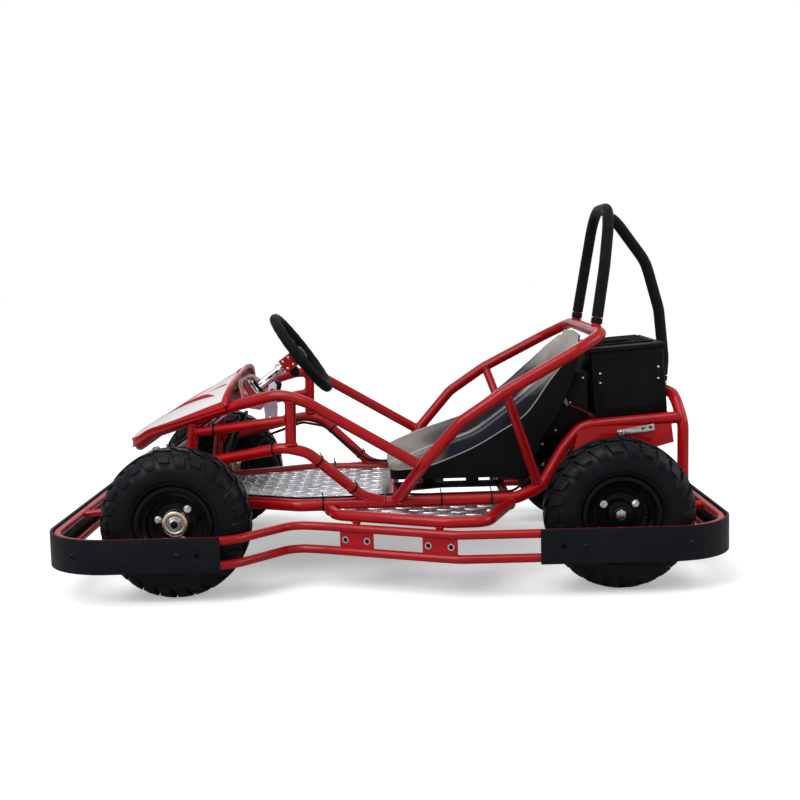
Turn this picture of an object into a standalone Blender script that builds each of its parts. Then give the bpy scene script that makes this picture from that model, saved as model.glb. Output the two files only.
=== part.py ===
# Electric go-kart for one rider: tube frame, four knobby tyres, seat bucket and rear battery box.
# Metres, +X towards the nose, +Y to the rider's left, +Z up, origin on the ground under the middle.
# Run with: blender --background --python part.py

import math

import bmesh
import bpy
from mathutils import Matrix, Vector

# Overall layout
OVERALL_WIDTH = 0.9506
OVERALL_HEIGHT = 0.8475
WHEELBASE = 0.970
FRONT_AXLE_X = 0.4665
REAR_AXLE_X = FRONT_AXLE_X - WHEELBASE
CLEARANCE = 0.0003
BEND_STEP = 26.0
FLAT_ANGLE = math.radians(0.1)

# Tyres and rims
TYRE_RADIUS = 0.165
TYRE_WIDTH = 0.127
TREAD_DEPTH = 0.006
LUG_PITCHES = 14
RIM_RADIUS = 0.0762
RIM_WIDTH = 0.104
RIM_WALL = 0.0035
RIM_LIP = 0.010
RIM_SIDES = 18
RIM_DISC = 0.012
BEAD_SEAT = 0.0025
BEAD_FLANK = 0.004
HUB_FLANGE = 0.0505
HUB_HALF = 0.030
BEARING_SEAT = 0.006
BEARING_RADIUS = 0.0175
STUD_RADIUS = 0.004
BOLT_START = 49.0
DISC_HOLES = 6
HUB_RADIUS = 0.029
WHEEL_BOLT_CIRCLE = 0.080
WHEEL_BOLTS = 3

# Frame tubes
MAIN_TUBE = 0.014
RAIL_TUBE = 0.0125
HOOP_TUBE = 0.0135
BRACE_TUBE = 0.011
STEP_TUBE = 0.0125
ARCH_TUBE = 0.013
ROLL_TUBE = 0.0100
CROSS_TUBE = 0.011
SEAT_TUBE_X = REAR_AXLE_X + 0.4935
REAR_TUBE_X = REAR_AXLE_X + 0.2335
STUB_TUBE = 0.008
FRONT_STUB_Y = 0.120
RAIL_HEIGHT = 0.175
SEAT_BAR_Y = 0.066
SEAT_BAR_WIDTH = 0.030
SEAT_BAR_HEIGHT = 0.012
SEAT_UNDERSIDE = 0.2144
SEAT_FOOT_X = (REAR_AXLE_X + 0.4085, REAR_AXLE_X + 0.3035)
SEAT_FOOT_LENGTH = 0.030
RAIL_Y = 0.245
RACK_Y = 0.190
RACK_HEIGHT = 0.338
BEAM_TUBE = 0.016

# Battery box on its rack, and the tail arch behind it
BOX_FRONT_X = REAR_AXLE_X + 0.017
BOX_LENGTH = 0.172
BOX_WIDTH = 0.300
BOX_HEIGHT = 0.156
BOX_WALL = 0.004
BOX_EDGE = 0.006
BOX_SLOPE = math.radians(3.7)
BOX_FOOT_Z = 0.346
BOX_ARCH_GAP = 0.0015
TRAY_THICKNESS = 0.003
LID_HEIGHT = 0.012
LID_RIBS = 5
LID_RIB_PITCH = 0.052
ARCH_TOP_X = BOX_FRONT_X - BOX_LENGTH - BOX_ARCH_GAP - ARCH_TUBE
ARCH_TOP_Y = 0.150
ARCH_TOP_Z = 0.397
ARCH_X = ARCH_TOP_X - 0.012
ARCH_FOOT_Z = 0.118

# Bumper ring and its rubber bands
RING_TUBE = 0.0095
RING_GAP = 0.024
BAND_THICKNESS = 0.006
RING_HALF_WIDTH = OVERALL_WIDTH / 2.0 - BAND_THICKNESS - CLEARANCE - RING_TUBE
REAR_WHEEL_Y = RING_HALF_WIDTH - RING_GAP - TYRE_WIDTH / 2.0
FRONT_WHEEL_Y = REAR_WHEEL_Y - 0.010
RING_FRONT_X = FRONT_AXLE_X + 0.2705
RING_REAR_X = ARCH_X - 0.052
RING_END_BEND = 0.135
RING_SIDE_BEND = 0.085
RING_UPPER_Z = 0.140
RING_LOWER_Z = 0.0875
BAND_LOW_Z = 0.076
BAND_HIGH_Z = 0.1515
BAND_FRONT_END_X = 0.3585
BAND_REAR_END_X = REAR_AXLE_X + 0.182
BAND_HOLES_FRONT = (0.408, 0.676)
BAND_HOLES_REAR = (REAR_AXLE_X + 0.1335, REAR_AXLE_X - 0.1375)
BAND_HOLE_RADIUS = 0.005
BRACKET_LENGTH = 0.075
BRACKET_THICKNESS = 0.005
BRACKET_HOLE = 0.0042
BRACKET_X = (REAR_AXLE_X + 0.5755, REAR_AXLE_X + 0.3945)

# Floor and steps
PLATE_THICKNESS = 0.003
STEP_HEIGHT = 0.165
STEP_SETBACK = 0.002

# Steering
STEER_WHEEL_RADIUS = 0.105
STEER_GRIP = 0.0125
STEER_CENTRE = Vector((0.2095, 0.0, 0.505))
STEER_TILT = math.radians(36.0)
COLUMN_RADIUS = 0.010
COLUMN_LENGTH = 0.440
KINGPIN_Y = FRONT_WHEEL_Y - 0.100
KINGPIN_RADIUS = 0.006
YOKE_REACH = 0.020
YOKE_WALL = 0.006
YOKE_HALF_HEIGHT = 0.040
SLEEVE_RADIUS = 0.013
GRIP_STEPS = 28
WHEEL_BOSS_END = 0.022
DASH_ALONG = 0.150
LOWER_BEARING_ALONG = COLUMN_LENGTH - 0.035
PITMAN_HOLE_Y = 0.0125
TIE_GAP = 0.0085
KNUCKLE_ARM = 0.077
PITMAN_LENGTH = 0.0292
TIE_ROD_RADIUS = 0.005
TIE_END_Z = 0.213
STUB_RADIUS = 0.008

# Rear axle and drive
AXLE_RADIUS = 0.0125
SPROCKET_Y = -0.095
SPROCKET_TEETH = 40
MOTOR_TEETH = 10
CHAIN_PITCH = 0.0127
DISC_Y = 0.110
DISC_RADIUS = 0.070
AXLE_PLATE_Y = 0.2045
AXLE_PLATE_THICKNESS = 0.003
AXLE_PLATE_OUTLINE = [
    (ARCH_X + 0.025, 0.290), (ARCH_X + 0.063, 0.282), (REAR_AXLE_X - 0.0565, 0.205),
    (REAR_AXLE_X - 0.0415, 0.130), (REAR_AXLE_X + 0.0415, 0.130), (REAR_AXLE_X + 0.0555, 0.205),
    (REAR_AXLE_X + 0.0785, 0.270),
    (REAR_AXLE_X + 0.0635, 0.322), (REAR_AXLE_X + 0.0285, 0.348), (ARCH_X + 0.018, 0.3605),
]
BEARING_HALF = 0.009
BEARING_HOUSING = 0.030
SPROCKET_THICKNESS = 0.003
SPROCKET_HOLES = 5
TOOTH_ROOT = 0.0040
TOOTH_TIP = 0.0042
MOTOR_X = REAR_AXLE_X + 0.1035
MOTOR_Z = 0.245
MOTOR_RADIUS = 0.050
MOTOR_FRONT_Y = -0.085
MOTOR_BACK_Y = 0.035
MOTOR_SHAFT = 0.006
MOUNT_THICKNESS = 0.004
MOUNT_OUTLINE = [
    (REAR_TUBE_X + 0.017, 0.160), (REAR_TUBE_X + 0.017, 0.189), (REAR_TUBE_X - 0.015, 0.203),
    (MOTOR_X + 0.060, 0.240), (MOTOR_X + 0.048, 0.268), (MOTOR_X, 0.299), (MOTOR_X - 0.046, 0.276),
    (MOTOR_X - 0.052, 0.235), (MOTOR_X - 0.025, 0.196), (REAR_TUBE_X - 0.030, 0.160),
]
CHAIN_HALF = 0.0042
CHAIN_STRIP_Y = 0.0036
CHAIN_STRIP = 0.0016
CHAIN_PIN = 0.0018
CHAIN_PIN_AT = (0.052, 0.080)
CHAIN_STEPS = 12

# Pedals
PEDAL_Y = 0.100
PEDAL_PIVOT_X = 0.425
PEDAL_PIVOT_Z = 0.203
PEDAL_PIN = 0.005
PEDAL_PAD_X = 0.378
PEDAL_PAD_Z = 0.318
LUG_Y = 0.026
LUG_THICKNESS = 0.005
LUG_HEIGHT = 0.022

# Dash plate, left half of its outline as (across, up)
DASH_THICKNESS = 0.003
DASH_REACH = FRONT_WHEEL_Y - 0.098
DASH_OUTLINE = [
    (0.100, -0.048), (DASH_REACH, -0.018), (DASH_REACH, -0.003), (DASH_REACH - 0.064, 0.010), (0.150, 0.030),
    (0.100, 0.042), (0.050, 0.048),
]

# Roll bar
ROLL_HALF_WIDTH = 0.166
FOAM_WALL = 0.0035
ROLL_TOP_Z = OVERALL_HEIGHT - ROLL_TUBE - FOAM_WALL
FOAM_START = 0.0175
ROLL_FOOT_X = REAR_AXLE_X + 0.0165
ROLL_TOP_X = REAR_AXLE_X - 0.0275

# Controller box behind the seat back
CONTROLLER_HALF_WIDTH = 0.148
CONTROLLER_BOTTOM = 0.303
CONTROLLER_TOP = 0.455
CONTROLLER_REAR_X = BOX_FRONT_X + 0.0155
CONTROLLER_FRONT_LOW_X = REAR_AXLE_X + 0.1345
SEAT_BACK_SLOPE = 0.4737
CONTROLLER_FRONT_HIGH_X = CONTROLLER_FRONT_LOW_X - (CONTROLLER_TOP - CONTROLLER_BOTTOM) * SEAT_BACK_SLOPE
CONTROLLER_BEVEL = 0.004
CONTROLLER_EAR_X = REAR_AXLE_X + 0.0755
CONTROLLER_EAR_Z = 0.306
CONTROLLER_EAR_LENGTH = 0.024
CONTROLLER_EAR_THICKNESS = 0.004

# Seat bucket: centre, rim, flange edge and skirt foot of every station, as (ahead of the rear axle, up)
SEAT_HALF = 0.152
SEAT_FLANGE_Y = 0.190
SEAT_SKIRT_Y = 0.186
SEAT_WALL = 0.004
SEAT_STATIONS = [
    ((0.5085, 0.243), (0.5035, 0.252), (0.4995, 0.240), (0.4975, 0.2165)),
    ((0.4735, 0.227), (0.4635, 0.268), (0.4615, 0.241), (0.4615, 0.2165)),
    ((0.4235, 0.2142), (0.4115, 0.287), (0.4095, 0.248), (0.4095, 0.2165)),
    ((0.3535, 0.2142), (0.3565, 0.304), (0.3535, 0.268), (0.3535, 0.2165)),
    ((0.2885, 0.2142), (0.3035, 0.324), (0.2985, 0.292), (0.2985, 0.2165)),
    ((0.2235, 0.225), (0.2485, 0.362), (0.2415, 0.325), (0.2415, 0.2165)),
    ((0.1685, 0.264), (0.1925, 0.405), (0.1815, 0.365), (0.1835, 0.2165)),
    ((0.1255, 0.335), (0.1375, 0.454), (0.1255, 0.441), (0.1475, 0.300)),
    ((0.0835, 0.425), (0.0895, 0.506), (0.0855, 0.498), (0.0985, 0.380)),
    ((0.0455, 0.520), (0.0555, 0.540), (0.0515, 0.534), (0.0515, 0.500)),
]

# Nose cowl
COWL_REAR_X = 0.357
COWL_RIDGE = [
    (0.345, 0.0, 0.473), (0.390, 0.0, 0.450), (0.440, 0.0, 0.421), (0.490, 0.0, 0.393), (0.532, 0.0, 0.368),
    (0.570, 0.0, 0.348), (0.594, 0.0, 0.333), (0.603, 0.0, 0.327),
]
COWL_ROWS = 10
COWL_STEPS = 6
COWL_POWER = 1.7
COWL_GAP = 0.0033
COWL_WALL = 0.003

# Switch on the left strut
SWITCH_BOLT_X = 0.258
SWITCH_INSET = 0.0219
SWITCH_OUTLINE = [
    (0.249, 0.463), (0.245, 0.405), (0.248, 0.366), (0.268, 0.362), (0.273, 0.405), (0.268, 0.440),
    (0.258, 0.466),
]

# Brake cable: (x, inwards from the main rail's middle, z) where it lies along the rail, and its free ends
CABLE_RADIUS = 0.003
CABLE_BEND = 0.030
CABLE_FRONT_END = (0.400, 0.137, 0.212)
CABLE_ON_RAIL = [
    (0.377, 0.0086, 0.1893), (0.3268, 0.0089, 0.1893), (0.2028, 0.0094, 0.1893),
    (REAR_AXLE_X + 0.5985, 0.0085, 0.1893), (REAR_AXLE_X + 0.5635, 0.0156, 0.1900),
    (REAR_AXLE_X + 0.5235, 0.0159, 0.1900), (REAR_AXLE_X + 0.4935, 0.0183, 0.1900),
    (REAR_AXLE_X + 0.4585, 0.0149, 0.1900), (REAR_AXLE_X + 0.4235, 0.0080, 0.1893),
    (REAR_AXLE_X + 0.2385, 0.0080, 0.1893), (REAR_AXLE_X + 0.2185, 0.0080, 0.1905),
]
CABLE_REAR_END = [
    (REAR_AXLE_X + 0.1885, 0.205, 0.205), (REAR_AXLE_X + 0.1435, 0.160, 0.245),
    (REAR_AXLE_X + 0.0735, 0.135, 0.275), (REAR_AXLE_X + 0.0255, 0.122, 0.272),
    (REAR_AXLE_X + 0.0105, 0.119, 0.250),
]

# Colours
RED = (0.72, 0.012, 0.018, 1.0)
BLACK = (0.012, 0.012, 0.013, 1.0)
STEEL = (0.62, 0.62, 0.64, 1.0)
ALLOY = (0.66, 0.67, 0.69, 1.0)
ZINC = (0.62, 0.53, 0.33, 1.0)
PACK_GREY = (0.05, 0.07, 0.12, 1.0)
COWL_WHITE = (0.86, 0.80, 0.80, 1.0)

PARTS = "electric_go_kart"
CUTTERS = "cutters"


def clear_scene():
    for item in list(bpy.data.objects):
        bpy.data.objects.remove(item, do_unlink=True)
    for name in (PARTS, CUTTERS):
        collection = bpy.data.collections.new(name)
        bpy.context.scene.collection.children.link(collection)


def material(name, colour, roughness, metallic):
    found = bpy.data.materials.get(name)
    if found:
        return found
    made = bpy.data.materials.new(name)
    made.use_nodes = True
    shader = made.node_tree.nodes["Principled BSDF"]
    shader.inputs["Base Color"].default_value = colour
    shader.inputs["Roughness"].default_value = roughness
    shader.inputs["Metallic"].default_value = metallic
    return made


def red_paint(name):
    return material(name + "_red_paint", RED, 0.25, 0.1)


def black_plastic(name):
    return material(name + "_black_plastic", BLACK, 0.45, 0.0)


def black_rubber(name):
    return material(name + "_black_rubber", BLACK, 0.8, 0.0)


def bare_steel(name):
    return material(name + "_steel", STEEL, 0.3, 1.0)


def mesh_object(name, mesh, finish=None):
    made = bpy.data.objects.new(name, mesh)
    bpy.data.collections[PARTS].objects.link(made)
    if finish:
        mesh.materials.clear()
        mesh.materials.append(finish)
    return made


def bmesh_object(name, shape, finish=None):
    bmesh.ops.recalc_face_normals(shape, faces=shape.faces)
    mesh = bpy.data.meshes.new(name)
    shape.to_mesh(mesh)
    shape.free()
    return mesh_object(name, mesh, finish)


def evaluated_mesh(item):
    bpy.context.view_layer.update()
    graph = bpy.context.evaluated_depsgraph_get()
    return bpy.data.meshes.new_from_object(item.evaluated_get(graph))


def apply_modifiers(item):
    mesh = evaluated_mesh(item)
    old = item.data
    item.modifiers.clear()
    item.data = mesh
    bpy.data.meshes.remove(old)
    return item


def boolean(item, other, operation):
    # The second shape is joined to the first or cut from it, and then put away
    step = item.modifiers.new(operation.title(), "BOOLEAN")
    step.operation = operation
    step.object = other
    apply_modifiers(item)
    bpy.data.objects.remove(other, do_unlink=True)
    return item


def cut(item, *cutters):
    for cutter in cutters:
        boolean(item, cutter, "DIFFERENCE")
    return item


def join(item, *others):
    for other in others:
        boolean(item, other, "UNION")
    return item


def shade(item, angle=40.0):
    item.data.shade_smooth()
    item.data.set_sharp_from_angle(angle=math.radians(angle))
    return item


def place(item, x, y, z, turn=None):
    # Move a mesh into place, turned first when a turn is given
    matrix = Matrix.Translation((x, y, z))
    if turn:
        matrix = matrix @ turn.to_4x4()
    item.data.transform(matrix)
    return item


def mirrored(item, name):
    # The right-hand twin of a left-hand piece
    mesh = item.data.copy()
    mesh.name = name
    mesh.transform(Matrix.Scale(-1.0, 4, (0.0, 1.0, 0.0)))
    mesh.flip_normals()
    return mesh_object(name, mesh)


def side_pair(piece, maker):
    # Build the left piece and its mirrored right twin
    left = maker("left_" + piece)
    return left, mirrored(left, "right_" + piece)


def box(name, size, centre, finish=None, bevel=0.0):
    shape = bmesh.new()
    bmesh.ops.create_cube(shape, size=1.0)
    bmesh.ops.scale(shape, vec=size, verts=shape.verts)
    bmesh.ops.translate(shape, vec=centre, verts=shape.verts)
    made = bmesh_object(name, shape, finish)
    if bevel:
        edge = made.modifiers.new("Bevel", "BEVEL")
        edge.width = bevel
        edge.segments = 2
        apply_modifiers(made)
    return made


def rod(name, start, end, radius, finish=None, sides=16, end_radius=None):
    # A round bar between two points
    start, end = Vector(start), Vector(end)
    shape = bmesh.new()
    bmesh.ops.create_cone(shape, cap_ends=True, segments=sides, radius1=radius,
                          radius2=radius if end_radius is None else end_radius,
                          depth=(end - start).length)
    turn = Vector((0.0, 0.0, 1.0)).rotation_difference(end - start)
    made = bmesh_object(name, shape, finish)
    middle = (start + end) / 2.0
    return place(made, *middle, turn.to_matrix())


def rounded_path(points, radius, closed=False):
    # A polyline whose corners are turned into arcs, as a tube bender leaves them
    points = [Vector(point) for point in points]
    count = len(points)
    radii = radius if isinstance(radius, list) else [radius] * count
    path = []
    for index, corner in enumerate(points):
        if not closed and index in (0, count - 1):
            path.append(corner)
            continue
        before = points[index - 1] - corner
        after = points[(index + 1) % count] - corner
        angle = before.angle(after)
        steps = max(1, math.ceil((math.pi - angle) / math.radians(BEND_STEP)))
        reach = min(radii[index] / math.tan(angle / 2.0), 0.49 * before.length, 0.49 * after.length)
        bend = reach * math.tan(angle / 2.0)
        across = (before.normalized() + after.normalized()).normalized()
        centre = corner + across * bend / math.sin(angle / 2.0)
        first = corner + before.normalized() * reach - centre
        last = corner + after.normalized() * reach - centre
        for step in range(steps + 1):
            share = step / steps
            spoke = first.slerp(last, share) if first.angle(last) > 0.01 else first.lerp(last, share)
            path.append(centre + spoke.normalized() * bend)
    return path


def tube(name, path, radius, finish=None, resolution=2, closed=False):
    # A round tube along a path, welded into one closed mesh
    curve = bpy.data.curves.new(name, "CURVE")
    curve.dimensions = "3D"
    curve.bevel_depth = radius
    curve.bevel_resolution = resolution
    curve.use_fill_caps = not closed
    spline = curve.splines.new("POLY")
    spline.points.add(len(path) - 1)
    for point, place_at in zip(spline.points, path):
        point.co = (*place_at, 1.0)
    spline.use_cyclic_u = closed
    guide = bpy.data.objects.new(name + "_guide", curve)
    bpy.data.collections[CUTTERS].objects.link(guide)
    shape = bmesh.new()
    shape.from_mesh(evaluated_mesh(guide))
    bmesh.ops.remove_doubles(shape, verts=shape.verts, dist=0.00001)
    bpy.data.objects.remove(guide, do_unlink=True)
    return shade(bmesh_object(name, shape, finish))


def welded(item):
    # Merge the seams that a modifier or a curve leaves, and turn every face outwards
    shape = bmesh.new()
    shape.from_mesh(item.data)
    bmesh.ops.remove_doubles(shape, verts=shape.verts, dist=0.00001)
    bmesh.ops.recalc_face_normals(shape, faces=shape.faces)
    shape.to_mesh(item.data)
    shape.free()
    return item


def revolve(name, profile, axis_point, axis, finish=None, steps=48):
    # Turn a closed (radius, along) outline about an axis through a point
    count = len(profile)
    mesh = bpy.data.meshes.new(name)
    mesh.from_pydata([(radius, 0.0, along) for radius, along in profile],
                     [(index, (index + 1) % count) for index in range(count)], [])
    made = mesh_object(name, mesh, finish)
    turned = made.modifiers.new("Turn", "SCREW")
    turned.axis = "Z"
    turned.angle = 2.0 * math.pi
    turned.steps = steps
    turned.render_steps = steps
    welded(apply_modifiers(made))
    turn = Vector((0.0, 0.0, 1.0)).rotation_difference(Vector(axis))
    return shade(place(made, *axis_point, turn.to_matrix()))


def plate(name, outline, thickness, finish=None):
    # A flat plate from its outline in XY, standing on z = 0
    curve = bpy.data.curves.new(name, "CURVE")
    curve.dimensions = "2D"
    curve.fill_mode = "BOTH"
    curve.extrude = thickness / 2.0
    spline = curve.splines.new("POLY")
    spline.points.add(len(outline) - 1)
    for point, (x, y) in zip(spline.points, outline):
        point.co = (x, y, 0.0, 1.0)
    spline.use_cyclic_u = True
    guide = bpy.data.objects.new(name + "_guide", curve)
    bpy.data.collections[CUTTERS].objects.link(guide)
    made = mesh_object(name, evaluated_mesh(guide), finish)
    bpy.data.objects.remove(guide, do_unlink=True)
    shape = bmesh.new()
    shape.from_mesh(made.data)
    bmesh.ops.remove_doubles(shape, verts=shape.verts, dist=0.00001)
    bmesh.ops.dissolve_limit(shape, angle_limit=FLAT_ANGLE, verts=shape.verts, edges=shape.edges)
    bmesh.ops.recalc_face_normals(shape, faces=shape.faces)
    shape.to_mesh(made.data)
    shape.free()
    return place(made, 0.0, 0.0, thickness / 2.0)


UPRIGHT = Matrix.Rotation(math.radians(90.0), 3, "X")


def side_plate(name, outline, thickness, y, finish=None):
    # A flat plate from its outline in XZ, its outer face at the given y
    made = plate(name, outline, thickness, finish)
    return place(made, 0.0, y, 0.0, UPRIGHT)


def clear_bore(radius, sides=16):
    # The corner radius of a faceted hole that clears a round piece of the given radius
    return (radius + CLEARANCE) / math.cos(math.pi / sides)


def point_at(points, x):
    # The point of a polyline at a given x
    for start, end in zip(points, points[1:]):
        low, high = sorted((start[0], end[0]))
        if low <= x <= high and high > low:
            share = (x - start[0]) / (end[0] - start[0])
            return tuple(a + share * (b - a) for a, b in zip(start, end))
    raise ValueError("x lies outside the path")


def flip(points):
    # The same points on the right-hand side, in reverse order
    return [(x, -y, z) for x, y, z in reversed(points)]


# Corner points of the left-hand frame tubes
MAIN_RAIL = [
    (FRONT_AXLE_X, 0.150, RAIL_HEIGHT),
    (0.330, 0.205, RAIL_HEIGHT),
    (0.205, RAIL_Y + 0.017, RAIL_HEIGHT),
    (REAR_AXLE_X + 0.2135, RAIL_Y - 0.010, RAIL_HEIGHT),
    (REAR_AXLE_X + 0.1515, 0.212, RAIL_HEIGHT + 0.022),
    (REAR_AXLE_X + 0.0975, RACK_Y, 0.280),
    (REAR_AXLE_X + 0.0535, RACK_Y, RACK_HEIGHT - 0.006),
    (ARCH_X, RACK_Y, RACK_HEIGHT + 0.010),
]
SEAT_HOOP = [
    point_at(MAIN_RAIL, REAR_AXLE_X + 0.488),
    (REAR_AXLE_X + 0.4235, 0.317, 0.272),
    (REAR_AXLE_X + 0.3385, 0.335, 0.368),
    (REAR_AXLE_X + 0.245, 0.342, 0.430),
    (REAR_AXLE_X + 0.084, 0.315, 0.514),
    (ROLL_FOOT_X, 0.270, 0.550),
]
TOP_RAIL = [
    point_at(SEAT_HOOP, REAR_AXLE_X + 0.4275),
    (0.175, FRONT_WHEEL_Y - 0.056, 0.4145),
    (0.235, FRONT_WHEEL_Y - 0.062, 0.4355),
    (0.330, FRONT_WHEEL_Y - 0.092, 0.4110),
    (0.5385, FRONT_WHEEL_Y - 0.162, 0.343),
    (0.5865, FRONT_WHEEL_Y - 0.197, 0.306),
]
UPRIGHT_LINE = [(FRONT_AXLE_X, KINGPIN_Y - 0.044, RAIL_HEIGHT), point_at(TOP_RAIL, 0.4405)]
MID_RAIL = [
    point_at(MAIN_RAIL, REAR_AXLE_X + 0.504),
    (REAR_AXLE_X + 0.5635, 0.256, 0.192),
    (0.180, FRONT_WHEEL_Y - 0.070, 0.301),
    (0.230, FRONT_WHEEL_Y - 0.067, 0.314),
    (0.396, FRONT_WHEEL_Y - 0.122, 0.279),
    point_at(UPRIGHT_LINE, 0.4540),
]
POST_LINE = [point_at(TOP_RAIL, 0.2135), point_at(MID_RAIL, 0.2165)]
STRUT_LINE = [point_at(POST_LINE, 0.2148), point_at(UPRIGHT_LINE, 0.4445)]
SWITCH_Y = point_at(STRUT_LINE, SWITCH_BOLT_X)[1] - SWITCH_INSET
BRACE_LINE = [point_at(SEAT_HOOP, REAR_AXLE_X + 0.241), point_at(MAIN_RAIL, REAR_AXLE_X + 0.1575)]
STEP_FRONT_X = REAR_AXLE_X + 0.6385
STEP_REAR_X = REAR_AXLE_X + 0.2255
STEP_RAIL = [
    (STEP_FRONT_X, point_at(MAIN_RAIL, STEP_FRONT_X)[1], STEP_HEIGHT),
    (STEP_FRONT_X - 0.017, 0.330, STEP_HEIGHT),
    (STEP_REAR_X + 0.150, RING_HALF_WIDTH - 0.0175, STEP_HEIGHT),
    (STEP_REAR_X + 0.066, RING_HALF_WIDTH - 0.0195, STEP_HEIGHT),
    (STEP_REAR_X, point_at(MAIN_RAIL, STEP_REAR_X)[1], STEP_HEIGHT),
]
REAR_ARCH = [
    (ARCH_X + 0.001, RACK_Y, ARCH_FOOT_Z),
    (ARCH_X, RACK_Y, ARCH_TOP_Z - 0.062),
    (ARCH_TOP_X, ARCH_TOP_Y, ARCH_TOP_Z),
]
ROLL_BAR = [
    (ROLL_FOOT_X, ROLL_HALF_WIDTH, 0.550),
    (ROLL_TOP_X + 0.019, ROLL_HALF_WIDTH - 0.014, ROLL_TOP_Z - 0.134),
    (ROLL_TOP_X, ROLL_HALF_WIDTH - 0.048, ROLL_TOP_Z),
]
STAY = [
    (ROLL_TOP_X, 0.0, ROLL_TOP_Z - 0.002),
    (ROLL_TOP_X - 0.036, 0.0, ROLL_TOP_Z - 0.032),
    (ARCH_TOP_X + 0.037, 0.0, ROLL_TOP_Z - 0.128),
    (ARCH_TOP_X + 0.005, 0.0, 0.590),
    (ARCH_TOP_X - 0.006, 0.0, 0.470),
    (ARCH_TOP_X, 0.0, ARCH_TOP_Z),
]
RING_SIDE = [
    (0.3400, RING_HALF_WIDTH),
    (0.2135, 0.308),
    (0.1435, 0.333),
    (REAR_AXLE_X + 0.355, RING_HALF_WIDTH),
]
RING_SIDE_3D = [(x, y, RING_UPPER_Z) for x, y in RING_SIDE]


def ring_outline():
    # The bumper ring's corners, anticlockwise from the front left
    side = [(RING_FRONT_X, RING_HALF_WIDTH)] + RING_SIDE + [(RING_REAR_X, RING_HALF_WIDTH)]
    return side + [(x, -y) for x, y in reversed(side)]


def ring_bends(out=0.0):
    # The bend radius at each of the ring's corners, for a line moved outwards
    half = [RING_END_BEND + out, RING_SIDE_BEND + out, RING_SIDE_BEND - out, RING_SIDE_BEND - out,
            RING_SIDE_BEND + out, RING_END_BEND + out]
    return half + half[::-1]


def across(x):
    # A straight cross tube from one main rail to the other
    end = point_at(MAIN_RAIL, x)
    return [end, (end[0], -end[1], end[2])]


def paths():
    # The bent centre lines, by piece, all for the left side or the whole width
    ring_points = ring_outline()
    beam_end = KINGPIN_Y - 0.027
    return {
        "main_rail": rounded_path(MAIN_RAIL, 0.060),
        "seat_hoop": rounded_path(SEAT_HOOP + flip(SEAT_HOOP), 0.070),
        "top_rail": rounded_path(TOP_RAIL + flip(TOP_RAIL), 0.090),
        "upright": UPRIGHT_LINE,
        "mid_rail": rounded_path(MID_RAIL, 0.060),
        "post": POST_LINE,
        "strut": STRUT_LINE,
        "brace": BRACE_LINE,
        "step_rail": rounded_path(STEP_RAIL, 0.040),
        "rear_arch": rounded_path(REAR_ARCH + flip(REAR_ARCH), 0.060),
        "roll_bar": rounded_path(ROLL_BAR + flip(ROLL_BAR), 0.110),
        "stay": rounded_path(STAY, 0.120),
        "ring_upper": rounded_path([(x, y, RING_UPPER_Z) for x, y in ring_points], ring_bends(), True),
        "ring_lower": rounded_path([(x, y, RING_LOWER_Z) for x, y in ring_points], ring_bends(), True),
        "seat_tube": across(SEAT_TUBE_X),
        "rear_tube": across(REAR_TUBE_X),
        "beam": [(FRONT_AXLE_X, beam_end, RAIL_HEIGHT), (FRONT_AXLE_X, -beam_end, RAIL_HEIGHT)],
    }


PATHS = paths()
RADII = {
    "main_rail": MAIN_TUBE,
    "seat_hoop": HOOP_TUBE,
    "top_rail": RAIL_TUBE,
    "upright": RAIL_TUBE,
    "mid_rail": RAIL_TUBE,
    "post": RAIL_TUBE,
    "strut": BRACE_TUBE,
    "brace": BRACE_TUBE,
    "step_rail": STEP_TUBE,
    "rear_arch": ARCH_TUBE,
    "roll_bar": ROLL_TUBE,
    "stay": ROLL_TUBE,
    "ring_upper": RING_TUBE,
    "ring_lower": RING_TUBE,
    "seat_tube": CROSS_TUBE,
    "rear_tube": CROSS_TUBE,
    "beam": BEAM_TUBE,
}


def frame_tube(name, key, finish=None, growth=0.0, right=False):
    path = [Vector(point) for point in PATHS[key]]
    if right:
        path = [Vector((p.x, -p.y, p.z)) for p in path]
    closed = key.startswith("ring")
    return tube(name, path, RADII[key] + growth, finish, 2, closed)


def drop_offcuts(item):
    # Keep the largest body that a cut leaves
    shape = bmesh.new()
    shape.from_mesh(item.data)
    bodies = []
    left_over = set(shape.faces)
    while left_over:
        body = {left_over.pop()}
        front = list(body)
        while front:
            for edge in front.pop().edges:
                for face in edge.link_faces:
                    if face in left_over:
                        left_over.remove(face)
                        body.add(face)
                        front.append(face)
        bodies.append(body)
    bodies.sort(key=lambda body: sum(face.calc_area() for face in body))
    for body in bodies[:-1]:
        bmesh.ops.delete(shape, geom=list(body), context="FACES")
    shape.to_mesh(item.data)
    shape.free()
    return item


def cope(item, *keys, right=()):
    # Shape a tube's end to the tubes that it is welded to
    for key in keys:
        cut(item, frame_tube("cope_" + key, key, growth=CLEARANCE))
    for key in right:
        cut(item, frame_tube("cope_right_" + key, key, growth=CLEARANCE, right=True))
    return shade(drop_offcuts(item))


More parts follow.
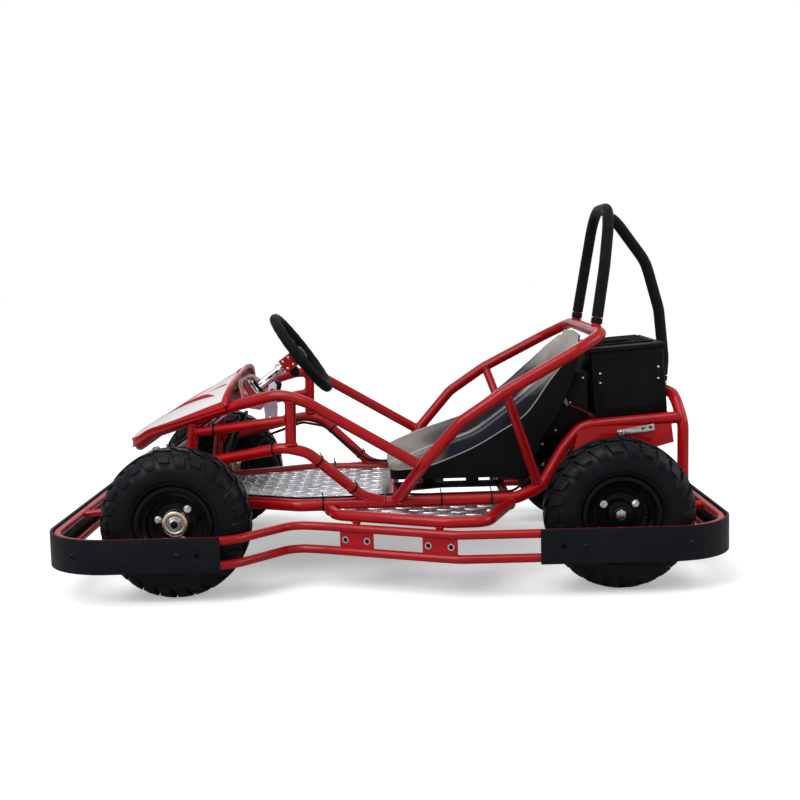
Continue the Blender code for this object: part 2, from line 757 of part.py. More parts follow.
def build_frame():
    # Lower rails, side frames and steps in left and right pairs, and the hoops that span the kart
    paint = red_paint("frame")
    mirrored(cope(frame_tube("left_main_rail", "main_rail", paint), "beam", "rear_arch"), "right_main_rail")
    step = frame_tube("left_step_rail", "step_rail", paint)
    for x in BRACKET_X:
        ring_y = point_at(RING_SIDE_3D, x)[1]
        join(step, rod("stub", point_at(STEP_RAIL, x), (x, ring_y, RING_UPPER_Z), STUB_TUBE, sides=8))
    mirrored(cope(step, "main_rail", "ring_upper"), "right_step_rail")
    side = frame_tube("left_side_frame", "mid_rail", paint)
    join(side, frame_tube("upright", "upright"), frame_tube("post", "post"), frame_tube("strut", "strut"))
    mirrored(cope(side, "main_rail", "beam", "top_rail"), "right_side_frame")
    hoop = frame_tube("seat_hoop", "seat_hoop", paint)
    join(hoop, frame_tube("brace", "brace"), frame_tube("brace", "brace", right=True))
    cope(hoop, "main_rail", right=("main_rail",))
    cope(frame_tube("top_rail", "top_rail", paint), "seat_hoop")
    arch = frame_tube("rear_arch", "rear_arch", paint)
    for side in (-1.0, 1.0):
        stub_y = side * RACK_Y
        join(arch, rod("stub", (ARCH_X, stub_y, RING_UPPER_Z), (RING_REAR_X, stub_y, RING_UPPER_Z), RING_TUBE,
                       sides=8))
    cope(arch, "ring_upper")
    seat_frame = frame_tube("seat_frame", "seat_tube", paint)
    join(seat_frame, frame_tube("rear_tube", "rear_tube"))
    for side in (-1.0, 1.0):
        length = SEAT_TUBE_X - REAR_TUBE_X + CROSS_TUBE
        middle = (SEAT_TUBE_X + REAR_TUBE_X) / 2.0
        join(seat_frame, box("bar", (length, SEAT_BAR_WIDTH, SEAT_BAR_HEIGHT),
                             (middle, side * SEAT_BAR_Y, RAIL_HEIGHT + SEAT_BAR_HEIGHT / 2.0)))
        foot_height = SEAT_UNDERSIDE - RAIL_HEIGHT - CLEARANCE
        for x in SEAT_FOOT_X:
            join(seat_frame, box("foot", (SEAT_FOOT_LENGTH, SEAT_BAR_WIDTH, foot_height),
                                 (x, side * SEAT_BAR_Y, RAIL_HEIGHT + foot_height / 2.0)))
    cope(seat_frame, "main_rail", right=("main_rail",))


def foam_sleeve(name, key):
    # A foam sleeve around a tube, open at both ends, that stops short of the tubes it is welded to
    path = [Vector(point) for point in PATHS[key]]
    first = path[0] + (path[1] - path[0]).normalized() * FOAM_START
    last = path[-1] + (path[-2] - path[-1]).normalized() * FOAM_START
    sleeve = tube(name, [first] + path[1:-1] + [last], RADII[key] + FOAM_WALL, black_rubber("foam"))
    cut(sleeve, tube("sleeve_bore", path, RADII[key] + CLEARANCE))
    return shade(drop_offcuts(sleeve))


def build_roll_bar():
    # The hoop behind the rider and its central stay are one weldment, with foam over most of it
    bar = frame_tube("roll_bar", "roll_bar", red_paint("frame"))
    join(bar, frame_tube("stay", "stay"))
    cope(bar, "seat_hoop", "rear_arch")
    foam = foam_sleeve("roll_bar_foam", "roll_bar")
    cut(foam, frame_tube("stay_gap", "stay", growth=CLEARANCE))
    stay_foam = foam_sleeve("rear_stay_foam", "stay")
    cut(stay_foam, frame_tube("bar_gap", "roll_bar", growth=FOAM_WALL + CLEARANCE))
    for piece in (foam, stay_foam):
        shade(drop_offcuts(piece))


def offset_outline(points, out):
    # An anticlockwise outline moved outwards by the same distance all round
    moved = []
    count = len(points)
    for index in range(count):
        here = Vector(points[index])
        before = (here - Vector(points[index - 1])).normalized()
        after = (Vector(points[(index + 1) % count]) - here).normalized()
        normal_before = Vector((before.y, -before.x))
        normal_after = Vector((after.y, -after.x))
        middle = (normal_before + normal_after).normalized()
        moved.append(tuple(here + middle * out / middle.dot(normal_before)))
    return moved


def band_slab(name, out, finish=None):
    # A solid slab with the bumper ring's outline moved outwards
    corners = offset_outline(ring_outline(), out)
    path = rounded_path([(x, y, 0.0) for x, y in corners], ring_bends(out), True)
    made = plate(name, [(point.x, point.y) for point in path], BAND_HIGH_Z - BAND_LOW_Z, finish)
    return place(made, 0.0, 0.0, BAND_LOW_Z)


def bumper_band(name, end_x, front):
    # A rubber band that wraps one end of the bumper ring, from the outside of its tubes
    inner = RING_TUBE + CLEARANCE
    band = band_slab(name, inner + BAND_THICKNESS, black_rubber("band"))
    core = band_slab("band_core", inner)
    core.data.transform(Matrix.Translation((0.0, 0.0, -BAND_LOW_Z)))
    core.data.transform(Matrix.Scale(3.0, 4, (0.0, 0.0, 1.0)))
    length = 2.0
    middle = end_x - length / 2.0 if front else end_x + length / 2.0
    cut(band, core, box("band_end", (length, 2.0, 1.0), (middle, 0.0, BAND_LOW_Z)))
    hole_z = (BAND_LOW_Z + BAND_HIGH_Z) / 2.0
    for side in (-1.0, 1.0):
        for x in BAND_HOLES_FRONT if front else BAND_HOLES_REAR:
            cut(band, rod("band_hole", (x, side * 0.4, hole_z), (x, side * 0.6, hole_z), BAND_HOLE_RADIUS))
    return shade(drop_offcuts(band))


def bracket_plate(x, side):
    # A short drilled plate that stands on the lower ring tube and reaches up to the other
    low = RING_LOWER_Z
    high = RING_UPPER_Z - RING_TUBE - CLEARANCE
    start, end = (Vector(point_at(RING_SIDE_3D, x + step * BRACKET_LENGTH / 2.0)) for step in (-1.0, 1.0))
    along = end - start
    turn = Matrix.Rotation(side * math.atan2(along.y, along.x), 3, "Z")
    middle = (start + end) / 2.0
    bracket = box("bracket", (BRACKET_LENGTH, BRACKET_THICKNESS, high - low), (0.0, 0.0, 0.0))
    for step in (-0.26, 0.26):
        at = step * BRACKET_LENGTH
        cut(bracket, rod("hole", (at, -0.1, 0.004), (at, 0.1, 0.004), BRACKET_HOLE, sides=8))
    return place(bracket, middle.x, side * middle.y, (low + high) / 2.0, turn)


def build_bumper():
    frame_tube("bumper_ring_upper", "ring_upper", red_paint("bumper"))
    lower = frame_tube("bumper_ring_lower", "ring_lower", red_paint("bumper"))
    for x in BRACKET_X:
        for side in (-1.0, 1.0):
            join(lower, bracket_plate(x, side))
    shade(lower)
    bumper_band("front_bumper_band", BAND_FRONT_END_X, True)
    bumper_band("rear_bumper_band", BAND_REAR_END_X, False)


def tread_plate(name, outline, level, keys, both_sides=False):
    # A tread plate let in between tubes at their own height
    made = plate(name, outline, PLATE_THICKNESS, material("tread_plate", ALLOY, 0.35, 1.0))
    place(made, 0.0, 0.0, level - PLATE_THICKNESS / 2.0)
    return cope(made, *keys, right=keys if both_sides else ())


def step_plate(name):
    # Let in between the step rail's tubes, and set back so that the main rail doesn't overhang it
    outline = [(x, y) for x, y, _ in STEP_RAIL]
    made = tread_plate(name, outline, STEP_HEIGHT, ("step_rail",))
    cut(made, frame_tube("setback", "main_rail", growth=STEP_SETBACK))
    return shade(drop_offcuts(made))


def build_floor():
    front_x = FRONT_AXLE_X
    rear_x = SEAT_TUBE_X
    corners = [(x, y) for x, y, _ in MAIN_RAIL if rear_x < x < front_x]
    left = [(front_x, point_at(MAIN_RAIL, front_x)[1])] + corners + [(rear_x, point_at(MAIN_RAIL, rear_x)[1])]
    outline = left + [(x, -y) for x, y in reversed(left)]
    tread_plate("floor_plate", outline, RAIL_HEIGHT, ("main_rail", "seat_tube", "beam"), True)
    side_pair("step_plate", step_plate)


def add_pedal_lugs(beam, side):
    # Two lugs and a pivot pin for one pedal
    pivot = Vector((PEDAL_PIVOT_X, side * PEDAL_Y, PEDAL_PIVOT_Z))
    root = Vector((FRONT_AXLE_X, side * PEDAL_Y, RAIL_HEIGHT + BEAM_TUBE))
    slope = math.atan2(root.z - pivot.z, pivot.x - root.x)
    length = (root - pivot).length + LUG_HEIGHT / 2.0
    for step in (-1.0, 1.0):
        lug = box("lug", (length, LUG_THICKNESS, LUG_HEIGHT), (length / 2.0, 0.0, 0.0))
        place(lug, root.x, root.y + step * LUG_Y, root.z, Matrix.Rotation(slope, 3, "Y"))
        join(beam, lug)
    reach = Vector((0.0, LUG_Y + LUG_THICKNESS, 0.0))
    join(beam, rod("pedal_pin", pivot - reach, pivot + reach, PEDAL_PIN, sides=10))


def build_front_beam():
    # The cross beam, with a C-shaped yoke and its kingpin bolt at each end
    beam = frame_tube("axle_beam", "beam", red_paint("frame"))
    web_y = KINGPIN_Y - 0.024
    arm_length = KINGPIN_Y + 0.016 - web_y
    top = TYRE_RADIUS + YOKE_HALF_HEIGHT
    bottom = TYRE_RADIUS - YOKE_HALF_HEIGHT
    for side in (-1.0, 1.0):
        join(beam, box("web", (2.0 * YOKE_REACH, YOKE_WALL, 2.0 * YOKE_HALF_HEIGHT),
                       (FRONT_AXLE_X, side * web_y, TYRE_RADIUS)))
        for level in (-1.0, 1.0):
            z = TYRE_RADIUS + level * (YOKE_HALF_HEIGHT - YOKE_WALL / 2.0)
            y = side * (web_y + arm_length / 2.0)
            join(beam, box("arm", (2.0 * YOKE_REACH, arm_length, YOKE_WALL), (FRONT_AXLE_X, y, z)))
        x, y = FRONT_AXLE_X, side * KINGPIN_Y
        pin = rod("pin", (x, y, bottom - 0.012), (x, y, top + 0.002), KINGPIN_RADIUS, sides=12)
        head = rod("head", (x, y, top - 0.001), (x, y, top + 0.007), 0.0105, sides=6)
        nut = rod("nut", (x, y, bottom - 0.008), (x, y, bottom + 0.001), 0.0105, sides=6)
        join(beam, pin, head, nut)
        stub_y = side * FRONT_STUB_Y
        stub_root = (FRONT_AXLE_X, stub_y, RAIL_HEIGHT - 0.006)
        join(beam, rod("stub", stub_root, (RING_FRONT_X, stub_y, RING_UPPER_Z), STUB_TUBE, sides=8))
        add_pedal_lugs(beam, side)
    cope(beam, "ring_upper")


def build_knuckle(name):
    # A sleeve on the kingpin with the stub axle outwards and the steering arm forwards
    inner = YOKE_HALF_HEIGHT - YOKE_WALL - CLEARANCE
    centre = (FRONT_AXLE_X, KINGPIN_Y, TYRE_RADIUS)
    x, y, z = centre
    knuckle = rod(name, (x, y, z - inner), (x, y, z + inner), SLEEVE_RADIUS, red_paint("knuckle"), 16)
    nut_y = FRONT_WHEEL_Y + HUB_HALF - BEARING_SEAT + CLEARANCE
    stub = rod("stub", (x, y, z), (x, nut_y + 0.013, z), STUB_RADIUS, sides=16)
    collar_end = FRONT_WHEEL_Y - HUB_HALF - CLEARANCE
    collar = rod("collar", (x, y, z), (x, collar_end, z), STUB_RADIUS + 0.004, sides=16)
    nut = rod("nut", (x, nut_y, z), (x, nut_y + 0.009, z), 0.0125, sides=6)
    arm_z = z + inner - 0.004
    arm = box("arm", (KNUCKLE_ARM + 0.010, 0.016, 0.006), (x + (KNUCKLE_ARM + 0.010) / 2.0, y, arm_z))
    join(knuckle, stub, collar, arm, nut)
    ball = rod("ball", (x + KNUCKLE_ARM, y, arm_z), (x + KNUCKLE_ARM, y, TIE_END_Z - 0.0065), 0.005)
    join(knuckle, ball)
    cut(knuckle, rod("bore", (x, y, 0.0), (x, y, 0.4), clear_bore(KINGPIN_RADIUS, 12), sides=12))
    return shade(knuckle)


def tyre_profile():
    # The closed outline of the tyre's wall, as (radius, across), from one bead over the tread and back
    half = TYRE_WIDTH / 2.0
    bead = clear_bore(RIM_RADIUS + BEAD_SEAT, 2 * LUG_PITCHES)
    bead_side = RIM_WIDTH / 2.0 - BEAD_FLANK - RIM_WALL - CLEARANCE
    outer = [
        (bead, bead_side), (RIM_RADIUS + RIM_LIP + 0.0015, bead_side + 0.0003),
        (0.66 * TYRE_RADIUS, half), (0.84 * TYRE_RADIUS, 0.97 * half),
        (0.95 * TYRE_RADIUS, 0.78 * half), (TYRE_RADIUS, 0.34 * half),
    ]
    inner = [(bead, bead_side - 0.010), (0.84 * TYRE_RADIUS, 0.70 * half)]
    outer_ring = outer + [(radius, -across) for radius, across in reversed(outer)]
    inner_ring = [(radius, -across) for radius, across in inner]
    inner_ring += [(radius, across) for radius, across in reversed(inner)]
    return outer_ring + inner_ring


def lower_grooves(item, centre):
    # Every other block of the tread and shoulder stands proud, staggered between the two sides
    half = TYRE_WIDTH / 2.0
    for vertex in item.data.vertices:
        spoke = vertex.co - Vector(centre)
        across = spoke.y
        spoke.y = 0.0
        tread = spoke.length > 0.9 * TYRE_RADIUS
        shoulder = spoke.length > 0.8 * TYRE_RADIUS and abs(across) > 0.9 * half
        step = round(math.atan2(spoke.z, spoke.x) / math.pi * LUG_PITCHES)
        if (tread or shoulder) and (step + (across > 0.0)) % 2 == 0:
            vertex.co -= spoke.normalized() * TREAD_DEPTH
    return shade(item)


def rim_profile():
    # A dished steel rim: outer lip, well, disc and inner lip, as one wall
    half = RIM_WIDTH / 2.0
    lip = RIM_RADIUS + RIM_LIP
    seat = RIM_RADIUS + BEAD_SEAT
    well = RIM_RADIUS - 0.012
    wall = RIM_WALL
    bore = clear_bore(HUB_RADIUS, RIM_SIDES)
    outside = [(bore, RIM_DISC), (0.050, RIM_DISC), (well - wall, RIM_DISC + 0.008)]
    outside += [(seat - wall, half - BEAD_FLANK), (lip, half), (lip, half - wall)]
    barrel = [(seat, half - BEAD_FLANK - wall), (well, 0.36 * half), (well, -0.36 * half)]
    barrel += [(seat, BEAD_FLANK + wall - half), (lip, wall - half), (lip, -half)]
    inside = [(seat - wall, BEAD_FLANK - half), (well - wall, -0.36 * half), (well - wall, RIM_DISC)]
    inside += [(bore, RIM_DISC - wall)]
    return outside + barrel + inside


def bolt_points(x):
    # Where the studs pass through the rim's disc
    spots = []
    for index in range(WHEEL_BOLTS):
        turn = math.radians(BOLT_START) + 2.0 * math.pi * index / WHEEL_BOLTS
        reach = WHEEL_BOLT_CIRCLE / 2.0
        spots.append((x + reach * math.cos(turn), TYRE_RADIUS + reach * math.sin(turn)))
    return spots


def studded_hub(name, x, y, out, finish=None):
    # A solid hub: barrel, bolting flange behind the rim's disc, wheel studs and their nuts
    z = TYRE_RADIUS
    disc = y + out * RIM_DISC
    flange = disc - out * (RIM_WALL + CLEARANCE)
    hub = rod(name, (x, y - out * HUB_HALF, z), (x, y + out * HUB_HALF, z), HUB_RADIUS, finish, 18)
    join(hub, rod("flange", (x, flange - out * 0.006, z), (x, flange, z), HUB_FLANGE, sides=18))
    for bolt_x, bolt_z in bolt_points(x):
        stud_root = (bolt_x, flange - out * 0.002, bolt_z)
        stud = rod("stud", stud_root, (bolt_x, disc + out * 0.010, bolt_z), STUD_RADIUS, sides=6)
        nut = rod("nut", (bolt_x, disc + out * CLEARANCE, bolt_z), (bolt_x, disc + out * 0.0065, bolt_z),
                  STUD_RADIUS * 1.9, sides=6)
        join(hub, stud, nut)
    return shade(hub)


def wheel(prefix, x, y, out):
    # Tyre and drilled rim of one wheel; out is +1 where its outer face looks along +Y
    axis = (0.0, out, 0.0)
    centre = (x, y, TYRE_RADIUS)
    tyre = revolve(prefix + "_tyre", tyre_profile(), centre, axis, black_rubber("tyre"), 2 * LUG_PITCHES)
    lower_grooves(tyre, centre)
    rim = revolve(prefix + "_rim", rim_profile(), centre, axis, black_plastic("rim"), RIM_SIDES)
    for bolt_x, bolt_z in bolt_points(x):
        hole_end = (bolt_x, y + out * 0.03, bolt_z)
        cut(rim, rod("hole", (bolt_x, y, bolt_z), hole_end, clear_bore(STUD_RADIUS, 6), sides=6))
    shade(rim)


def build_wheels():
    for side, word in ((1.0, "left"), (-1.0, "right")):
        wheel("front_" + word, FRONT_AXLE_X, side * FRONT_WHEEL_Y, side)
        wheel("rear_" + word, REAR_AXLE_X, side * REAR_WHEEL_Y, side)
        hub = studded_hub("front_" + word + "_hub", FRONT_AXLE_X, side * FRONT_WHEEL_Y, side,
                          material("hub_zinc", ZINC, 0.35, 1.0))
        x, y, z = FRONT_AXLE_X, side * FRONT_WHEEL_Y, TYRE_RADIUS
        face = y + side * HUB_HALF
        cut(hub, rod("bore", (x, 0.0, z), (x, 2.0 * y, z), clear_bore(STUB_RADIUS)),
            rod("bearing_seat", (x, face - side * BEARING_SEAT, z), (x, face + side, z), BEARING_RADIUS))
        shade(hub)


def build_axle_plate(name):
    # The hanging plate between rack rail and axle, with the axle's bearing housing in it
    x, z = REAR_AXLE_X, TYRE_RADIUS
    carrier = side_plate(name, AXLE_PLATE_OUTLINE, AXLE_PLATE_THICKNESS, AXLE_PLATE_Y + AXLE_PLATE_THICKNESS,
                         red_paint("plate"))
    inner = AXLE_PLATE_Y - BEARING_HALF
    housing = rod("housing", (x, inner, z), (x, AXLE_PLATE_Y + BEARING_HALF, z), BEARING_HOUSING, sides=20)
    join(carrier, housing)
    cut(carrier, rod("bore", (x, 0.1, z), (x, 0.5, z), clear_bore(AXLE_RADIUS, 20), sides=20))
    return shade(carrier)


def build_rear_axle():
    # One live shaft turns both rear wheels; it carries the sprocket and the brake disc
    end = REAR_WHEEL_Y + HUB_HALF + 0.004
    x, z = REAR_AXLE_X, TYRE_RADIUS
    axle = rod("rear_axle", (x, -end, z), (x, end, z), AXLE_RADIUS, bare_steel("axle"), 16)
    for side in (-1.0, 1.0):
        join(axle, studded_hub("hub", x, side * REAR_WHEEL_Y, side))
    shade(axle)
    side_pair("axle_plate", build_axle_plate)
    bore = clear_bore(AXLE_RADIUS, 24)
    ring = [(bore, 0.010), (0.024, 0.010), (0.024, 0.002), (DISC_RADIUS, 0.002), (DISC_RADIUS, -0.002),
            (bore, -0.002)]
    disc = revolve("brake_disc", ring, (x, DISC_Y, z), (0.0, 1.0, 0.0), bare_steel("disc"), 24)
    for index in range(DISC_HOLES):
        turn = 2.0 * math.pi * index / DISC_HOLES
        hx, hz = x + 0.048 * math.cos(turn), z + 0.048 * math.sin(turn)
        cut(disc, rod("hole", (hx, DISC_Y - 0.02, hz), (hx, DISC_Y + 0.02, hz), 0.0065, sides=6))
    shade(disc)


COLUMN_AXIS = Vector((math.cos(STEER_TILT), 0.0, -math.sin(STEER_TILT)))
COLUMN_UP = Vector((math.sin(STEER_TILT), 0.0, math.cos(STEER_TILT)))


def column_point(along, up=0.0, across=0.0):
    # A point given by its distance along the steering column, above it and to the left
    return STEER_CENTRE + COLUMN_AXIS * along + COLUMN_UP * up + Vector((0.0, across, 0.0))


def column_frame():
    # Local Z along the column, local X to the left, local Y upwards
    frame = Matrix.Identity(3)
    frame.col[0] = Vector((0.0, 1.0, 0.0))
    frame.col[1] = COLUMN_UP
    frame.col[2] = Vector((0.0, 1.0, 0.0)).cross(COLUMN_UP)
    return frame


def column_box(name, size, along, up=0.0, finish=None):
    # A block square to the column: size is across, up and along
    made = box(name, size, (0.0, 0.0, 0.0), finish)
    return place(made, *column_point(along, up), column_frame())


def build_steering():
    # Wheel with grip ring, three spokes and a boss; the column carries the pitman arm at its lower end
    turn = column_frame()
    ring = [Vector((STEER_WHEEL_RADIUS * math.cos(a), STEER_WHEEL_RADIUS * math.sin(a), 0.0))
            for a in (2.0 * math.pi * index / GRIP_STEPS for index in range(GRIP_STEPS))]
    wheel_piece = tube("steering_wheel", ring, STEER_GRIP, black_rubber("grip"), 2, True)
    for index in range(3):
        angle = math.radians(90.0 + 180.0 + 120.0 * index)
        spoke = box("spoke", (STEER_WHEEL_RADIUS, 0.026, 0.006), (STEER_WHEEL_RADIUS / 2.0, 0.0, 0.010))
        spoke.data.transform(Matrix.Rotation(angle, 4, "Z"))
        join(wheel_piece, spoke)
    boss = rod("boss", (0.0, 0.0, -0.002), (0.0, 0.0, WHEEL_BOSS_END), 0.032, sides=18)
    join(wheel_piece, boss)
    shade(place(wheel_piece, *STEER_CENTRE, turn))
    start = WHEEL_BOSS_END + CLEARANCE
    column = rod("steering_column", column_point(start), column_point(COLUMN_LENGTH), COLUMN_RADIUS,
                 bare_steel("column"), 16)
    bracket = column_box("bracket", (0.044, 0.044, 0.014), start + 0.007)
    pitman = column_box("pitman", (0.044, PITMAN_LENGTH + 0.014, 0.006), COLUMN_LENGTH - 0.003,
                        PITMAN_LENGTH / 2.0 + 0.002)
    shade(join(column, bracket, pitman))


def build_column_supports():
    # The dash plate holds the column's upper bearing; a bent strut from the beam holds the lower one
    outline = DASH_OUTLINE + [(-across, up) for across, up in reversed(DASH_OUTLINE)]
    dash = plate("dash_plate", outline, DASH_THICKNESS, red_paint("dash"))
    place(dash, *column_point(DASH_ALONG - DASH_THICKNESS / 2.0), column_frame())
    ring = rod("ring", column_point(DASH_ALONG - 0.010), column_point(DASH_ALONG), 0.0245, sides=20)
    join(dash, ring)
    cut(dash, rod("bore", column_point(0.0), column_point(0.5), clear_bore(COLUMN_RADIUS, 16), sides=16))
    cope(dash, "top_rail")
    middle = LOWER_BEARING_ALONG
    strut = rod("column_support", column_point(middle - 0.012), column_point(middle + 0.012), 0.018,
                red_paint("frame"), 16)
    foot = Vector((FRONT_AXLE_X, 0.0, RAIL_HEIGHT))
    leg = tube("leg", [foot, column_point(middle)], 0.011)
    join(strut, leg)
    cut(strut, rod("bore", column_point(0.2), column_point(0.6), clear_bore(COLUMN_RADIUS, 16), sides=16))
    cope(strut, "beam")


def build_tie_rod(name):
    # From the ball on the steering arm to the pitman arm, with a rod end at both ends
    arm_end = Vector((FRONT_AXLE_X + KNUCKLE_ARM, KINGPIN_Y, TIE_END_Z))
    inner_end = column_point(COLUMN_LENGTH + TIE_GAP, PITMAN_LENGTH, PITMAN_HOLE_Y)
    piece = rod(name, arm_end, inner_end, TIE_ROD_RADIUS, bare_steel("tie_rod"), 12)
    half_cup = Vector((0.0, 0.0, 0.006))
    cup = rod("cup", arm_end - half_cup, arm_end + half_cup, 0.010, sides=12)
    eye = rod("eye", inner_end - COLUMN_AXIS * 0.005, inner_end + COLUMN_AXIS * 0.005, 0.0085, sides=12)
    return shade(join(piece, cup, eye))


def sprocket_outline(teeth):
    # A chain wheel's outline: a flat root and a pointed tip for every tooth
    pitch_radius = CHAIN_PITCH / (2.0 * math.sin(math.pi / teeth))
    outline = []
    for index in range(teeth):
        for share, radius in ((0.20, pitch_radius - TOOTH_ROOT), (0.50, pitch_radius + TOOTH_TIP),
                              (0.80, pitch_radius - TOOTH_ROOT)):
            turn = 2.0 * math.pi * (index + share) / teeth
            outline.append((radius * math.cos(turn), radius * math.sin(turn)))
    return outline


def sprocket(name, teeth, x, z):
    wheel_piece = plate(name, sprocket_outline(teeth), SPROCKET_THICKNESS, bare_steel("sprocket"))
    return place(wheel_piece, x, SPROCKET_Y + SPROCKET_THICKNESS / 2.0, z, UPRIGHT)


def build_sprockets():
    # The axle's large chain wheel on its hub, and the motor's small one on its shaft
    x, z = REAR_AXLE_X, TYRE_RADIUS
    driven = sprocket("driven_sprocket", SPROCKET_TEETH, x, z)
    join(driven, rod("hub", (x, SPROCKET_Y - 0.001, z), (x, SPROCKET_Y + 0.016, z), 0.024, sides=14))
    for index in range(SPROCKET_HOLES):
        turn = 2.0 * math.pi * index / SPROCKET_HOLES
        hx, hz = x + 0.051 * math.cos(turn), z + 0.051 * math.sin(turn)
        cut(driven, rod("hole", (hx, -0.2, hz), (hx, 0.2, hz), 0.017, sides=8))
    cut(driven, rod("bore", (x, -0.2, z), (x, 0.2, z), clear_bore(AXLE_RADIUS), sides=16))
    shade(driven)
    pinion = sprocket("motor_sprocket", MOTOR_TEETH, MOTOR_X, MOTOR_Z)
    collar = rod("collar", (MOTOR_X, SPROCKET_Y - 0.008, MOTOR_Z), (MOTOR_X, SPROCKET_Y, MOTOR_Z), 0.012,
                 sides=12)
    shaft = rod("shaft", (MOTOR_X, SPROCKET_Y - 0.012, MOTOR_Z), (MOTOR_X, MOTOR_FRONT_Y + 0.030, MOTOR_Z),
                MOTOR_SHAFT, sides=12)
    shade(join(pinion, collar, shaft))


def build_motor():
    # A can with two end bells and a terminal block, bolted to a plate around the rear cross tube
    x, z = MOTOR_X, MOTOR_Z
    back = MOTOR_BACK_Y
    motor = rod("motor", (x, MOTOR_FRONT_Y + 0.012, z), (x, back - 0.012, z), MOTOR_RADIUS,
                black_plastic("motor"), 24)
    join(motor, rod("front_bell", (x, MOTOR_FRONT_Y, z), (x, MOTOR_FRONT_Y + 0.014, z), 0.045, sides=24),
         rod("rear_bell", (x, back - 0.014, z), (x, back, z), 0.045, sides=24),
         box("terminals", (0.030, 0.036, 0.016), (x, 0.006, z - MOTOR_RADIUS - 0.005)))
    cut(motor, rod("bore", (x, MOTOR_FRONT_Y - 0.01, z), (x, MOTOR_FRONT_Y + 0.034, z),
                   clear_bore(MOTOR_SHAFT, 12), sides=12))
    shade(motor)
    face = MOTOR_FRONT_Y - CLEARANCE
    mount = side_plate("motor_mount", MOUNT_OUTLINE, MOUNT_THICKNESS, face, red_paint("mount"))
    cut(mount, rod("shaft_hole", (x, -0.2, z), (x, 0.2, z), 0.016))
    for step in range(4):
        turn = math.radians(45.0 + 90.0 * step)
        hx, hz = x + 0.033 * math.cos(turn), z + 0.033 * math.sin(turn)
        cut(mount, rod("bolt_hole", (hx, -0.2, hz), (hx, 0.2, hz), 0.004, sides=8))
    cope(mount, "rear_tube")


def chain_loop(offset):
    # The loop around both chain wheels, moved outwards from the pitch line
    big = CHAIN_PITCH / (2.0 * math.sin(math.pi / SPROCKET_TEETH)) + offset
    small = CHAIN_PITCH / (2.0 * math.sin(math.pi / MOTOR_TEETH)) + offset
    gap_x, gap_z = MOTOR_X - REAR_AXLE_X, MOTOR_Z - TYRE_RADIUS
    heading = math.atan2(gap_z, gap_x)
    half = math.acos((big - small) / math.hypot(gap_x, gap_z))
    loop = []
    for centre_x, centre_z, radius, start, sweep, steps in (
            (REAR_AXLE_X, TYRE_RADIUS, big, heading + half, 2.0 * (math.pi - half), CHAIN_STEPS),
            (MOTOR_X, MOTOR_Z, small, heading - half, 2.0 * half, CHAIN_STEPS // 2)):
        for step in range(steps + 1):
            turn = start + sweep * step / steps
            loop.append((centre_x + radius * math.cos(turn), centre_z + radius * math.sin(turn)))
    return loop


def chain_strip(name, side, finish=None):
    # One flat side strip of the chain, as a closed ring of quads
    middle = SPROCKET_Y + side * CHAIN_STRIP_Y
    loops = []
    for offset in (-CHAIN_HALF, CHAIN_HALF):
        for y in (middle - CHAIN_STRIP / 2.0, middle + CHAIN_STRIP / 2.0):
            loops.append([(x, y, z) for x, z in chain_loop(offset)])
    inner_right, inner_left, outer_right, outer_left = loops
    shape = bmesh.new()
    rings = [[shape.verts.new(point) for point in loop]
             for loop in (inner_right, inner_left, outer_left, outer_right)]
    count = len(rings[0])
    for ring, following in zip(rings, rings[1:] + rings[:1]):
        for index in range(count):
            nearby = (index + 1) % count
            shape.faces.new((ring[index], ring[nearby], following[nearby], following[index]))
    return bmesh_object(name, shape, finish)


def build_chain():
    # Two side strips along the loop, held together by pins on its straight runs
    chain = chain_strip("chain", -1.0, bare_steel("chain"))
    join(chain, chain_strip("strip", 1.0))
    middle = chain_loop(0.0)
    runs = ((middle[CHAIN_STEPS], middle[CHAIN_STEPS + 1]), (middle[0], middle[-1]))
    for start, end in runs:
        heading = (Vector(end) - Vector(start)).normalized()
        for reach in CHAIN_PIN_AT:
            x, z = Vector(start) + heading * reach
            half = CHAIN_STRIP_Y + CHAIN_STRIP / 2.0 + 0.0006
            join(chain, rod("pin", (x, SPROCKET_Y - half, z), (x, SPROCKET_Y + half, z), CHAIN_PIN, sides=6))
    shade(chain)


def build_caliper():
    # Two jaws over the disc's rim, carried by an arm from the left axle plate
    x, z = REAR_AXLE_X, TYRE_RADIUS + DISC_RADIUS - 0.008
    caliper = box("brake_caliper", (0.052, 0.036, 0.040), (x, DISC_Y, z), black_plastic("caliper"), 0.003)
    cut(caliper, box("slot", (0.2, 0.0065, 0.060), (x, DISC_Y, z - 0.020)))
    arm_z = z + 0.008
    arm = rod("arm", (x, DISC_Y + 0.010, arm_z), (x, AXLE_PLATE_Y - CLEARANCE, arm_z), 0.007, sides=12)
    join(caliper, arm)
    shade(caliper)


BOX_TILT = Matrix.Rotation(BOX_SLOPE, 3, "Y")
BOX_FOOT = (BOX_FRONT_X - BOX_LENGTH / 2.0, 0.0, BOX_FOOT_Z)


def on_rack(name, size, centre, finish=None, bevel=0.0):
    # A block square to the sloping rack; centre is measured from the middle of the box's underside
    made = box(name, size, centre, finish, bevel)
    return place(made, *BOX_FOOT, BOX_TILT)


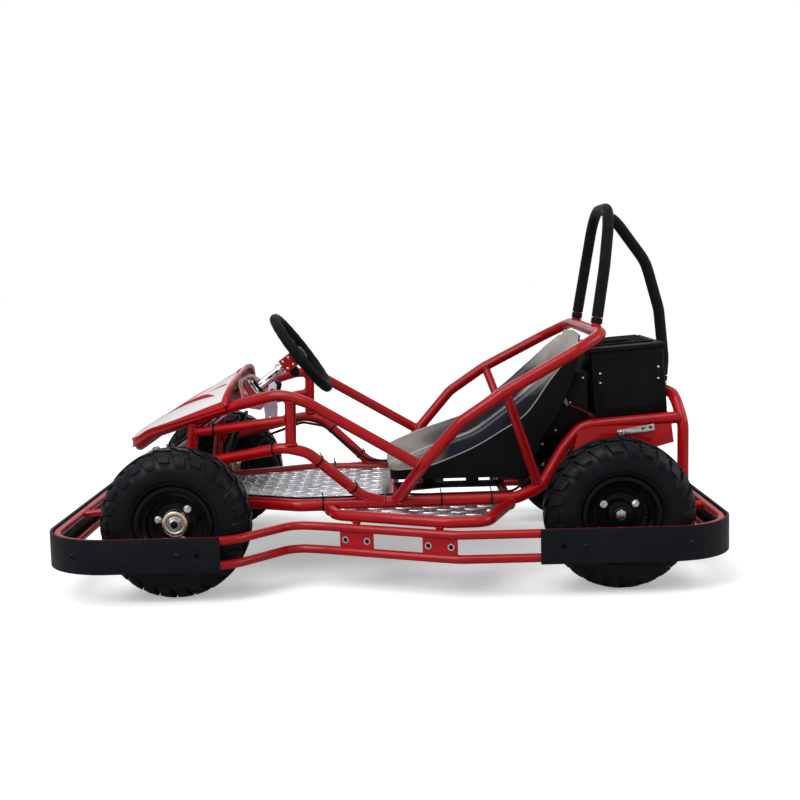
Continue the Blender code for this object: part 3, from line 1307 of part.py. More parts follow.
def build_battery():
    # Tray between the rack rails, an open-topped box on it, the battery inside and a ribbed lid
    wall = BOX_WALL
    tray = on_rack("rack_tray", (BOX_LENGTH + 0.016, 2.0 * RACK_Y, TRAY_THICKNESS),
                   (0.0, 0.0, -CLEARANCE - TRAY_THICKNESS / 2.0), red_paint("tray"))
    cope(tray, "main_rail", right=("main_rail",))
    blank = BOX_HEIGHT + BOX_EDGE
    shell = on_rack("battery_box", (BOX_LENGTH, BOX_WIDTH, blank), (0.0, 0.0, blank / 2.0),
                    black_plastic("box"), BOX_EDGE)
    cut(shell, on_rack("hollow", (BOX_LENGTH - 2.0 * wall, BOX_WIDTH - 2.0 * wall, BOX_HEIGHT),
                       (0.0, 0.0, BOX_HEIGHT / 2.0 + wall)),
        on_rack("trim", (1.0, 1.0, BOX_EDGE * 2.0), (0.0, 0.0, BOX_HEIGHT + BOX_EDGE)))
    shade(shell)
    top = BOX_HEIGHT + CLEARANCE
    lid = on_rack("battery_lid", (BOX_LENGTH + 0.010, BOX_WIDTH + 0.010, LID_HEIGHT),
                  (0.0, 0.0, top + LID_HEIGHT / 2.0), black_plastic("lid"), 0.003)
    for index in range(LID_RIBS):
        y = (index - (LID_RIBS - 1) / 2.0) * LID_RIB_PITCH
        join(lid, on_rack("rib", (BOX_LENGTH - 0.030, 0.008, 0.006), (0.0, y, top + LID_HEIGHT + 0.002)))
    shade(lid)
    pack_height = BOX_HEIGHT - wall - 0.012
    on_rack("battery_pack", (BOX_LENGTH - 2.0 * wall - 0.006, BOX_WIDTH - 2.0 * wall - 0.012, pack_height),
            (0.0, 0.0, wall + CLEARANCE + pack_height / 2.0), material("pack_wrap", PACK_GREY, 0.5, 0.0))


def build_controller_box():
    # A wedge between the seat back and the battery box, let in between the rails by two ears
    outline = [(CONTROLLER_REAR_X, CONTROLLER_BOTTOM), (CONTROLLER_FRONT_LOW_X, CONTROLLER_BOTTOM),
               (CONTROLLER_FRONT_HIGH_X, CONTROLLER_TOP), (CONTROLLER_REAR_X, CONTROLLER_TOP)]
    wedge = side_plate("controller_box", outline, 2.0 * CONTROLLER_HALF_WIDTH, CONTROLLER_HALF_WIDTH,
                       black_plastic("controller"))
    edge = wedge.modifiers.new("Bevel", "BEVEL")
    edge.width = CONTROLLER_BEVEL
    edge.segments = 1
    apply_modifiers(wedge)
    join(wedge, box("ears", (CONTROLLER_EAR_LENGTH, 2.0 * RACK_Y, CONTROLLER_EAR_THICKNESS),
                    (CONTROLLER_EAR_X, 0.0, CONTROLLER_EAR_Z)))
    cope(wedge, "main_rail", right=("main_rail",))


def interpolate(points, share):
    # The point a given share of the way through a list of equally spaced stations
    spot = share * (len(points) - 1)
    index = min(int(spot), len(points) - 2)
    return Vector(points[index]).lerp(Vector(points[index + 1]), spot - index)


def skin(name, rows, wall, finish):
    # An open sheet through rows of points, given its wall thickness with Solidify
    shape = bmesh.new()
    grid = [[shape.verts.new(point) for point in row] for row in rows]
    for row, following in zip(grid, grid[1:]):
        for index in range(len(row) - 1):
            shape.faces.new((row[index], row[index + 1], following[index + 1], following[index]))
    made = bmesh_object(name, shape, finish)
    thicken = made.modifiers.new("Wall", "SOLIDIFY")
    thicken.thickness = wall
    thicken.offset = 0.0
    thicken.use_rim = True
    thicken.use_even_offset = True
    return shade(apply_modifiers(made))


def build_seat():
    # A moulded bucket: pan and back in one sweep, walls up to a rim that rolls over, and a skirt down outside
    rows = []
    for (cx, cz), (rx, rz), (fx, fz), (kx, kz) in SEAT_STATIONS:
        half = [
            (cx, 0.0, cz), (cx, SEAT_HALF * 0.62, cz + SEAT_WALL), (0.65 * cx + 0.35 * rx, SEAT_HALF * 0.86,
                                                                    0.65 * cz + 0.35 * rz),
            (rx, SEAT_HALF, rz - 0.006), (rx, SEAT_HALF + 0.012, rz), ((rx + fx) / 2.0, SEAT_FLANGE_Y - 0.004,
                                                                       rz - 0.004),
            (fx, SEAT_FLANGE_Y, fz), (kx, SEAT_SKIRT_Y, kz),
        ]
        rows.append([(x, -y, z) for x, y, z in reversed(half[1:])] + half)
    shell = skin("seat_shell", rows, SEAT_WALL, black_plastic("seat"))
    place(shell, REAR_AXLE_X, 0.0, 0.0)


def build_cowl():
    # The nose: a thin cover from an arch at the dash down to the top rail's bend
    edge = [point for point in PATHS["top_rail"] if point.x > COWL_REAR_X and point.y > 0.0]
    edge.insert(0, Vector(point_at(TOP_RAIL, COWL_REAR_X)))
    outside = []
    for index, point in enumerate(edge):
        ahead = edge[min(index + 1, len(edge) - 1)] - edge[max(index - 1, 0)]
        normal = Vector((-ahead.y, ahead.x, 0.0)).normalized()
        outside.append(point + normal * (RAIL_TUBE + COWL_GAP))
    rows = []
    for index in range(COWL_ROWS):
        share = index / (COWL_ROWS - 1)
        corner = along_path(outside, share)
        shoulder = corner.z + RAIL_TUBE + COWL_GAP
        ridge = interpolate(COWL_RIDGE, share)
        row = [(corner.x, -corner.y, corner.z)]
        for step in range(-COWL_STEPS, COWL_STEPS + 1):
            part = step / COWL_STEPS
            rise = (1.0 - abs(part) ** COWL_POWER) ** (1.0 / COWL_POWER)
            x = corner.x + (ridge.x - corner.x) * (1.0 - part * part)
            row.append((x, corner.y * part, shoulder + (ridge.z - shoulder) * rise))
        row.append((corner.x, corner.y, corner.z))
        rows.append(row)
    skin("cowl", rows, COWL_WALL, material("cowl_white", COWL_WHITE, 0.3, 0.0))


def along_path(points, share):
    # The point a given share of the way along a polyline by length
    lengths = [(end - start).length for start, end in zip(points, points[1:])]
    left = share * sum(lengths)
    for (start, end), length in zip(zip(points, points[1:]), lengths):
        if left <= length:
            return start.lerp(end, left / length)
        left -= length
    return points[-1].copy()


def build_pedal(name):
    # A sleeve on the pivot pin, a round arm and a wide pad that leans back towards the foot
    pivot = Vector((PEDAL_PIVOT_X, PEDAL_Y, PEDAL_PIVOT_Z))
    pad_at = Vector((PEDAL_PAD_X, PEDAL_Y, PEDAL_PAD_Z))
    lean = math.atan2(pad_at.x - pivot.x, pad_at.z - pivot.z)
    half = Vector((0.0, LUG_Y - LUG_THICKNESS / 2.0 - 0.001, 0.0))
    pedal = rod(name, pivot - half, pivot + half, 0.0105, black_plastic("pedal"), 14)
    arm = rod("arm", pivot, pad_at, 0.006, sides=8)
    pad = box("pad", (0.009, 0.062, 0.072), (0.0, 0.0, 0.0), None, 0.002)
    place(pad, *pad_at, Matrix.Rotation(lean, 3, "Y"))
    join(pedal, arm, pad)
    cut(pedal, rod("bore", (pivot.x, 0.0, pivot.z), (pivot.x, 0.3, pivot.z), clear_bore(PEDAL_PIN, 10),
                   sides=10))
    return shade(pedal)


def build_pedals():
    brake = build_pedal("brake_pedal")
    mirrored(brake, "accelerator_pedal")


def build_cable():
    # The brake cable, clipped along the left rail from the pedal to the caliper
    along = [(x, point_at(MAIN_RAIL, x)[1] - inwards, z) for x, inwards, z in CABLE_ON_RAIL]
    line = [CABLE_FRONT_END] + along + CABLE_REAR_END
    tube("brake_cable", rounded_path(line, CABLE_BEND), CABLE_RADIUS, black_rubber("cable"))


def build_switch():
    # A bent metal bracket on the left strut with a rocker switch that faces the rider
    strip = side_plate("switch_bracket", SWITCH_OUTLINE, 0.003, SWITCH_Y, bare_steel("bracket"))
    turn = Matrix.Rotation(math.radians(-24.0), 3, "Y")
    switch = box("switch", (0.014, 0.020, 0.026), (0.0, 0.0, 0.0), None, 0.002)
    place(switch, SWITCH_OUTLINE[0][0] - 0.004, SWITCH_Y - 0.010, SWITCH_OUTLINE[0][1] - 0.010, turn)
    spot = point_at(STRUT_LINE, SWITCH_BOLT_X)
    bolt = rod("bolt", (spot[0], SWITCH_Y - 0.004, spot[2]), (spot[0], spot[1], spot[2]), 0.004, sides=8)
    join(strip, switch, bolt)
    cope(strip, "strut")


def axis_points():
    # A point on the joint axis of every moving piece, by name
    steering = {"steering_wheel": STEER_CENTRE, "steering_column": STEER_CENTRE}
    rear = Vector((REAR_AXLE_X, 0.0, TYRE_RADIUS))
    points = dict(steering, rear_axle=rear, driven_sprocket=rear, brake_disc=rear)
    points["motor_sprocket"] = Vector((MOTOR_X, SPROCKET_Y, MOTOR_Z))
    for side, word in ((1.0, "left"), (-1.0, "right")):
        points[word + "_knuckle"] = Vector((FRONT_AXLE_X, side * KINGPIN_Y, TYRE_RADIUS))
        points[word + "_tie_rod"] = Vector((FRONT_AXLE_X + KNUCKLE_ARM, side * KINGPIN_Y, TIE_END_Z))
        for piece in ("hub", "rim", "tyre"):
            points["front_" + word + "_" + piece] = Vector((FRONT_AXLE_X, side * FRONT_WHEEL_Y, TYRE_RADIUS))
        for piece in ("rim", "tyre"):
            points["rear_" + word + "_" + piece] = Vector((REAR_AXLE_X, side * REAR_WHEEL_Y, TYRE_RADIUS))
    for side, piece in ((1.0, "brake_pedal"), (-1.0, "accelerator_pedal")):
        points[piece] = Vector((PEDAL_PIVOT_X, side * PEDAL_Y, PEDAL_PIVOT_Z))
    return points


def finish_pieces():
    # Every piece gets a material of its own, and a moving one its origin on its joint's axis
    points = axis_points()
    for item in bpy.data.collections[PARTS].objects:
        own = item.data.materials[0].copy()
        own.name = item.name + "_finish"
        item.data.materials.clear()
        item.data.materials.append(own)
        if item.name in points:
            item.data.transform(Matrix.Translation(-points[item.name]))
            item.location = points[item.name]


def main():
    clear_scene()
    build_frame()
    build_roll_bar()
    build_bumper()
    build_floor()
    build_front_beam()
    side_pair("knuckle", build_knuckle)
    build_wheels()
    build_rear_axle()
    build_steering()
    build_column_supports()
    side_pair("tie_rod", build_tie_rod)
    build_sprockets()
    build_motor()
    build_chain()
    build_caliper()
    build_battery()
    build_controller_box()
    build_seat()
    build_cowl()
    build_pedals()
    build_cable()
    build_switch()
    finish_pieces()


main()
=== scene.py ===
"""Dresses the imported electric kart: every sub-assembly is modelled and finished around the frame.

The frame's +X is the nose, +Y the rider's left and +Z up, in metres.
"""

import logging
import random
from contextlib import contextmanager
from dataclasses import dataclass, field
from enum import Enum
from math import acos, atan2, ceil, copysign, cos, floor, hypot, pi, radians, sin, sqrt, tan
from typing import Callable, Iterator, Optional, Sequence

import bmesh
import bpy
from mathutils import Matrix, Vector


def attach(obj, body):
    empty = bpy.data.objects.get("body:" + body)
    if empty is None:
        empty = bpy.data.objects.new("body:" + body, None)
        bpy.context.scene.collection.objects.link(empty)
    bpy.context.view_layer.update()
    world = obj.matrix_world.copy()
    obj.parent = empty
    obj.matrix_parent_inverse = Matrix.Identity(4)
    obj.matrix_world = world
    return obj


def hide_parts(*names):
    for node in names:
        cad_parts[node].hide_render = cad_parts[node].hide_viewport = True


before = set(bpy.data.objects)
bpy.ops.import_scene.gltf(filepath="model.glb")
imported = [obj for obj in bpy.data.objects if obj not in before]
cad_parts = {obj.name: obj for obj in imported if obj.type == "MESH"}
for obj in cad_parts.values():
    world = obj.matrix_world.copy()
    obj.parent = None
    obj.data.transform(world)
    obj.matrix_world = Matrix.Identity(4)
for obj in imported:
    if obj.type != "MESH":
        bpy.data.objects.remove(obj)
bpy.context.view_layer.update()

LOG = logging.getLogger("kart")
Piece = bpy.types.Object
Socket = bpy.types.NodeSocket
Point = Sequence[float]
Spot = tuple[float, float]
Outline = Sequence[Spot]
Hole = tuple[float, float, float]
Colour = tuple[float, float, float, float]
FULL_TURN = 2.0 * pi
QUARTER = pi / 2.0
UP = (0.0, 0.0, 1.0)

# Places shared by several sub-assemblies
FRONT_AXLE_X = 0.4665
REAR_AXLE_X = -0.5035
WHEEL_Z = 0.165
FRONT_WHEEL_Y = 0.362
REAR_WHEEL_Y = 0.372
KINGPIN_Y = 0.262
RAIL_Z = 0.175
RACK_Y = 0.19
ARCH_X = -0.685
SPROCKET_Y = -0.095
DISC_Y = 0.11
MOTOR_AT = Vector((-0.4, 0.0, 0.245))
STEER_CENTRE = Vector((0.2095, 0.0, 0.505))
STEER_TILT = radians(36.0)


class Side(Enum):
    """The rider's side that a piece belongs to; the value is the sign of its Y."""

    LEFT = 1.0
    RIGHT = -1.0

    @property
    def word(self) -> str:
        """The side as it stands in the names of nodes."""
        return self.name.lower()


SIDES = (Side.LEFT, Side.RIGHT)


# Finishes


class Sketch:
    """One material's node tree, with short names for the nodes that the finishes share."""

    def __init__(self, name: str) -> None:
        """Start a material with a Principled shader and Object coordinates.

        Args:
            name: the material's name.
        """
        self.material = bpy.data.materials.new(name)
        self.material.use_nodes = True
        self.nodes = self.material.node_tree.nodes
        self.links = self.material.node_tree.links
        self.shader = self.nodes["Principled BSDF"]
        self.coordinates = self.nodes.new("ShaderNodeTexCoord")

    def set(self, **values: float) -> None:
        """Put plain numbers and colours on the shader's own sockets; underscores stand for spaces."""
        for key, value in values.items():
            self.shader.inputs[key.replace("_", " ")].default_value = value

    def place(self, scale: Point = (1.0, 1.0, 1.0), location: Point = (0.0, 0.0, 0.0)) -> Socket:
        """Object coordinates, stretched and moved.

        Args:
            scale: stretch along each axis.
            location: offset of the pattern.

        Returns:
            The vector socket.
        """
        mapping = self.nodes.new("ShaderNodeMapping")
        mapping.inputs["Scale"].default_value = scale
        mapping.inputs["Location"].default_value = location
        self.links.new(self.coordinates.outputs["Object"], mapping.inputs["Vector"])
        return mapping.outputs["Vector"]

    def noise(self, scale: float, detail: float = 3.0, stretch: Point = (1.0, 1.0, 1.0)) -> Socket:
        """Noise over the piece; scale is in waves a metre."""
        node = self.nodes.new("ShaderNodeTexNoise")
        node.inputs["Scale"].default_value = scale
        node.inputs["Detail"].default_value = detail
        self.links.new(self.place(stretch), node.inputs["Vector"])
        return node.outputs["Fac"]

    def cells(self, scale: float, feature: str = "F1") -> Socket:
        """Distance to the middle of the nearest cell; scale is in cells a metre."""
        node = self.nodes.new("ShaderNodeTexVoronoi")
        node.feature = feature
        node.inputs["Scale"].default_value = scale
        self.links.new(self.place(), node.inputs["Vector"])
        return node.outputs["Distance"]

    def math(self, operation: str, first: object, second: object = 0.5) -> Socket:
        """A Math node on sockets or plain numbers."""
        node = self.nodes.new("ShaderNodeMath")
        node.operation = operation
        for slot, value in zip(node.inputs, (first, second)):
            if isinstance(value, Socket):
                self.links.new(value, slot)
            else:
                slot.default_value = value
        return node.outputs[0]

    def band(self, socket: Socket, low: float, high: float, start: float = 0.0, end: float = 1.0) -> Socket:
        """Map a value that runs from low to high onto start to end, clamped.

        Args:
            socket: the value.
            low: the input that gives start.
            high: the input that gives end.
            start: output at low.
            end: output at high.

        Returns:
            The mapped value's socket.
        """
        node = self.nodes.new("ShaderNodeMapRange")
        for key, value in (("From Min", low), ("From Max", high), ("To Min", start), ("To Max", end)):
            node.inputs[key].default_value = value
        self.links.new(socket, node.inputs["Value"])
        return node.outputs["Result"]

    def blend(self, share: object, first: Colour, second: object) -> Socket:
        """Mix two colours; the second may be a socket."""
        node = self.nodes.new("ShaderNodeMix")
        node.data_type = "RGBA"
        if isinstance(share, Socket):
            self.links.new(share, node.inputs["Factor"])
        else:
            node.inputs["Factor"].default_value = share
        for key, value in ((6, first), (7, second)):
            if isinstance(value, Socket):
                self.links.new(value, node.inputs[key])
            else:
                node.inputs[key].default_value = value
        return node.outputs[2]

    def drive(self, key: str, socket: Socket) -> None:
        """Let a pattern drive one of the shader's sockets."""
        self.links.new(socket, self.shader.inputs[key])

    def bump(self, height: Socket, strength: float, distance: float) -> None:
        """Raise the surface by a height pattern; later calls add to earlier ones.

        Args:
            height: the pattern.
            strength: share of the effect.
            distance: height in metres of a full step.
        """
        node = self.nodes.new("ShaderNodeBump")
        node.inputs["Strength"].default_value = strength
        node.inputs["Distance"].default_value = distance
        self.links.new(height, node.inputs["Height"])
        before = self.shader.inputs["Normal"]
        if before.is_linked:
            self.links.new(before.links[0].from_socket, node.inputs["Normal"])
        self.links.new(node.outputs["Normal"], before)


class Finish:
    """A surface finish; each kind builds its own node tree once and hands it to every piece."""

    name: str

    def material(self) -> bpy.types.Material:
        """The finish's material, made at its first use."""
        found = bpy.data.materials.get(self.name)
        if found:
            return found
        sketch = Sketch(self.name)
        self.paint(sketch)
        return sketch.material

    def paint(self, sketch: Sketch) -> None:
        """Draw the node tree."""
        raise NotImplementedError


@dataclass(frozen=True)
class GlossPaint(Finish):
    """Stoved paint under a clear coat, with a faint orange peel and a little road dust."""

    name: str
    colour: Colour
    shade: Colour
    roughness: float = 0.32
    coat: float = 1.0
    peel: float = 0.00003
    gloss: float = 0.4

    def paint(self, sketch: Sketch) -> None:
        """Two close tones, peel in the coat and a dull film where dust lies."""
        sketch.set(Coat_Weight=self.coat, Coat_Roughness=0.08, Specular_IOR_Level=self.gloss)
        tone = sketch.band(sketch.noise(7.0, 4.0), 0.35, 0.65)
        sketch.drive("Base Color", sketch.blend(tone, self.colour, self.shade))
        film = sketch.band(sketch.noise(38.0, 6.0), 0.45, 0.75, self.roughness, self.roughness + 0.22)
        sketch.drive("Roughness", film)
        sketch.bump(sketch.noise(620.0, 2.0), 0.35, self.peel)


@dataclass(frozen=True)
class Rubber(Finish):
    """Moulded rubber: deep black, fine grain, and grey bloom in patches."""

    name: str
    colour: Colour = (0.01, 0.011, 0.013, 1.0)
    bloom: Colour = (0.03, 0.034, 0.042, 1.0)
    roughness: float = 0.52
    grain: float = 0.00012

    def paint(self, sketch: Sketch) -> None:
        """Bloom in broad patches over a fine grain."""
        sketch.set(Specular_IOR_Level=0.14)
        patch = sketch.band(sketch.noise(16.0, 6.0), 0.42, 0.72)
        sketch.drive("Base Color", sketch.blend(patch, self.colour, self.bloom))
        sketch.drive("Roughness", sketch.band(sketch.noise(55.0, 4.0), 0.3, 0.7, self.roughness - 0.08, self.roughness
            + 0.12))
        sketch.bump(sketch.noise(900.0, 2.0), 0.5, self.grain)


@dataclass(frozen=True)
class Foam(Finish):
    """Closed-cell foam sleeve: matt black skin with open pores."""

    name: str
    colour: Colour = (0.0028, 0.0028, 0.0033, 1.0)

    def paint(self, sketch: Sketch) -> None:
        """Pores as small pits, with a slow swell under them."""
        sketch.set(Base_Color=self.colour, Sheen_Weight=0.02, Sheen_Roughness=0.6, Specular_IOR_Level=0.14)
        sketch.drive("Roughness", sketch.band(sketch.noise(80.0, 3.0), 0.3, 0.7, 0.62, 0.86))
        sketch.bump(sketch.cells(520.0), 0.8, 0.0005)
        sketch.bump(sketch.noise(45.0, 2.0), 0.4, 0.0008)


@dataclass(frozen=True)
class Plastic(Finish):
    """Injection-moulded plastic with a spark-eroded grain and scuffs."""

    name: str
    colour: Colour
    roughness: float = 0.42
    grain_scale: float = 700.0
    grain: float = 0.00008
    scuff: float = 0.16

    def paint(self, sketch: Sketch) -> None:
        """Grain all over and long faint scuffs in the gloss."""
        sketch.set(Specular_IOR_Level=0.14)
        rubbed = tuple(0.82 * part + 0.003 for part in self.colour[:3]) + (1.0,)
        wear_and_sheen = sketch.band(sketch.noise(24.0, 7.0, (1.0, 0.35, 1.0)), 0.5, 0.78)
        sketch.drive("Base Color", sketch.blend(wear_and_sheen, self.colour, rubbed))
        sketch.drive("Roughness", sketch.band(sketch.noise(60.0, 6.0, (1.0, 0.2, 1.0)), 0.4, 0.75, self.roughness,
            self.roughness + self.scuff))
        sketch.bump(sketch.noise(self.grain_scale, 2.0), 0.5, self.grain)


@dataclass(frozen=True)
class SeatSkin(Finish):
    """Glossy moulded seat skin: near black in the fold, with a painted grey sheen, a painted reflection, at lip and
    head.
    """

    name: str
    wear_and_sheen: Colour
    deep: Colour

    def paint(self, sketch: Sketch) -> None:
        """Broad soft tones along the seat under a thin gloss; the grey at lip and head is painted reflection."""
        parts = sketch.nodes.new("ShaderNodeSeparateXYZ")
        sketch.links.new(sketch.coordinates.outputs["Object"], parts.inputs[0])
        cloud = sketch.band(sketch.noise(9.0, 3.0, (1.0, 0.5, 1.0)), 0.3, 0.7, -0.03, 0.03)
        # Painted sheen: grey reflection painted in by place, towards the front lip and up over the head.
        front = sketch.band(sketch.math("ADD", parts.outputs["X"], cloud), -0.165, 0.01, 0.0, 0.9)
        head = sketch.band(sketch.math("ADD", parts.outputs["Z"], cloud), 0.41, 0.5)
        sketch.drive("Base Color", sketch.blend(sketch.math("MAXIMUM", front, head), self.deep, self.wear_and_sheen))
        sketch.set(Coat_Weight=0.2, Coat_Roughness=0.12, Specular_IOR_Level=0.2)
        sketch.drive("Roughness", sketch.band(sketch.noise(50.0, 5.0, (1.0, 0.3, 1.0)), 0.35, 0.75, 0.26, 0.44))
        sketch.bump(sketch.noise(760.0, 2.0), 0.4, 0.00004)


@dataclass(frozen=True)
class Metal(Finish):
    """Bare or plated metal with drawn lines and a tint that drifts over the surface."""

    name: str
    colour: Colour
    tint: Colour
    roughness: float = 0.24
    lines: Point = (1.0, 1.0, 1.0)
    line_scale: float = 240.0
    depth: float = 0.00002

    def paint(self, sketch: Sketch) -> None:
        """Tint in clouds, lines in the roughness and as fine scratches."""
        sketch.set(Metallic=1.0)
        cloud = sketch.band(sketch.noise(60.0, 4.0), 0.35, 0.65)
        sketch.drive("Base Color", sketch.blend(cloud, self.colour, self.tint))
        drawn = sketch.noise(self.line_scale, 5.0, self.lines)
        sketch.drive("Roughness", sketch.band(drawn, 0.3, 0.7, self.roughness - 0.07, self.roughness + 0.12))
        sketch.bump(drawn, 0.4, self.depth)


RED = GlossPaint("red_paint", (0.42, 0.0014, 0.0055, 1.0), (0.34, 0.001, 0.004, 1.0), 0.3, 0.32, gloss=0.15)
BLACK_PAINT = GlossPaint("black_paint", (0.002, 0.002, 0.0024, 1.0), (0.0035, 0.0035, 0.0042, 1.0), 0.36, 0.12,
    0.00006, 0.12)
# Nose side panels: a pale panel colour that also stands for the lamps' glare on the glossy red cowl, a painted
# reflection.
WHITE_PANEL_AND_GLARE = GlossPaint("white_panel_and_glare", (0.82, 0.79, 0.79, 1.0), (0.79, 0.76, 0.76, 1.0), 0.3, 0.5)
LILAC_PAINT = GlossPaint("lilac_plate", (0.58, 0.54, 0.64, 1.0), (0.5, 0.47, 0.57, 1.0), 0.4, 0.3)
TYRE_RUBBER = Rubber("tyre_rubber", (0.0022, 0.0026, 0.0036, 1.0), (0.0052, 0.0066, 0.0096, 1.0), 0.4)
BAND_RUBBER = Rubber("band_rubber", (0.0026, 0.0038, 0.006, 1.0), (0.0048, 0.0068, 0.0102, 1.0), 0.46, 0.00018)
HOSE_RUBBER = Rubber("hose_rubber", (0.0022, 0.0022, 0.0026, 1.0), (0.0048, 0.0048, 0.0054, 1.0), 0.42, 0.00005)
# Pale grey: on the seat's edge bead it is a painted highlight; on the cell pack and the plug it is their own colour.
SEAT_EDGE = Rubber("seat_edge", (0.34, 0.33, 0.36, 1.0), (0.42, 0.41, 0.44, 1.0), 0.4, 0.00004)
FOAM = Foam("sleeve_foam")
GRIP = Foam("grip_foam", (0.0024, 0.0024, 0.0028, 1.0))
# Seat skin: its own near-black, with grey that is a painted reflection at lip and head.
SEAT_PLASTIC = SeatSkin("seat_plastic", (0.36, 0.335, 0.31, 1.0), (0.0034, 0.0054, 0.013, 1.0))
BOX_PLASTIC = Plastic("box_plastic", (0.0022, 0.0022, 0.0026, 1.0), 0.42, 500.0, 0.00016, 0.16)
PEDAL_PLASTIC = Plastic("pedal_plastic", (0.008, 0.008, 0.0085, 1.0), 0.5)
SWITCH_PLASTIC = Plastic("switch_plastic", (0.0045, 0.0045, 0.005, 1.0), 0.3)
STEEL = Metal("bright_steel", (0.7, 0.7, 0.72, 1.0), (0.56, 0.57, 0.6, 1.0), 0.24)
CHROME = Metal("drawn_steel_tube", (0.82, 0.81, 0.84, 1.0), (0.7, 0.68, 0.73, 1.0), 0.16, (0.06, 1.0, 0.08), 500.0)
ALLOY = Metal("tread_alloy", (0.86, 0.87, 0.89, 1.0), (0.66, 0.68, 0.72, 1.0), 0.26, (1.0, 0.12, 1.0), 320.0, 0.00004)
TREAD_SHEET = Metal("tread_sheet", (0.46, 0.46, 0.49, 1.0), (0.3, 0.3, 0.33, 1.0), 0.34, (1.0, 0.12, 1.0), 320.0,
    0.00004)
ZINC = Metal("yellow_zinc", (0.78, 0.68, 0.42, 1.0), (0.7, 0.6, 0.56, 1.0), 0.26)
DARK_STEEL = Metal("oiled_steel", (0.16, 0.15, 0.15, 1.0), (0.24, 0.22, 0.2, 1.0), 0.36)
CAST = Metal("cast_alloy", (0.48, 0.48, 0.49, 1.0), (0.36, 0.36, 0.38, 1.0), 0.42, (1.0, 1.0, 1.0), 900.0, 0.0001)


# Workbench


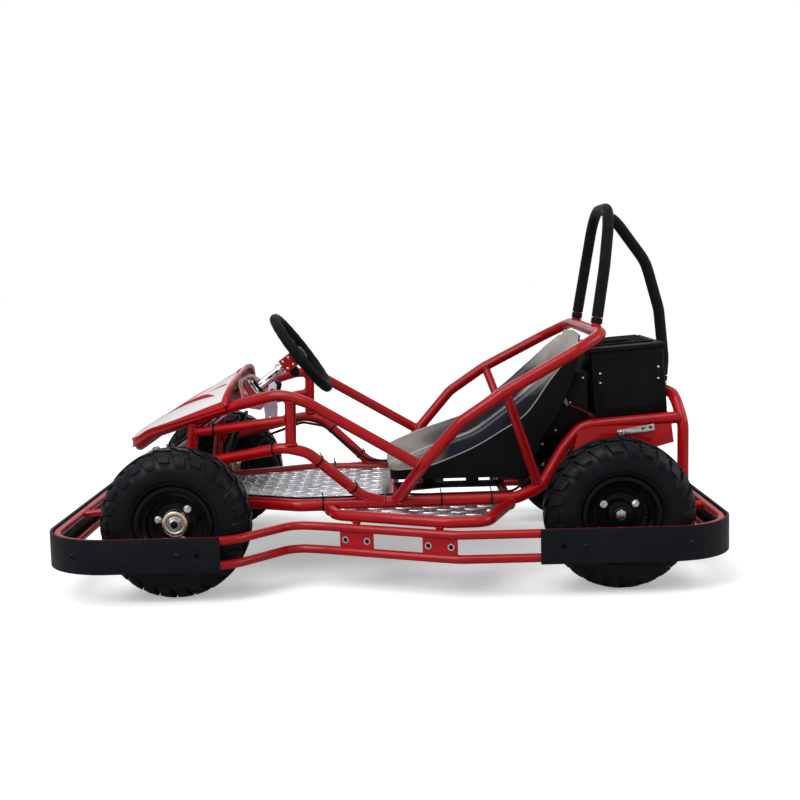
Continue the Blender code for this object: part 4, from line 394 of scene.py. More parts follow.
class Bench:
    """The modelling moves that the sub-assemblies share, each on a clean selection."""

    @staticmethod
    def pick(*items: Piece) -> None:
        """Select these objects alone, the first of them active."""
        bpy.ops.object.select_all(action="DESELECT")
        for item in items:
            item.select_set(True)
        if items:
            bpy.context.view_layer.objects.active = items[0]

    @staticmethod
    @contextmanager
    def editing(item: Piece, everything: bool = True) -> Iterator[Piece]:
        """Work on a piece in edit mode.

        Args:
            item: the piece.
            everything: start with all of it selected.

        Yields:
            The piece.
        """
        Bench.pick(item)
        bpy.ops.object.mode_set(mode="EDIT")
        bpy.ops.mesh.select_mode(type="VERT")
        bpy.ops.mesh.select_all(action="SELECT" if everything else "DESELECT")
        yield item
        bpy.ops.object.mode_set(mode="OBJECT")

    @staticmethod
    def select(item: Piece, kind: str, test: Callable[[object], bool]) -> int:
        """Select parts of the mesh in edit mode by a test.

        Args:
            item: the piece in edit mode.
            kind: VERT, EDGE or FACE.
            test: tells whether an element is wanted.

        Returns:
            How many were selected.
        """
        bpy.ops.mesh.select_mode(type=kind)
        bpy.ops.mesh.select_all(action="DESELECT")
        shape = bmesh.from_edit_mesh(item.data)
        table = {"VERT": shape.verts, "EDGE": shape.edges, "FACE": shape.faces}[kind]
        count = 0
        for element in table:
            if test(element):
                element.select_set(True)
                count += 1
        shape.select_flush_mode()
        bmesh.update_edit_mesh(item.data)
        return count

    @staticmethod
    def modify(item: Piece, kind: str, **settings: object) -> Piece:
        """Add a modifier with these settings and apply it."""
        step = item.modifiers.new(kind.title(), kind)
        for key, value in settings.items():
            setattr(step, key, value)
        Bench.pick(item)
        bpy.ops.object.modifier_apply(modifier=step.name)
        return item

    @staticmethod
    def smooth(item: Piece, angle: float = 35.0) -> Piece:
        """Shade smooth, with edges sharper than an angle in degrees left crisp."""
        Bench.pick(item)
        bpy.ops.object.shade_smooth_by_angle(angle=radians(angle))
        return item

    @staticmethod
    def move(item: Piece, matrix: Matrix) -> Piece:
        """Carry the mesh itself to its place and leave the object at the origin."""
        item.data.transform(matrix)
        if matrix.determinant() < 0.0:
            item.data.flip_normals()
        item.data.update()
        return item

    @staticmethod
    def copy(item: Piece, name: str, matrix: Matrix) -> Piece:
        """A copy with a mesh of its own, carried to its place."""
        twin = item.copy()
        twin.data = item.data.copy()
        twin.name = name
        bpy.context.scene.collection.objects.link(twin)
        return Bench.move(twin, matrix)

    @staticmethod
    def drop(*items: Piece) -> None:
        """Throw away patterns that were only copied from."""
        for item in items:
            bpy.data.objects.remove(item, do_unlink=True)

    @staticmethod
    def join(name: str, items: Sequence[Piece]) -> Piece:
        """Join pieces of one finish into one object."""
        Bench.pick(*items)
        if len(items) > 1:
            bpy.ops.object.join()
        made = bpy.context.view_layer.objects.active
        made.name = name
        made.data.name = name
        return made

    @staticmethod
    def dress(item: Piece, finish: Finish) -> Piece:
        """Give a piece one finish all over."""
        item.data.materials.clear()
        item.data.materials.append(finish.material())
        return item

    @staticmethod
    def added(name: str) -> Piece:
        """Name the object that an operator has just added."""
        made = bpy.context.view_layer.objects.active
        made.name = name
        made.data.name = name
        return made

    @staticmethod
    def block(name: str, size: Point, centre: Point = (0.0, 0.0, 0.0), bevel: float = 0.0, segments: int = 3) -> Piece:
        """A block with rounded edges.

        Args:
            name: the piece's name.
            size: its length along each axis.
            centre: where its middle lies.
            bevel: edge radius; none when zero.
            segments: steps round each edge.

        Returns:
            The block.
        """
        bpy.ops.object.select_all(action="DESELECT")
        bpy.ops.mesh.primitive_cube_add(size=1.0)
        made = Bench.added(name)
        Bench.move(made, Matrix.Translation(centre) @ Matrix.Diagonal((*size, 1.0)))
        if bevel:
            Bench.modify(made, "BEVEL", width=bevel, segments=segments)
        return made

    @staticmethod
    def wire(name: str, points: Sequence[Point]) -> Piece:
        """A chain of edges, drawn by extruding one vertex from point to point."""
        bpy.ops.object.select_all(action="DESELECT")
        bpy.ops.mesh.primitive_plane_add(size=0.001)
        made = Bench.added(name)
        with Bench.editing(made):
            bpy.ops.mesh.merge(type="CENTER")
            bpy.ops.transform.translate(value=points[0])
            for before, point in zip(points, points[1:]):
                step = Vector(point) - Vector(before)
                bpy.ops.mesh.extrude_region_move(TRANSFORM_OT_translate={"value": step})
        return made

    @staticmethod
    def lathe(name: str, profile: Outline, steps: int = 48, angle: float = 30.0) -> Piece:
        """Spin a closed (radius, along) outline about the Y axis.

        Args:
            name: the piece's name.
            profile: outline points; the last joins the first.
            steps: steps of the full turn.
            angle: edges sharper than this stay crisp.

        Returns:
            The turned piece, its axis on Y.
        """
        points = [(max(radius, 0.0), along, 0.0) for radius, along in profile]
        made = Bench.wire(name, points)
        with Bench.editing(made):
            bpy.ops.mesh.edge_face_add()
            bpy.ops.mesh.delete(type="ONLY_FACE")
            bpy.ops.mesh.select_all(action="SELECT")
            bpy.ops.mesh.spin(steps=steps, angle=FULL_TURN, center=(0.0, 0.0, 0.0), axis=(0.0, 1.0, 0.0))
            bpy.ops.mesh.select_all(action="SELECT")
            bpy.ops.mesh.remove_doubles(threshold=0.000005)
            bpy.ops.mesh.dissolve_degenerate(threshold=0.000002)
            bpy.ops.mesh.select_all(action="SELECT")
            bpy.ops.mesh.normals_make_consistent(inside=False)
        return Bench.smooth(made, angle)

    @staticmethod
    def panel(name: str, outline: Outline, thickness: float, bevel: float = 0.0, holes: Sequence[Hole] = (),
            segments: int = 2) -> Piece:
        """A flat panel from its outline in XY, standing on z = 0, with round holes.

        Args:
            name: the piece's name.
            outline: corner points.
            thickness: height of the panel.
            bevel: edge radius.
            holes: x, y and radius of each hole.
            segments: steps round each edge.

        Returns:
            The panel.
        """
        made = Bench.wire(name, [(x, y, 0.0) for x, y in outline])
        with Bench.editing(made):
            bpy.ops.mesh.edge_face_add()
            bpy.ops.mesh.extrude_region_move(TRANSFORM_OT_translate={"value": (0.0, 0.0, thickness)})
            bpy.ops.mesh.select_all(action="SELECT")
            bpy.ops.mesh.normals_make_consistent(inside=False)
        for x, y, radius in holes:
            bpy.ops.object.select_all(action="DESELECT")
            bpy.ops.mesh.primitive_cylinder_add(vertices=28, radius=radius, depth=6.0 * thickness, location=(x, y,
                thickness / 2.0))
            drill = Bench.added("drill")
            bpy.ops.object.transform_apply()
            Bench.modify(made, "BOOLEAN", operation="DIFFERENCE", object=drill)
            Bench.drop(drill)
        if bevel:
            Bench.modify(made, "BEVEL", width=bevel, segments=segments, limit_method="ANGLE",
                angle_limit=radians(50.0))
        return Bench.smooth(made, 40.0)

    @staticmethod
    def tube(name: str, path: Sequence[Point], radius: float, closed: bool = False, sides: int = 24,
            radii: Sequence[float] = ()) -> Piece:
        """A round tube along a path, as a closed mesh.

        Args:
            name: the piece's name.
            path: its middle line.
            radius: half its thickness.
            closed: join its end to its start.
            sides: faces round it.
            radii: a scale for the radius at each point.

        Returns:
            The tube.
        """
        curve = bpy.data.curves.new(name, "CURVE")
        curve.dimensions = "3D"
        curve.bevel_depth = radius
        curve.bevel_resolution = sides // 2 - 2
        curve.use_fill_caps = not closed
        spline = curve.splines.new("POLY")
        spline.points.add(len(path) - 1)
        for index, (point, spot) in enumerate(zip(spline.points, path)):
            point.co = (*spot, 1.0)
            point.radius = radii[index] if radii else 1.0
        spline.use_cyclic_u = closed
        made = bpy.data.objects.new(name, curve)
        bpy.context.scene.collection.objects.link(made)
        Bench.pick(made)
        bpy.ops.object.convert(target="MESH")
        made = Bench.added(name)
        with Bench.editing(made):
            bpy.ops.mesh.remove_doubles(threshold=0.000005)
        return Bench.smooth(made, 40.0)

    @staticmethod
    def rod(name: str, start: Point, end: Point, radius: float, bevel: float = 0.0, sides: int = 32,
            tip: Optional[float] = None) -> Piece:
        """A round bar between two points, its rims rounded when a bevel is given.

        Args:
            name: the piece's name.
            start: middle of one end.
            end: middle of the other end.
            radius: radius at the start.
            bevel: edge radius.
            sides: faces round it.
            tip: radius at the end, where it differs.

        Returns:
            The bar.
        """
        way = Vector(end) - Vector(start)
        bpy.ops.object.select_all(action="DESELECT")
        bpy.ops.mesh.primitive_cone_add(vertices=sides, radius1=radius, radius2=radius if tip is None else tip,
            depth=way.length)
        made = Bench.added(name)
        if bevel:
            Bench.modify(made, "BEVEL", width=bevel, segments=2, limit_method="ANGLE", angle_limit=radians(50.0))
        turn = Vector(UP).rotation_difference(way).to_matrix().to_4x4()
        middle = (Vector(start) + Vector(end)) / 2.0
        return Bench.smooth(Bench.move(made, Matrix.Translation(middle) @ turn), 40.0)

    @staticmethod
    def sheet(name: str, across: int, along: int, shape: Callable[[float, float], Point], wall: float = 0.0,
            offset: float = -1.0) -> Piece:
        """A curved sheet: a grid whose points are carried onto a surface.

        Args:
            name: the piece's name.
            across: grid steps over the first share.
            along: grid steps over the second share.
            shape: gives the place for two shares from 0 to 1.
            wall: thickness; an open surface when zero.
            offset: the side of the surface that the wall grows to.

        Returns:
            The sheet.
        """
        bpy.ops.object.select_all(action="DESELECT")
        bpy.ops.mesh.primitive_grid_add(x_subdivisions=across, y_subdivisions=along, size=1.0)
        made = Bench.added(name)
        for vertex in made.data.vertices:
            vertex.co = shape(vertex.co.x + 0.5, vertex.co.y + 0.5)
        made.data.update()
        if wall:
            Bench.modify(made, "SOLIDIFY", thickness=wall, offset=offset, use_even_offset=True)
        return Bench.smooth(made, 40.0)

    @staticmethod
    def drill(item: Piece, *holes: tuple[Point, Point, float]) -> Piece:
        """Cut round holes; each gives its two ends and its radius."""
        for start, end, radius in holes:
            bit = Bench.rod("drill", start, end, radius, sides=24)
            Bench.modify(item, "BOOLEAN", operation="DIFFERENCE", object=bit)
            Bench.drop(bit)
        return item

    @staticmethod
    def aim(start: Point, direction: Point) -> Matrix:
        """The turn that carries Y along a direction, with the origin carried to a start point."""
        turn = Vector((0.0, 1.0, 0.0)).rotation_difference(Vector(direction)).to_matrix().to_4x4()
        return Matrix.Translation(start) @ turn


def seat(item: Piece, finish: Optional[Finish], *nodes: str, body: str = "chassis") -> Piece:
    """Dress a finished piece, let it ride on its body and hide the CAD nodes that it stands for.

    Args:
        item: the piece.
        finish: its finish; none when it is dressed already.
        nodes: the CAD nodes that it replaces.
        body: the CAD body that it moves with.

    Returns:
        The piece.
    """
    if finish:
        Bench.dress(item, finish)
    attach(item, body)
    if nodes:
        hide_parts(*nodes)
    return item


def unite(name: str, parts: Sequence[Piece], finish: Finish, *nodes: str, body: str = "chassis") -> Piece:
    """Join parts of one finish into a named piece and seat it."""
    return seat(Bench.join(name, parts), finish, *nodes, body=body)


def mm(*rows: Point) -> tuple[tuple[float, ...], ...]:
    """A table of places that is written in millimetres, in metres."""
    return tuple(tuple(value / 1000.0 for value in row) for row in rows)


@dataclass
class Route:
    """The middle line of a bent tube: its corners, and the radius of its bends."""

    corners: list[Point]
    bend: float
    closed: bool = False
    radii: list[float] = field(default_factory=list)
    step: float = 7.0

    def points(self) -> list[Vector]:
        """The corners with each bend drawn as an arc."""
        spots = [Vector(corner) for corner in self.corners]
        count = len(spots)
        path = []
        for index, corner in enumerate(spots):
            if not self.closed and index in (0, count - 1):
                path.append(corner)
                continue
            before = spots[index - 1] - corner
            after = spots[(index + 1) % count] - corner
            angle = before.angle(after)
            radius = self.radii[index] if self.radii else self.bend
            steps = max(2, ceil((pi - angle) / radians(self.step)))
            reach = min(radius / tan(angle / 2.0), 0.49 * before.length, 0.49 * after.length)
            bend = reach * tan(angle / 2.0)
            middle = (before.normalized() + after.normalized()).normalized()
            centre = corner + middle * bend / sin(angle / 2.0)
            first = corner + before.normalized() * reach - centre
            last = corner + after.normalized() * reach - centre
            for number in range(steps + 1):
                spoke = first.slerp(last, number / steps)
                path.append(centre + spoke.normalized() * bend)
        return path

    def at(self, x: float) -> Vector:
        """The point of the straight runs at a given x.

        Args:
            x: where along the frame.

        Returns:
            The point.
        """
        for start, end in zip(self.corners, self.corners[1:]):
            low, high = sorted((start[0], end[0]))
            if low <= x <= high and high > low:
                return Vector(start).lerp(Vector(end), (x - start[0]) / (end[0] - start[0]))
        raise ValueError("x lies outside the route")


def across(point: Point) -> Vector:
    """The same point on the other side of the kart."""
    return Vector((point[0], -point[1], point[2]))


def whole(corners: Sequence[Point]) -> list[Point]:
    """A left half-line and its mirror image, as one line over the whole width."""
    return list(corners) + [tuple(across(corner)) for corner in reversed(corners)]


MIRROR = Matrix.Diagonal((1.0, -1.0, 1.0, 1.0))


def through(points: Sequence[Point], share: float) -> Vector:
    """A smooth curve through points, at a share of the way from the first to the last."""
    spots = [Vector(point) for point in points]
    spot = min(max(share, 0.0), 1.0) * (len(spots) - 1)
    index = min(int(spot), len(spots) - 2)
    part = spot - index
    before = spots[max(index - 1, 0)]
    start, end = spots[index], spots[index + 1]
    after = spots[min(index + 2, len(spots) - 1)]
    bend = (2.0 * before - 5.0 * start + 4.0 * end - after) * part ** 2
    twist = (3.0 * start - before - 3.0 * end + after) * part ** 3
    return (2.0 * start + (end - before) * part + bend + twist) / 2.0


# Wheels


@dataclass
class Tyre:
    """A wide knobby tyre: a carcass spun from its section, its slanted lugs raised from the tread."""

    radius: float = 0.165
    width: float = 0.127
    groove: float = 0.0062
    bead: float = 0.08
    lugs: int = 26
    steps_per_lug: int = 6
    slant: float = 0.62
    shoulder: float = 0.132
    shoulder_taper: float = 0.28

    def section(self) -> list[Spot]:
        """The outline of the wall from the left bead over the tread to the right one and back inside."""
        half = self.width / 2.0
        base = self.radius - self.groove
        outer = [(self.bead, 0.0445), (0.0835, 0.0472), (0.088, 0.0492), (0.09, 0.053), (0.093, 0.0556),
            (0.0955, 0.056), (0.0985, 0.0592), (0.108, half - 0.0008), (0.1185, half), (0.129, half - 0.0018),
            (0.138, half - 0.006), (0.145, half - 0.012), (base - 0.0072, half - 0.02), (base - 0.0035, half - 0.029),
            (base - 0.0012, half - 0.039), (base - 0.0002, half - 0.05), (base, 0.0)]
        inner = [(base - 0.009, 0.0), (base - 0.012, 0.034), (0.132, 0.05), (0.104, 0.0545), (self.bead, 0.036)]
        right = [(radius, -along) for radius, along in reversed(outer[:-1])]
        inside_right = [(radius, -along) for radius, along in reversed(inner[1:])]
        return outer + right + inside_right + inner

    def shifted(self, vertex: bmesh.types.BMVert) -> float:
        """How far round the tyre a point of the carcass is turned, so that the grid itself slants."""
        half = self.width / 2.0
        reach = abs(vertex.co.y) / half
        return self.slant * (FULL_TURN / self.lugs) * reach * 1.5

    def slant_grid(self, item: Piece) -> None:
        """Turn every ring of the tread about the axle, the outer ones furthest, into a shallow V."""
        with Bench.editing(item, False):
            shape = bmesh.from_edit_mesh(item.data)
            for vertex in shape.verts:
                turn = self.shifted(vertex)
                x, z = vertex.co.x, vertex.co.z
                vertex.co.x = x * cos(turn) - z * sin(turn)
                vertex.co.z = x * sin(turn) + z * cos(turn)
            bmesh.update_edit_mesh(item.data)

    def on_lug(self, face: bmesh.types.BMFace) -> bool:
        """Whether a face of the carcass lies on a lug: centre bars and shoulder blocks, staggered by side."""
        centre = face.calc_center_median()
        radius = hypot(centre.x, centre.z)
        along = centre.y
        half = self.width / 2.0
        if radius < 0.124 or face.normal.dot(Vector((centre.x, 0.0, centre.z)).normalized()) < 0.02:
            return False
        turn = atan2(centre.z, centre.x) - self.slant * (FULL_TURN / self.lugs) * abs(along) / half * 1.5
        pitch = (turn / FULL_TURN * self.lugs + (0.5 if along < 0.0 else 0.0)) % 1.0
        crown = abs(along) < half - 0.05
        share = 0.66 if crown else 0.68
        if abs(abs(along) - (half - 0.0335)) < 0.0055:
            return False
        offset = 0.5 if abs(along) < half - 0.0335 else 0.0
        long_lug = (floor(turn / FULL_TURN * self.lugs + (0.5 if along < 0.0 else 0.0)) % 2) == 0
        if radius < 0.1395 and not long_lug:
            return False
        return (pitch + offset) % 1.0 < share

    def build(self) -> Piece:
        """Spin the carcass, slant it, and raise and bevel the lugs.

        Returns:
            The tyre on the Y axis at the origin, its outer side towards +Y.
        """
        steps = self.lugs * self.steps_per_lug
        item = Bench.lathe("tyre_pattern", self.section(), steps, 30.0)
        self.slant_grid(item)
        with Bench.editing(item, False):
            Bench.select(item, "FACE", self.on_lug)
            bpy.ops.mesh.extrude_region_shrink_fatten(TRANSFORM_OT_shrink_fatten={"value": self.groove})
            bpy.ops.mesh.region_to_loop()
            bpy.ops.mesh.select_mode(type="EDGE")
        self.clip(item)
        Bench.modify(item, "BEVEL", width=0.0009, segments=1, limit_method="ANGLE", angle_limit=radians(48.0))
        return Bench.smooth(item, 32.0)

    def clip(self, item: Piece) -> None:
        """Trim the lug tops to the tyre's own radius and width, as the mould does."""
        half = self.width / 2.0
        with Bench.editing(item, False):
            shape = bmesh.from_edit_mesh(item.data)
            for vertex in shape.verts:
                radius = hypot(vertex.co.x, vertex.co.z)
                if radius > self.radius:
                    vertex.co.x *= self.radius / radius
                    vertex.co.z *= self.radius / radius
                most = half - self.shoulder_taper * max(0.0, radius - self.shoulder)
                vertex.co.y = max(-most, min(most, vertex.co.y))
            bmesh.update_edit_mesh(item.data)

    def hairs(self, source: random.Random) -> Piece:
        """Short moulding hairs that stand on the shoulders of a new tyre."""
        bpy.ops.object.select_all(action="DESELECT")
        bpy.ops.mesh.primitive_cone_add(vertices=5, radius1=0.00055, radius2=0.00015, depth=0.006,
            location=(0.0, 0.003, 0.0), rotation=(-QUARTER, 0.0, 0.0))
        hair = Bench.added("hair")
        bpy.ops.object.transform_apply()
        made = []
        for index in range(self.lugs * 2):
            turn = FULL_TURN * (index + source.uniform(-0.3, 0.3)) / (self.lugs * 2)
            side = 1.0 if index % 2 else -1.0
            radius = source.uniform(0.128, 0.15)
            half = self.width / 2.0 - 0.004 - max(0.0, radius - 0.136) * 0.9
            lean = Vector((cos(turn), side * source.uniform(0.5, 1.1), sin(turn)))
            spot = (radius * cos(turn), side * half, radius * sin(turn))
            made.append(Bench.copy(hair, "hair", Bench.aim(spot, lean)))
        Bench.drop(hair)
        return Bench.join("hairs", made)


@dataclass
class Rim:
    """A pressed two-lip rim with a dished disc and a valve, and the places of its three studs."""

    radius: float = 0.0762
    half: float = 0.052
    disc: float = 0.012
    bolt_circle: float = 0.04
    bolt_start: float = radians(49.0)

    def section(self) -> list[Spot]:
        """The closed outline of the rim's sheet."""
        lip = self.radius + 0.0095
        outside = [(0.03, self.disc), (0.044, self.disc), (0.0475, self.disc + 0.0012), (0.0505, self.disc + 0.005),
            (0.056, self.disc + 0.0062), (0.0595, self.disc + 0.0078), (0.0612, 0.026), (0.064, 0.034), (0.0712, 0.04),
            (0.0735, 0.044), (0.0752, 0.048), (0.0785, 0.0508), (lip - 0.001, self.half), (lip, self.half - 0.0008),
            (lip, self.half - 0.0024)]
        barrel = [(lip - 0.0022, self.half - 0.003), (0.08, 0.0478), (0.0776, 0.044), (0.0745, 0.0372),
            (0.0668, 0.032), (0.065, 0.024), (0.0645, -0.024), (0.0668, -0.032), (0.0745, -0.0372), (0.0776, -0.044),
            (0.08, -0.0478), (lip - 0.0022, 0.003 - self.half), (lip, 0.0024 - self.half), (lip, 0.0008 - self.half),
            (lip - 0.001, -self.half)]
        inside = [(0.0785, -0.0508), (0.0752, -0.048), (0.0735, -0.044), (0.0712, -0.04), (0.064, -0.034),
            (0.0612, -0.024), (0.0606, self.disc + 0.003), (0.056, self.disc + 0.0028), (0.0505, self.disc + 0.0018),
            (0.047, self.disc - 0.003), (0.03, self.disc - 0.0032)]
        return outside + barrel + inside

    def bolts(self) -> list[Spot]:
        """Where the three studs pass through, as (x, z) from the axle."""
        return [(self.bolt_circle * cos(turn), self.bolt_circle * sin(turn)) for turn in (self.bolt_start
            + FULL_TURN * index / 3.0 for index in range(3))]

    def build(self) -> Piece:
        """The rim on the Y axis at the origin, its outer side towards +Y."""
        item = Bench.lathe("rim_pattern", self.section(), 96, 28.0)
        valve = Bench.lathe("valve", mm((0, 0), (4.2, 0), (4.2, 6), (3, 10), (3, 26), (3.6, 26.2), (3.6, 34.5),
            (0, 35.2)), 16, 30.0)
        turn = radians(205.0)
        spot = (0.0585 * cos(turn), self.disc + 0.005, 0.0585 * sin(turn))
        lean = (-0.25 * cos(turn), 1.0, -0.25 * sin(turn))
        Bench.move(valve, Bench.aim(spot, lean))
        return Bench.join("rim_pattern", [item, valve])


class Fastener:
    """Bolts, nuts and washers, each modelled once and copied to where it is used."""

    def __init__(self) -> None:
        """Start with an empty bin."""
        self.bin: dict[str, Piece] = {}

    def keep(self, key: str, maker: Callable[[], Piece]) -> Piece:
        """The pattern for a key, made at its first use and kept until the bin is emptied."""
        if key not in self.bin:
            pattern = maker()
            pattern.name = "pattern_" + key
            self.bin[key] = pattern
        return self.bin[key]

    def hexagon(self, flats: float, height: float, bore: float = 0.0, washer: float = 0.0) -> Piece:
        """A chamfered hexagon, as a nut when it has a bore, standing on y = 0.

        Args:
            flats: width across the flats.
            height: thickness.
            bore: radius of the sunk thread hole; none when zero.
            washer: radius of a washer under it; none when zero.

        Returns:
            The pattern.
        """
        def make() -> Piece:
            bpy.ops.object.select_all(action="DESELECT")
            bpy.ops.mesh.primitive_cylinder_add(vertices=6, radius=flats / sqrt(3.0), depth=height,
                location=(0.0, height / 2.0, 0.0), rotation=(QUARTER, 0.0, 0.0))
            item = Bench.added("hexagon")
            bpy.ops.object.transform_apply()
            with Bench.editing(item, False):
                Bench.select(item, "FACE", lambda face: face.normal.y > 0.9)
                bpy.ops.mesh.inset(thickness=flats * 0.07, depth=flats * 0.045)
                if bore:
                    bpy.ops.mesh.inset(thickness=max(0.0004, flats * 0.43 - bore), depth=0.0)
                    bpy.ops.mesh.extrude_region_move(TRANSFORM_OT_translate={"value": (0.0, -0.6 * height, 0.0)})
            parts = [Bench.smooth(item, 25.0)]
            if washer:
                ring = [(bore + 0.0004, 0.0), (washer, 0.0), (washer, 0.0008), (washer - 0.0004, 0.0013),
                    (bore + 0.0004, 0.0013)]
                parts.append(Bench.lathe("washer", ring, 24, 30.0))
                Bench.move(item, Matrix.Translation((0.0, 0.0012, 0.0)))
            return Bench.join("hexagon", parts)
        return self.keep(f"hexagon_{flats:.4f}_{height:.4f}_{bore:.4f}_{washer:.4f}", make)

    def dome(self, radius: float, height: float) -> Piece:
        """A button-headed screw with a hexagon socket, standing on y = 0."""
        def make() -> Piece:
            section = [(0.0, 0.0), (radius, 0.0), (radius, 0.15 * height), (0.9 * radius, 0.55 * height),
                (0.68 * radius, 0.86 * height), (0.45 * radius, height), (0.42 * radius, 0.45 * height),
                (0.0, 0.45 * height)]
            return Bench.lathe("dome", section, 24, 30.0)
        return self.keep(f"dome_{radius:.4f}_{height:.4f}", make)

    def put(self, pattern: Piece, spots: Sequence[tuple[Point, Point]], name: str) -> Piece:
        """Copy a pattern to places and join the copies.

        Args:
            pattern: what is copied.
            spots: a foot point and an outward direction for each copy.
            name: the joined piece's name.

        Returns:
            The joined piece.
        """
        return Bench.join(name, [Bench.copy(pattern, name, Bench.aim(spot, out)) for spot, out in spots])

    def empty(self) -> None:
        """Throw the patterns away."""
        Bench.drop(*self.bin.values())
        self.bin.clear()


BOLTS = Fastener()


@dataclass
class WheelSet:
    """The four wheels: tyres, rims with their studs, and the front hubs."""

    tyre: Tyre = field(default_factory=Tyre)
    rim: Rim = field(default_factory=Rim)

    def place(self, x: float, y: float, side: Side, spin: float = 0.0) -> Matrix:
        """From the pattern's place at the origin to a wheel's own, its outer side turned outwards.

        Args:
            x: the axle's place.
            y: the wheel's distance from the middle.
            side: the side that it is on.
            spin: how far it has rolled, in degrees.

        Returns:
            The matrix.
        """
        turn = Matrix.Identity(4) if side is Side.LEFT else Matrix.Rotation(pi, 4, "Z")
        return Matrix.Translation((x, y * side.value, WHEEL_Z)) @ turn @ Matrix.Rotation(radians(spin), 4, "Y")

    def front_hub(self, name: str, at: Matrix) -> list[Piece]:
        """The plated hub with its bearing.

        Args:
            name: the start of the pieces' names.
            at: the wheel's place.

        Returns:
            The pieces, already dressed.
        """
        shell = Bench.lathe(name + "_hub_shell", mm((9, -30), (28.5, -30), (29, -29.2), (29, 2), (48, 2.5),
            (49.5, 3.5), (49.5, 7.8), (48, 8.4), (29.2, 8.4), (29, 26.2), (27.6, 28.8), (24.8, 30), (20.5, 29.8),
            (18, 28.8), (17.6, 24), (9, 24)), 72, 28.0)
        Bench.dress(Bench.move(shell, at), ZINC)
        race = Bench.lathe(name + "_bearing", mm((8.8, 24.2), (11.8, 24.2), (12.2, 25.8), (12.6, 24.2), (15, 24.8),
            (15.6, 26.2), (17.2, 26.2), (17.2, 22.5), (8.8, 22.5)), 48, 25.0)
        Bench.dress(Bench.move(race, at), STEEL)
        return [shell, race]

    def studs(self, name: str, at: Matrix) -> Piece:
        """Three studs with their nuts on the rim's disc."""
        rod = Bench.lathe("stud", mm((0, 0), (3.6, 0), (3.6, 8.2), (3, 9.2), (0, 9.2)), 16)
        nut = BOLTS.hexagon(0.0125, 0.006, 0.0037, 0.0085)
        parts = []
        for x, z in self.rim.bolts():
            spot = Matrix.Translation((x, self.rim.disc, z))
            parts.append(Bench.copy(nut, name, at @ spot))
            parts.append(Bench.copy(rod, name, at @ spot))
        Bench.drop(rod)
        return Bench.dress(Bench.join(name, parts), CHROME)

    def build(self) -> None:
        """Make one tyre and one rim, and copy them to the four corners."""
        tyre, rim = self.tyre.build(), self.rim.build()
        hairs = self.tyre.hairs(random.Random(7))
        for side in SIDES:
            for end, x, y in (("front", FRONT_AXLE_X, FRONT_WHEEL_Y), ("rear", REAR_AXLE_X, REAR_WHEEL_Y)):
                label = f"{end}_{side.word}"
                body = label + "_wheel" if end == "front" else "rear_axle_set"
                at = self.place(x, y, side)
                seat(Bench.copy(tyre, label + "_knobby_tyre", at), TYRE_RUBBER, label + "_tyre", body=body)
                seat(Bench.copy(hairs, label + "_tyre_hairs", at), TYRE_RUBBER, body=body)
                at = self.place(x, y, side, 38.0 if end == "front" else 19.0)
                seat(Bench.copy(rim, label + "_dished_rim", at), BLACK_PAINT, label + "_rim", body=body)
                seat(self.studs(label + "_wheel_nuts", at), None, body=body)
                if end == "front":
                    shell, race = self.front_hub(label, at)
                    seat(shell, None, label + "_hub", body=body)
                    seat(race, None, body=body)
                LOG.info("wheel %s", label)
        Bench.drop(tyre, rim, hairs)


# Frame


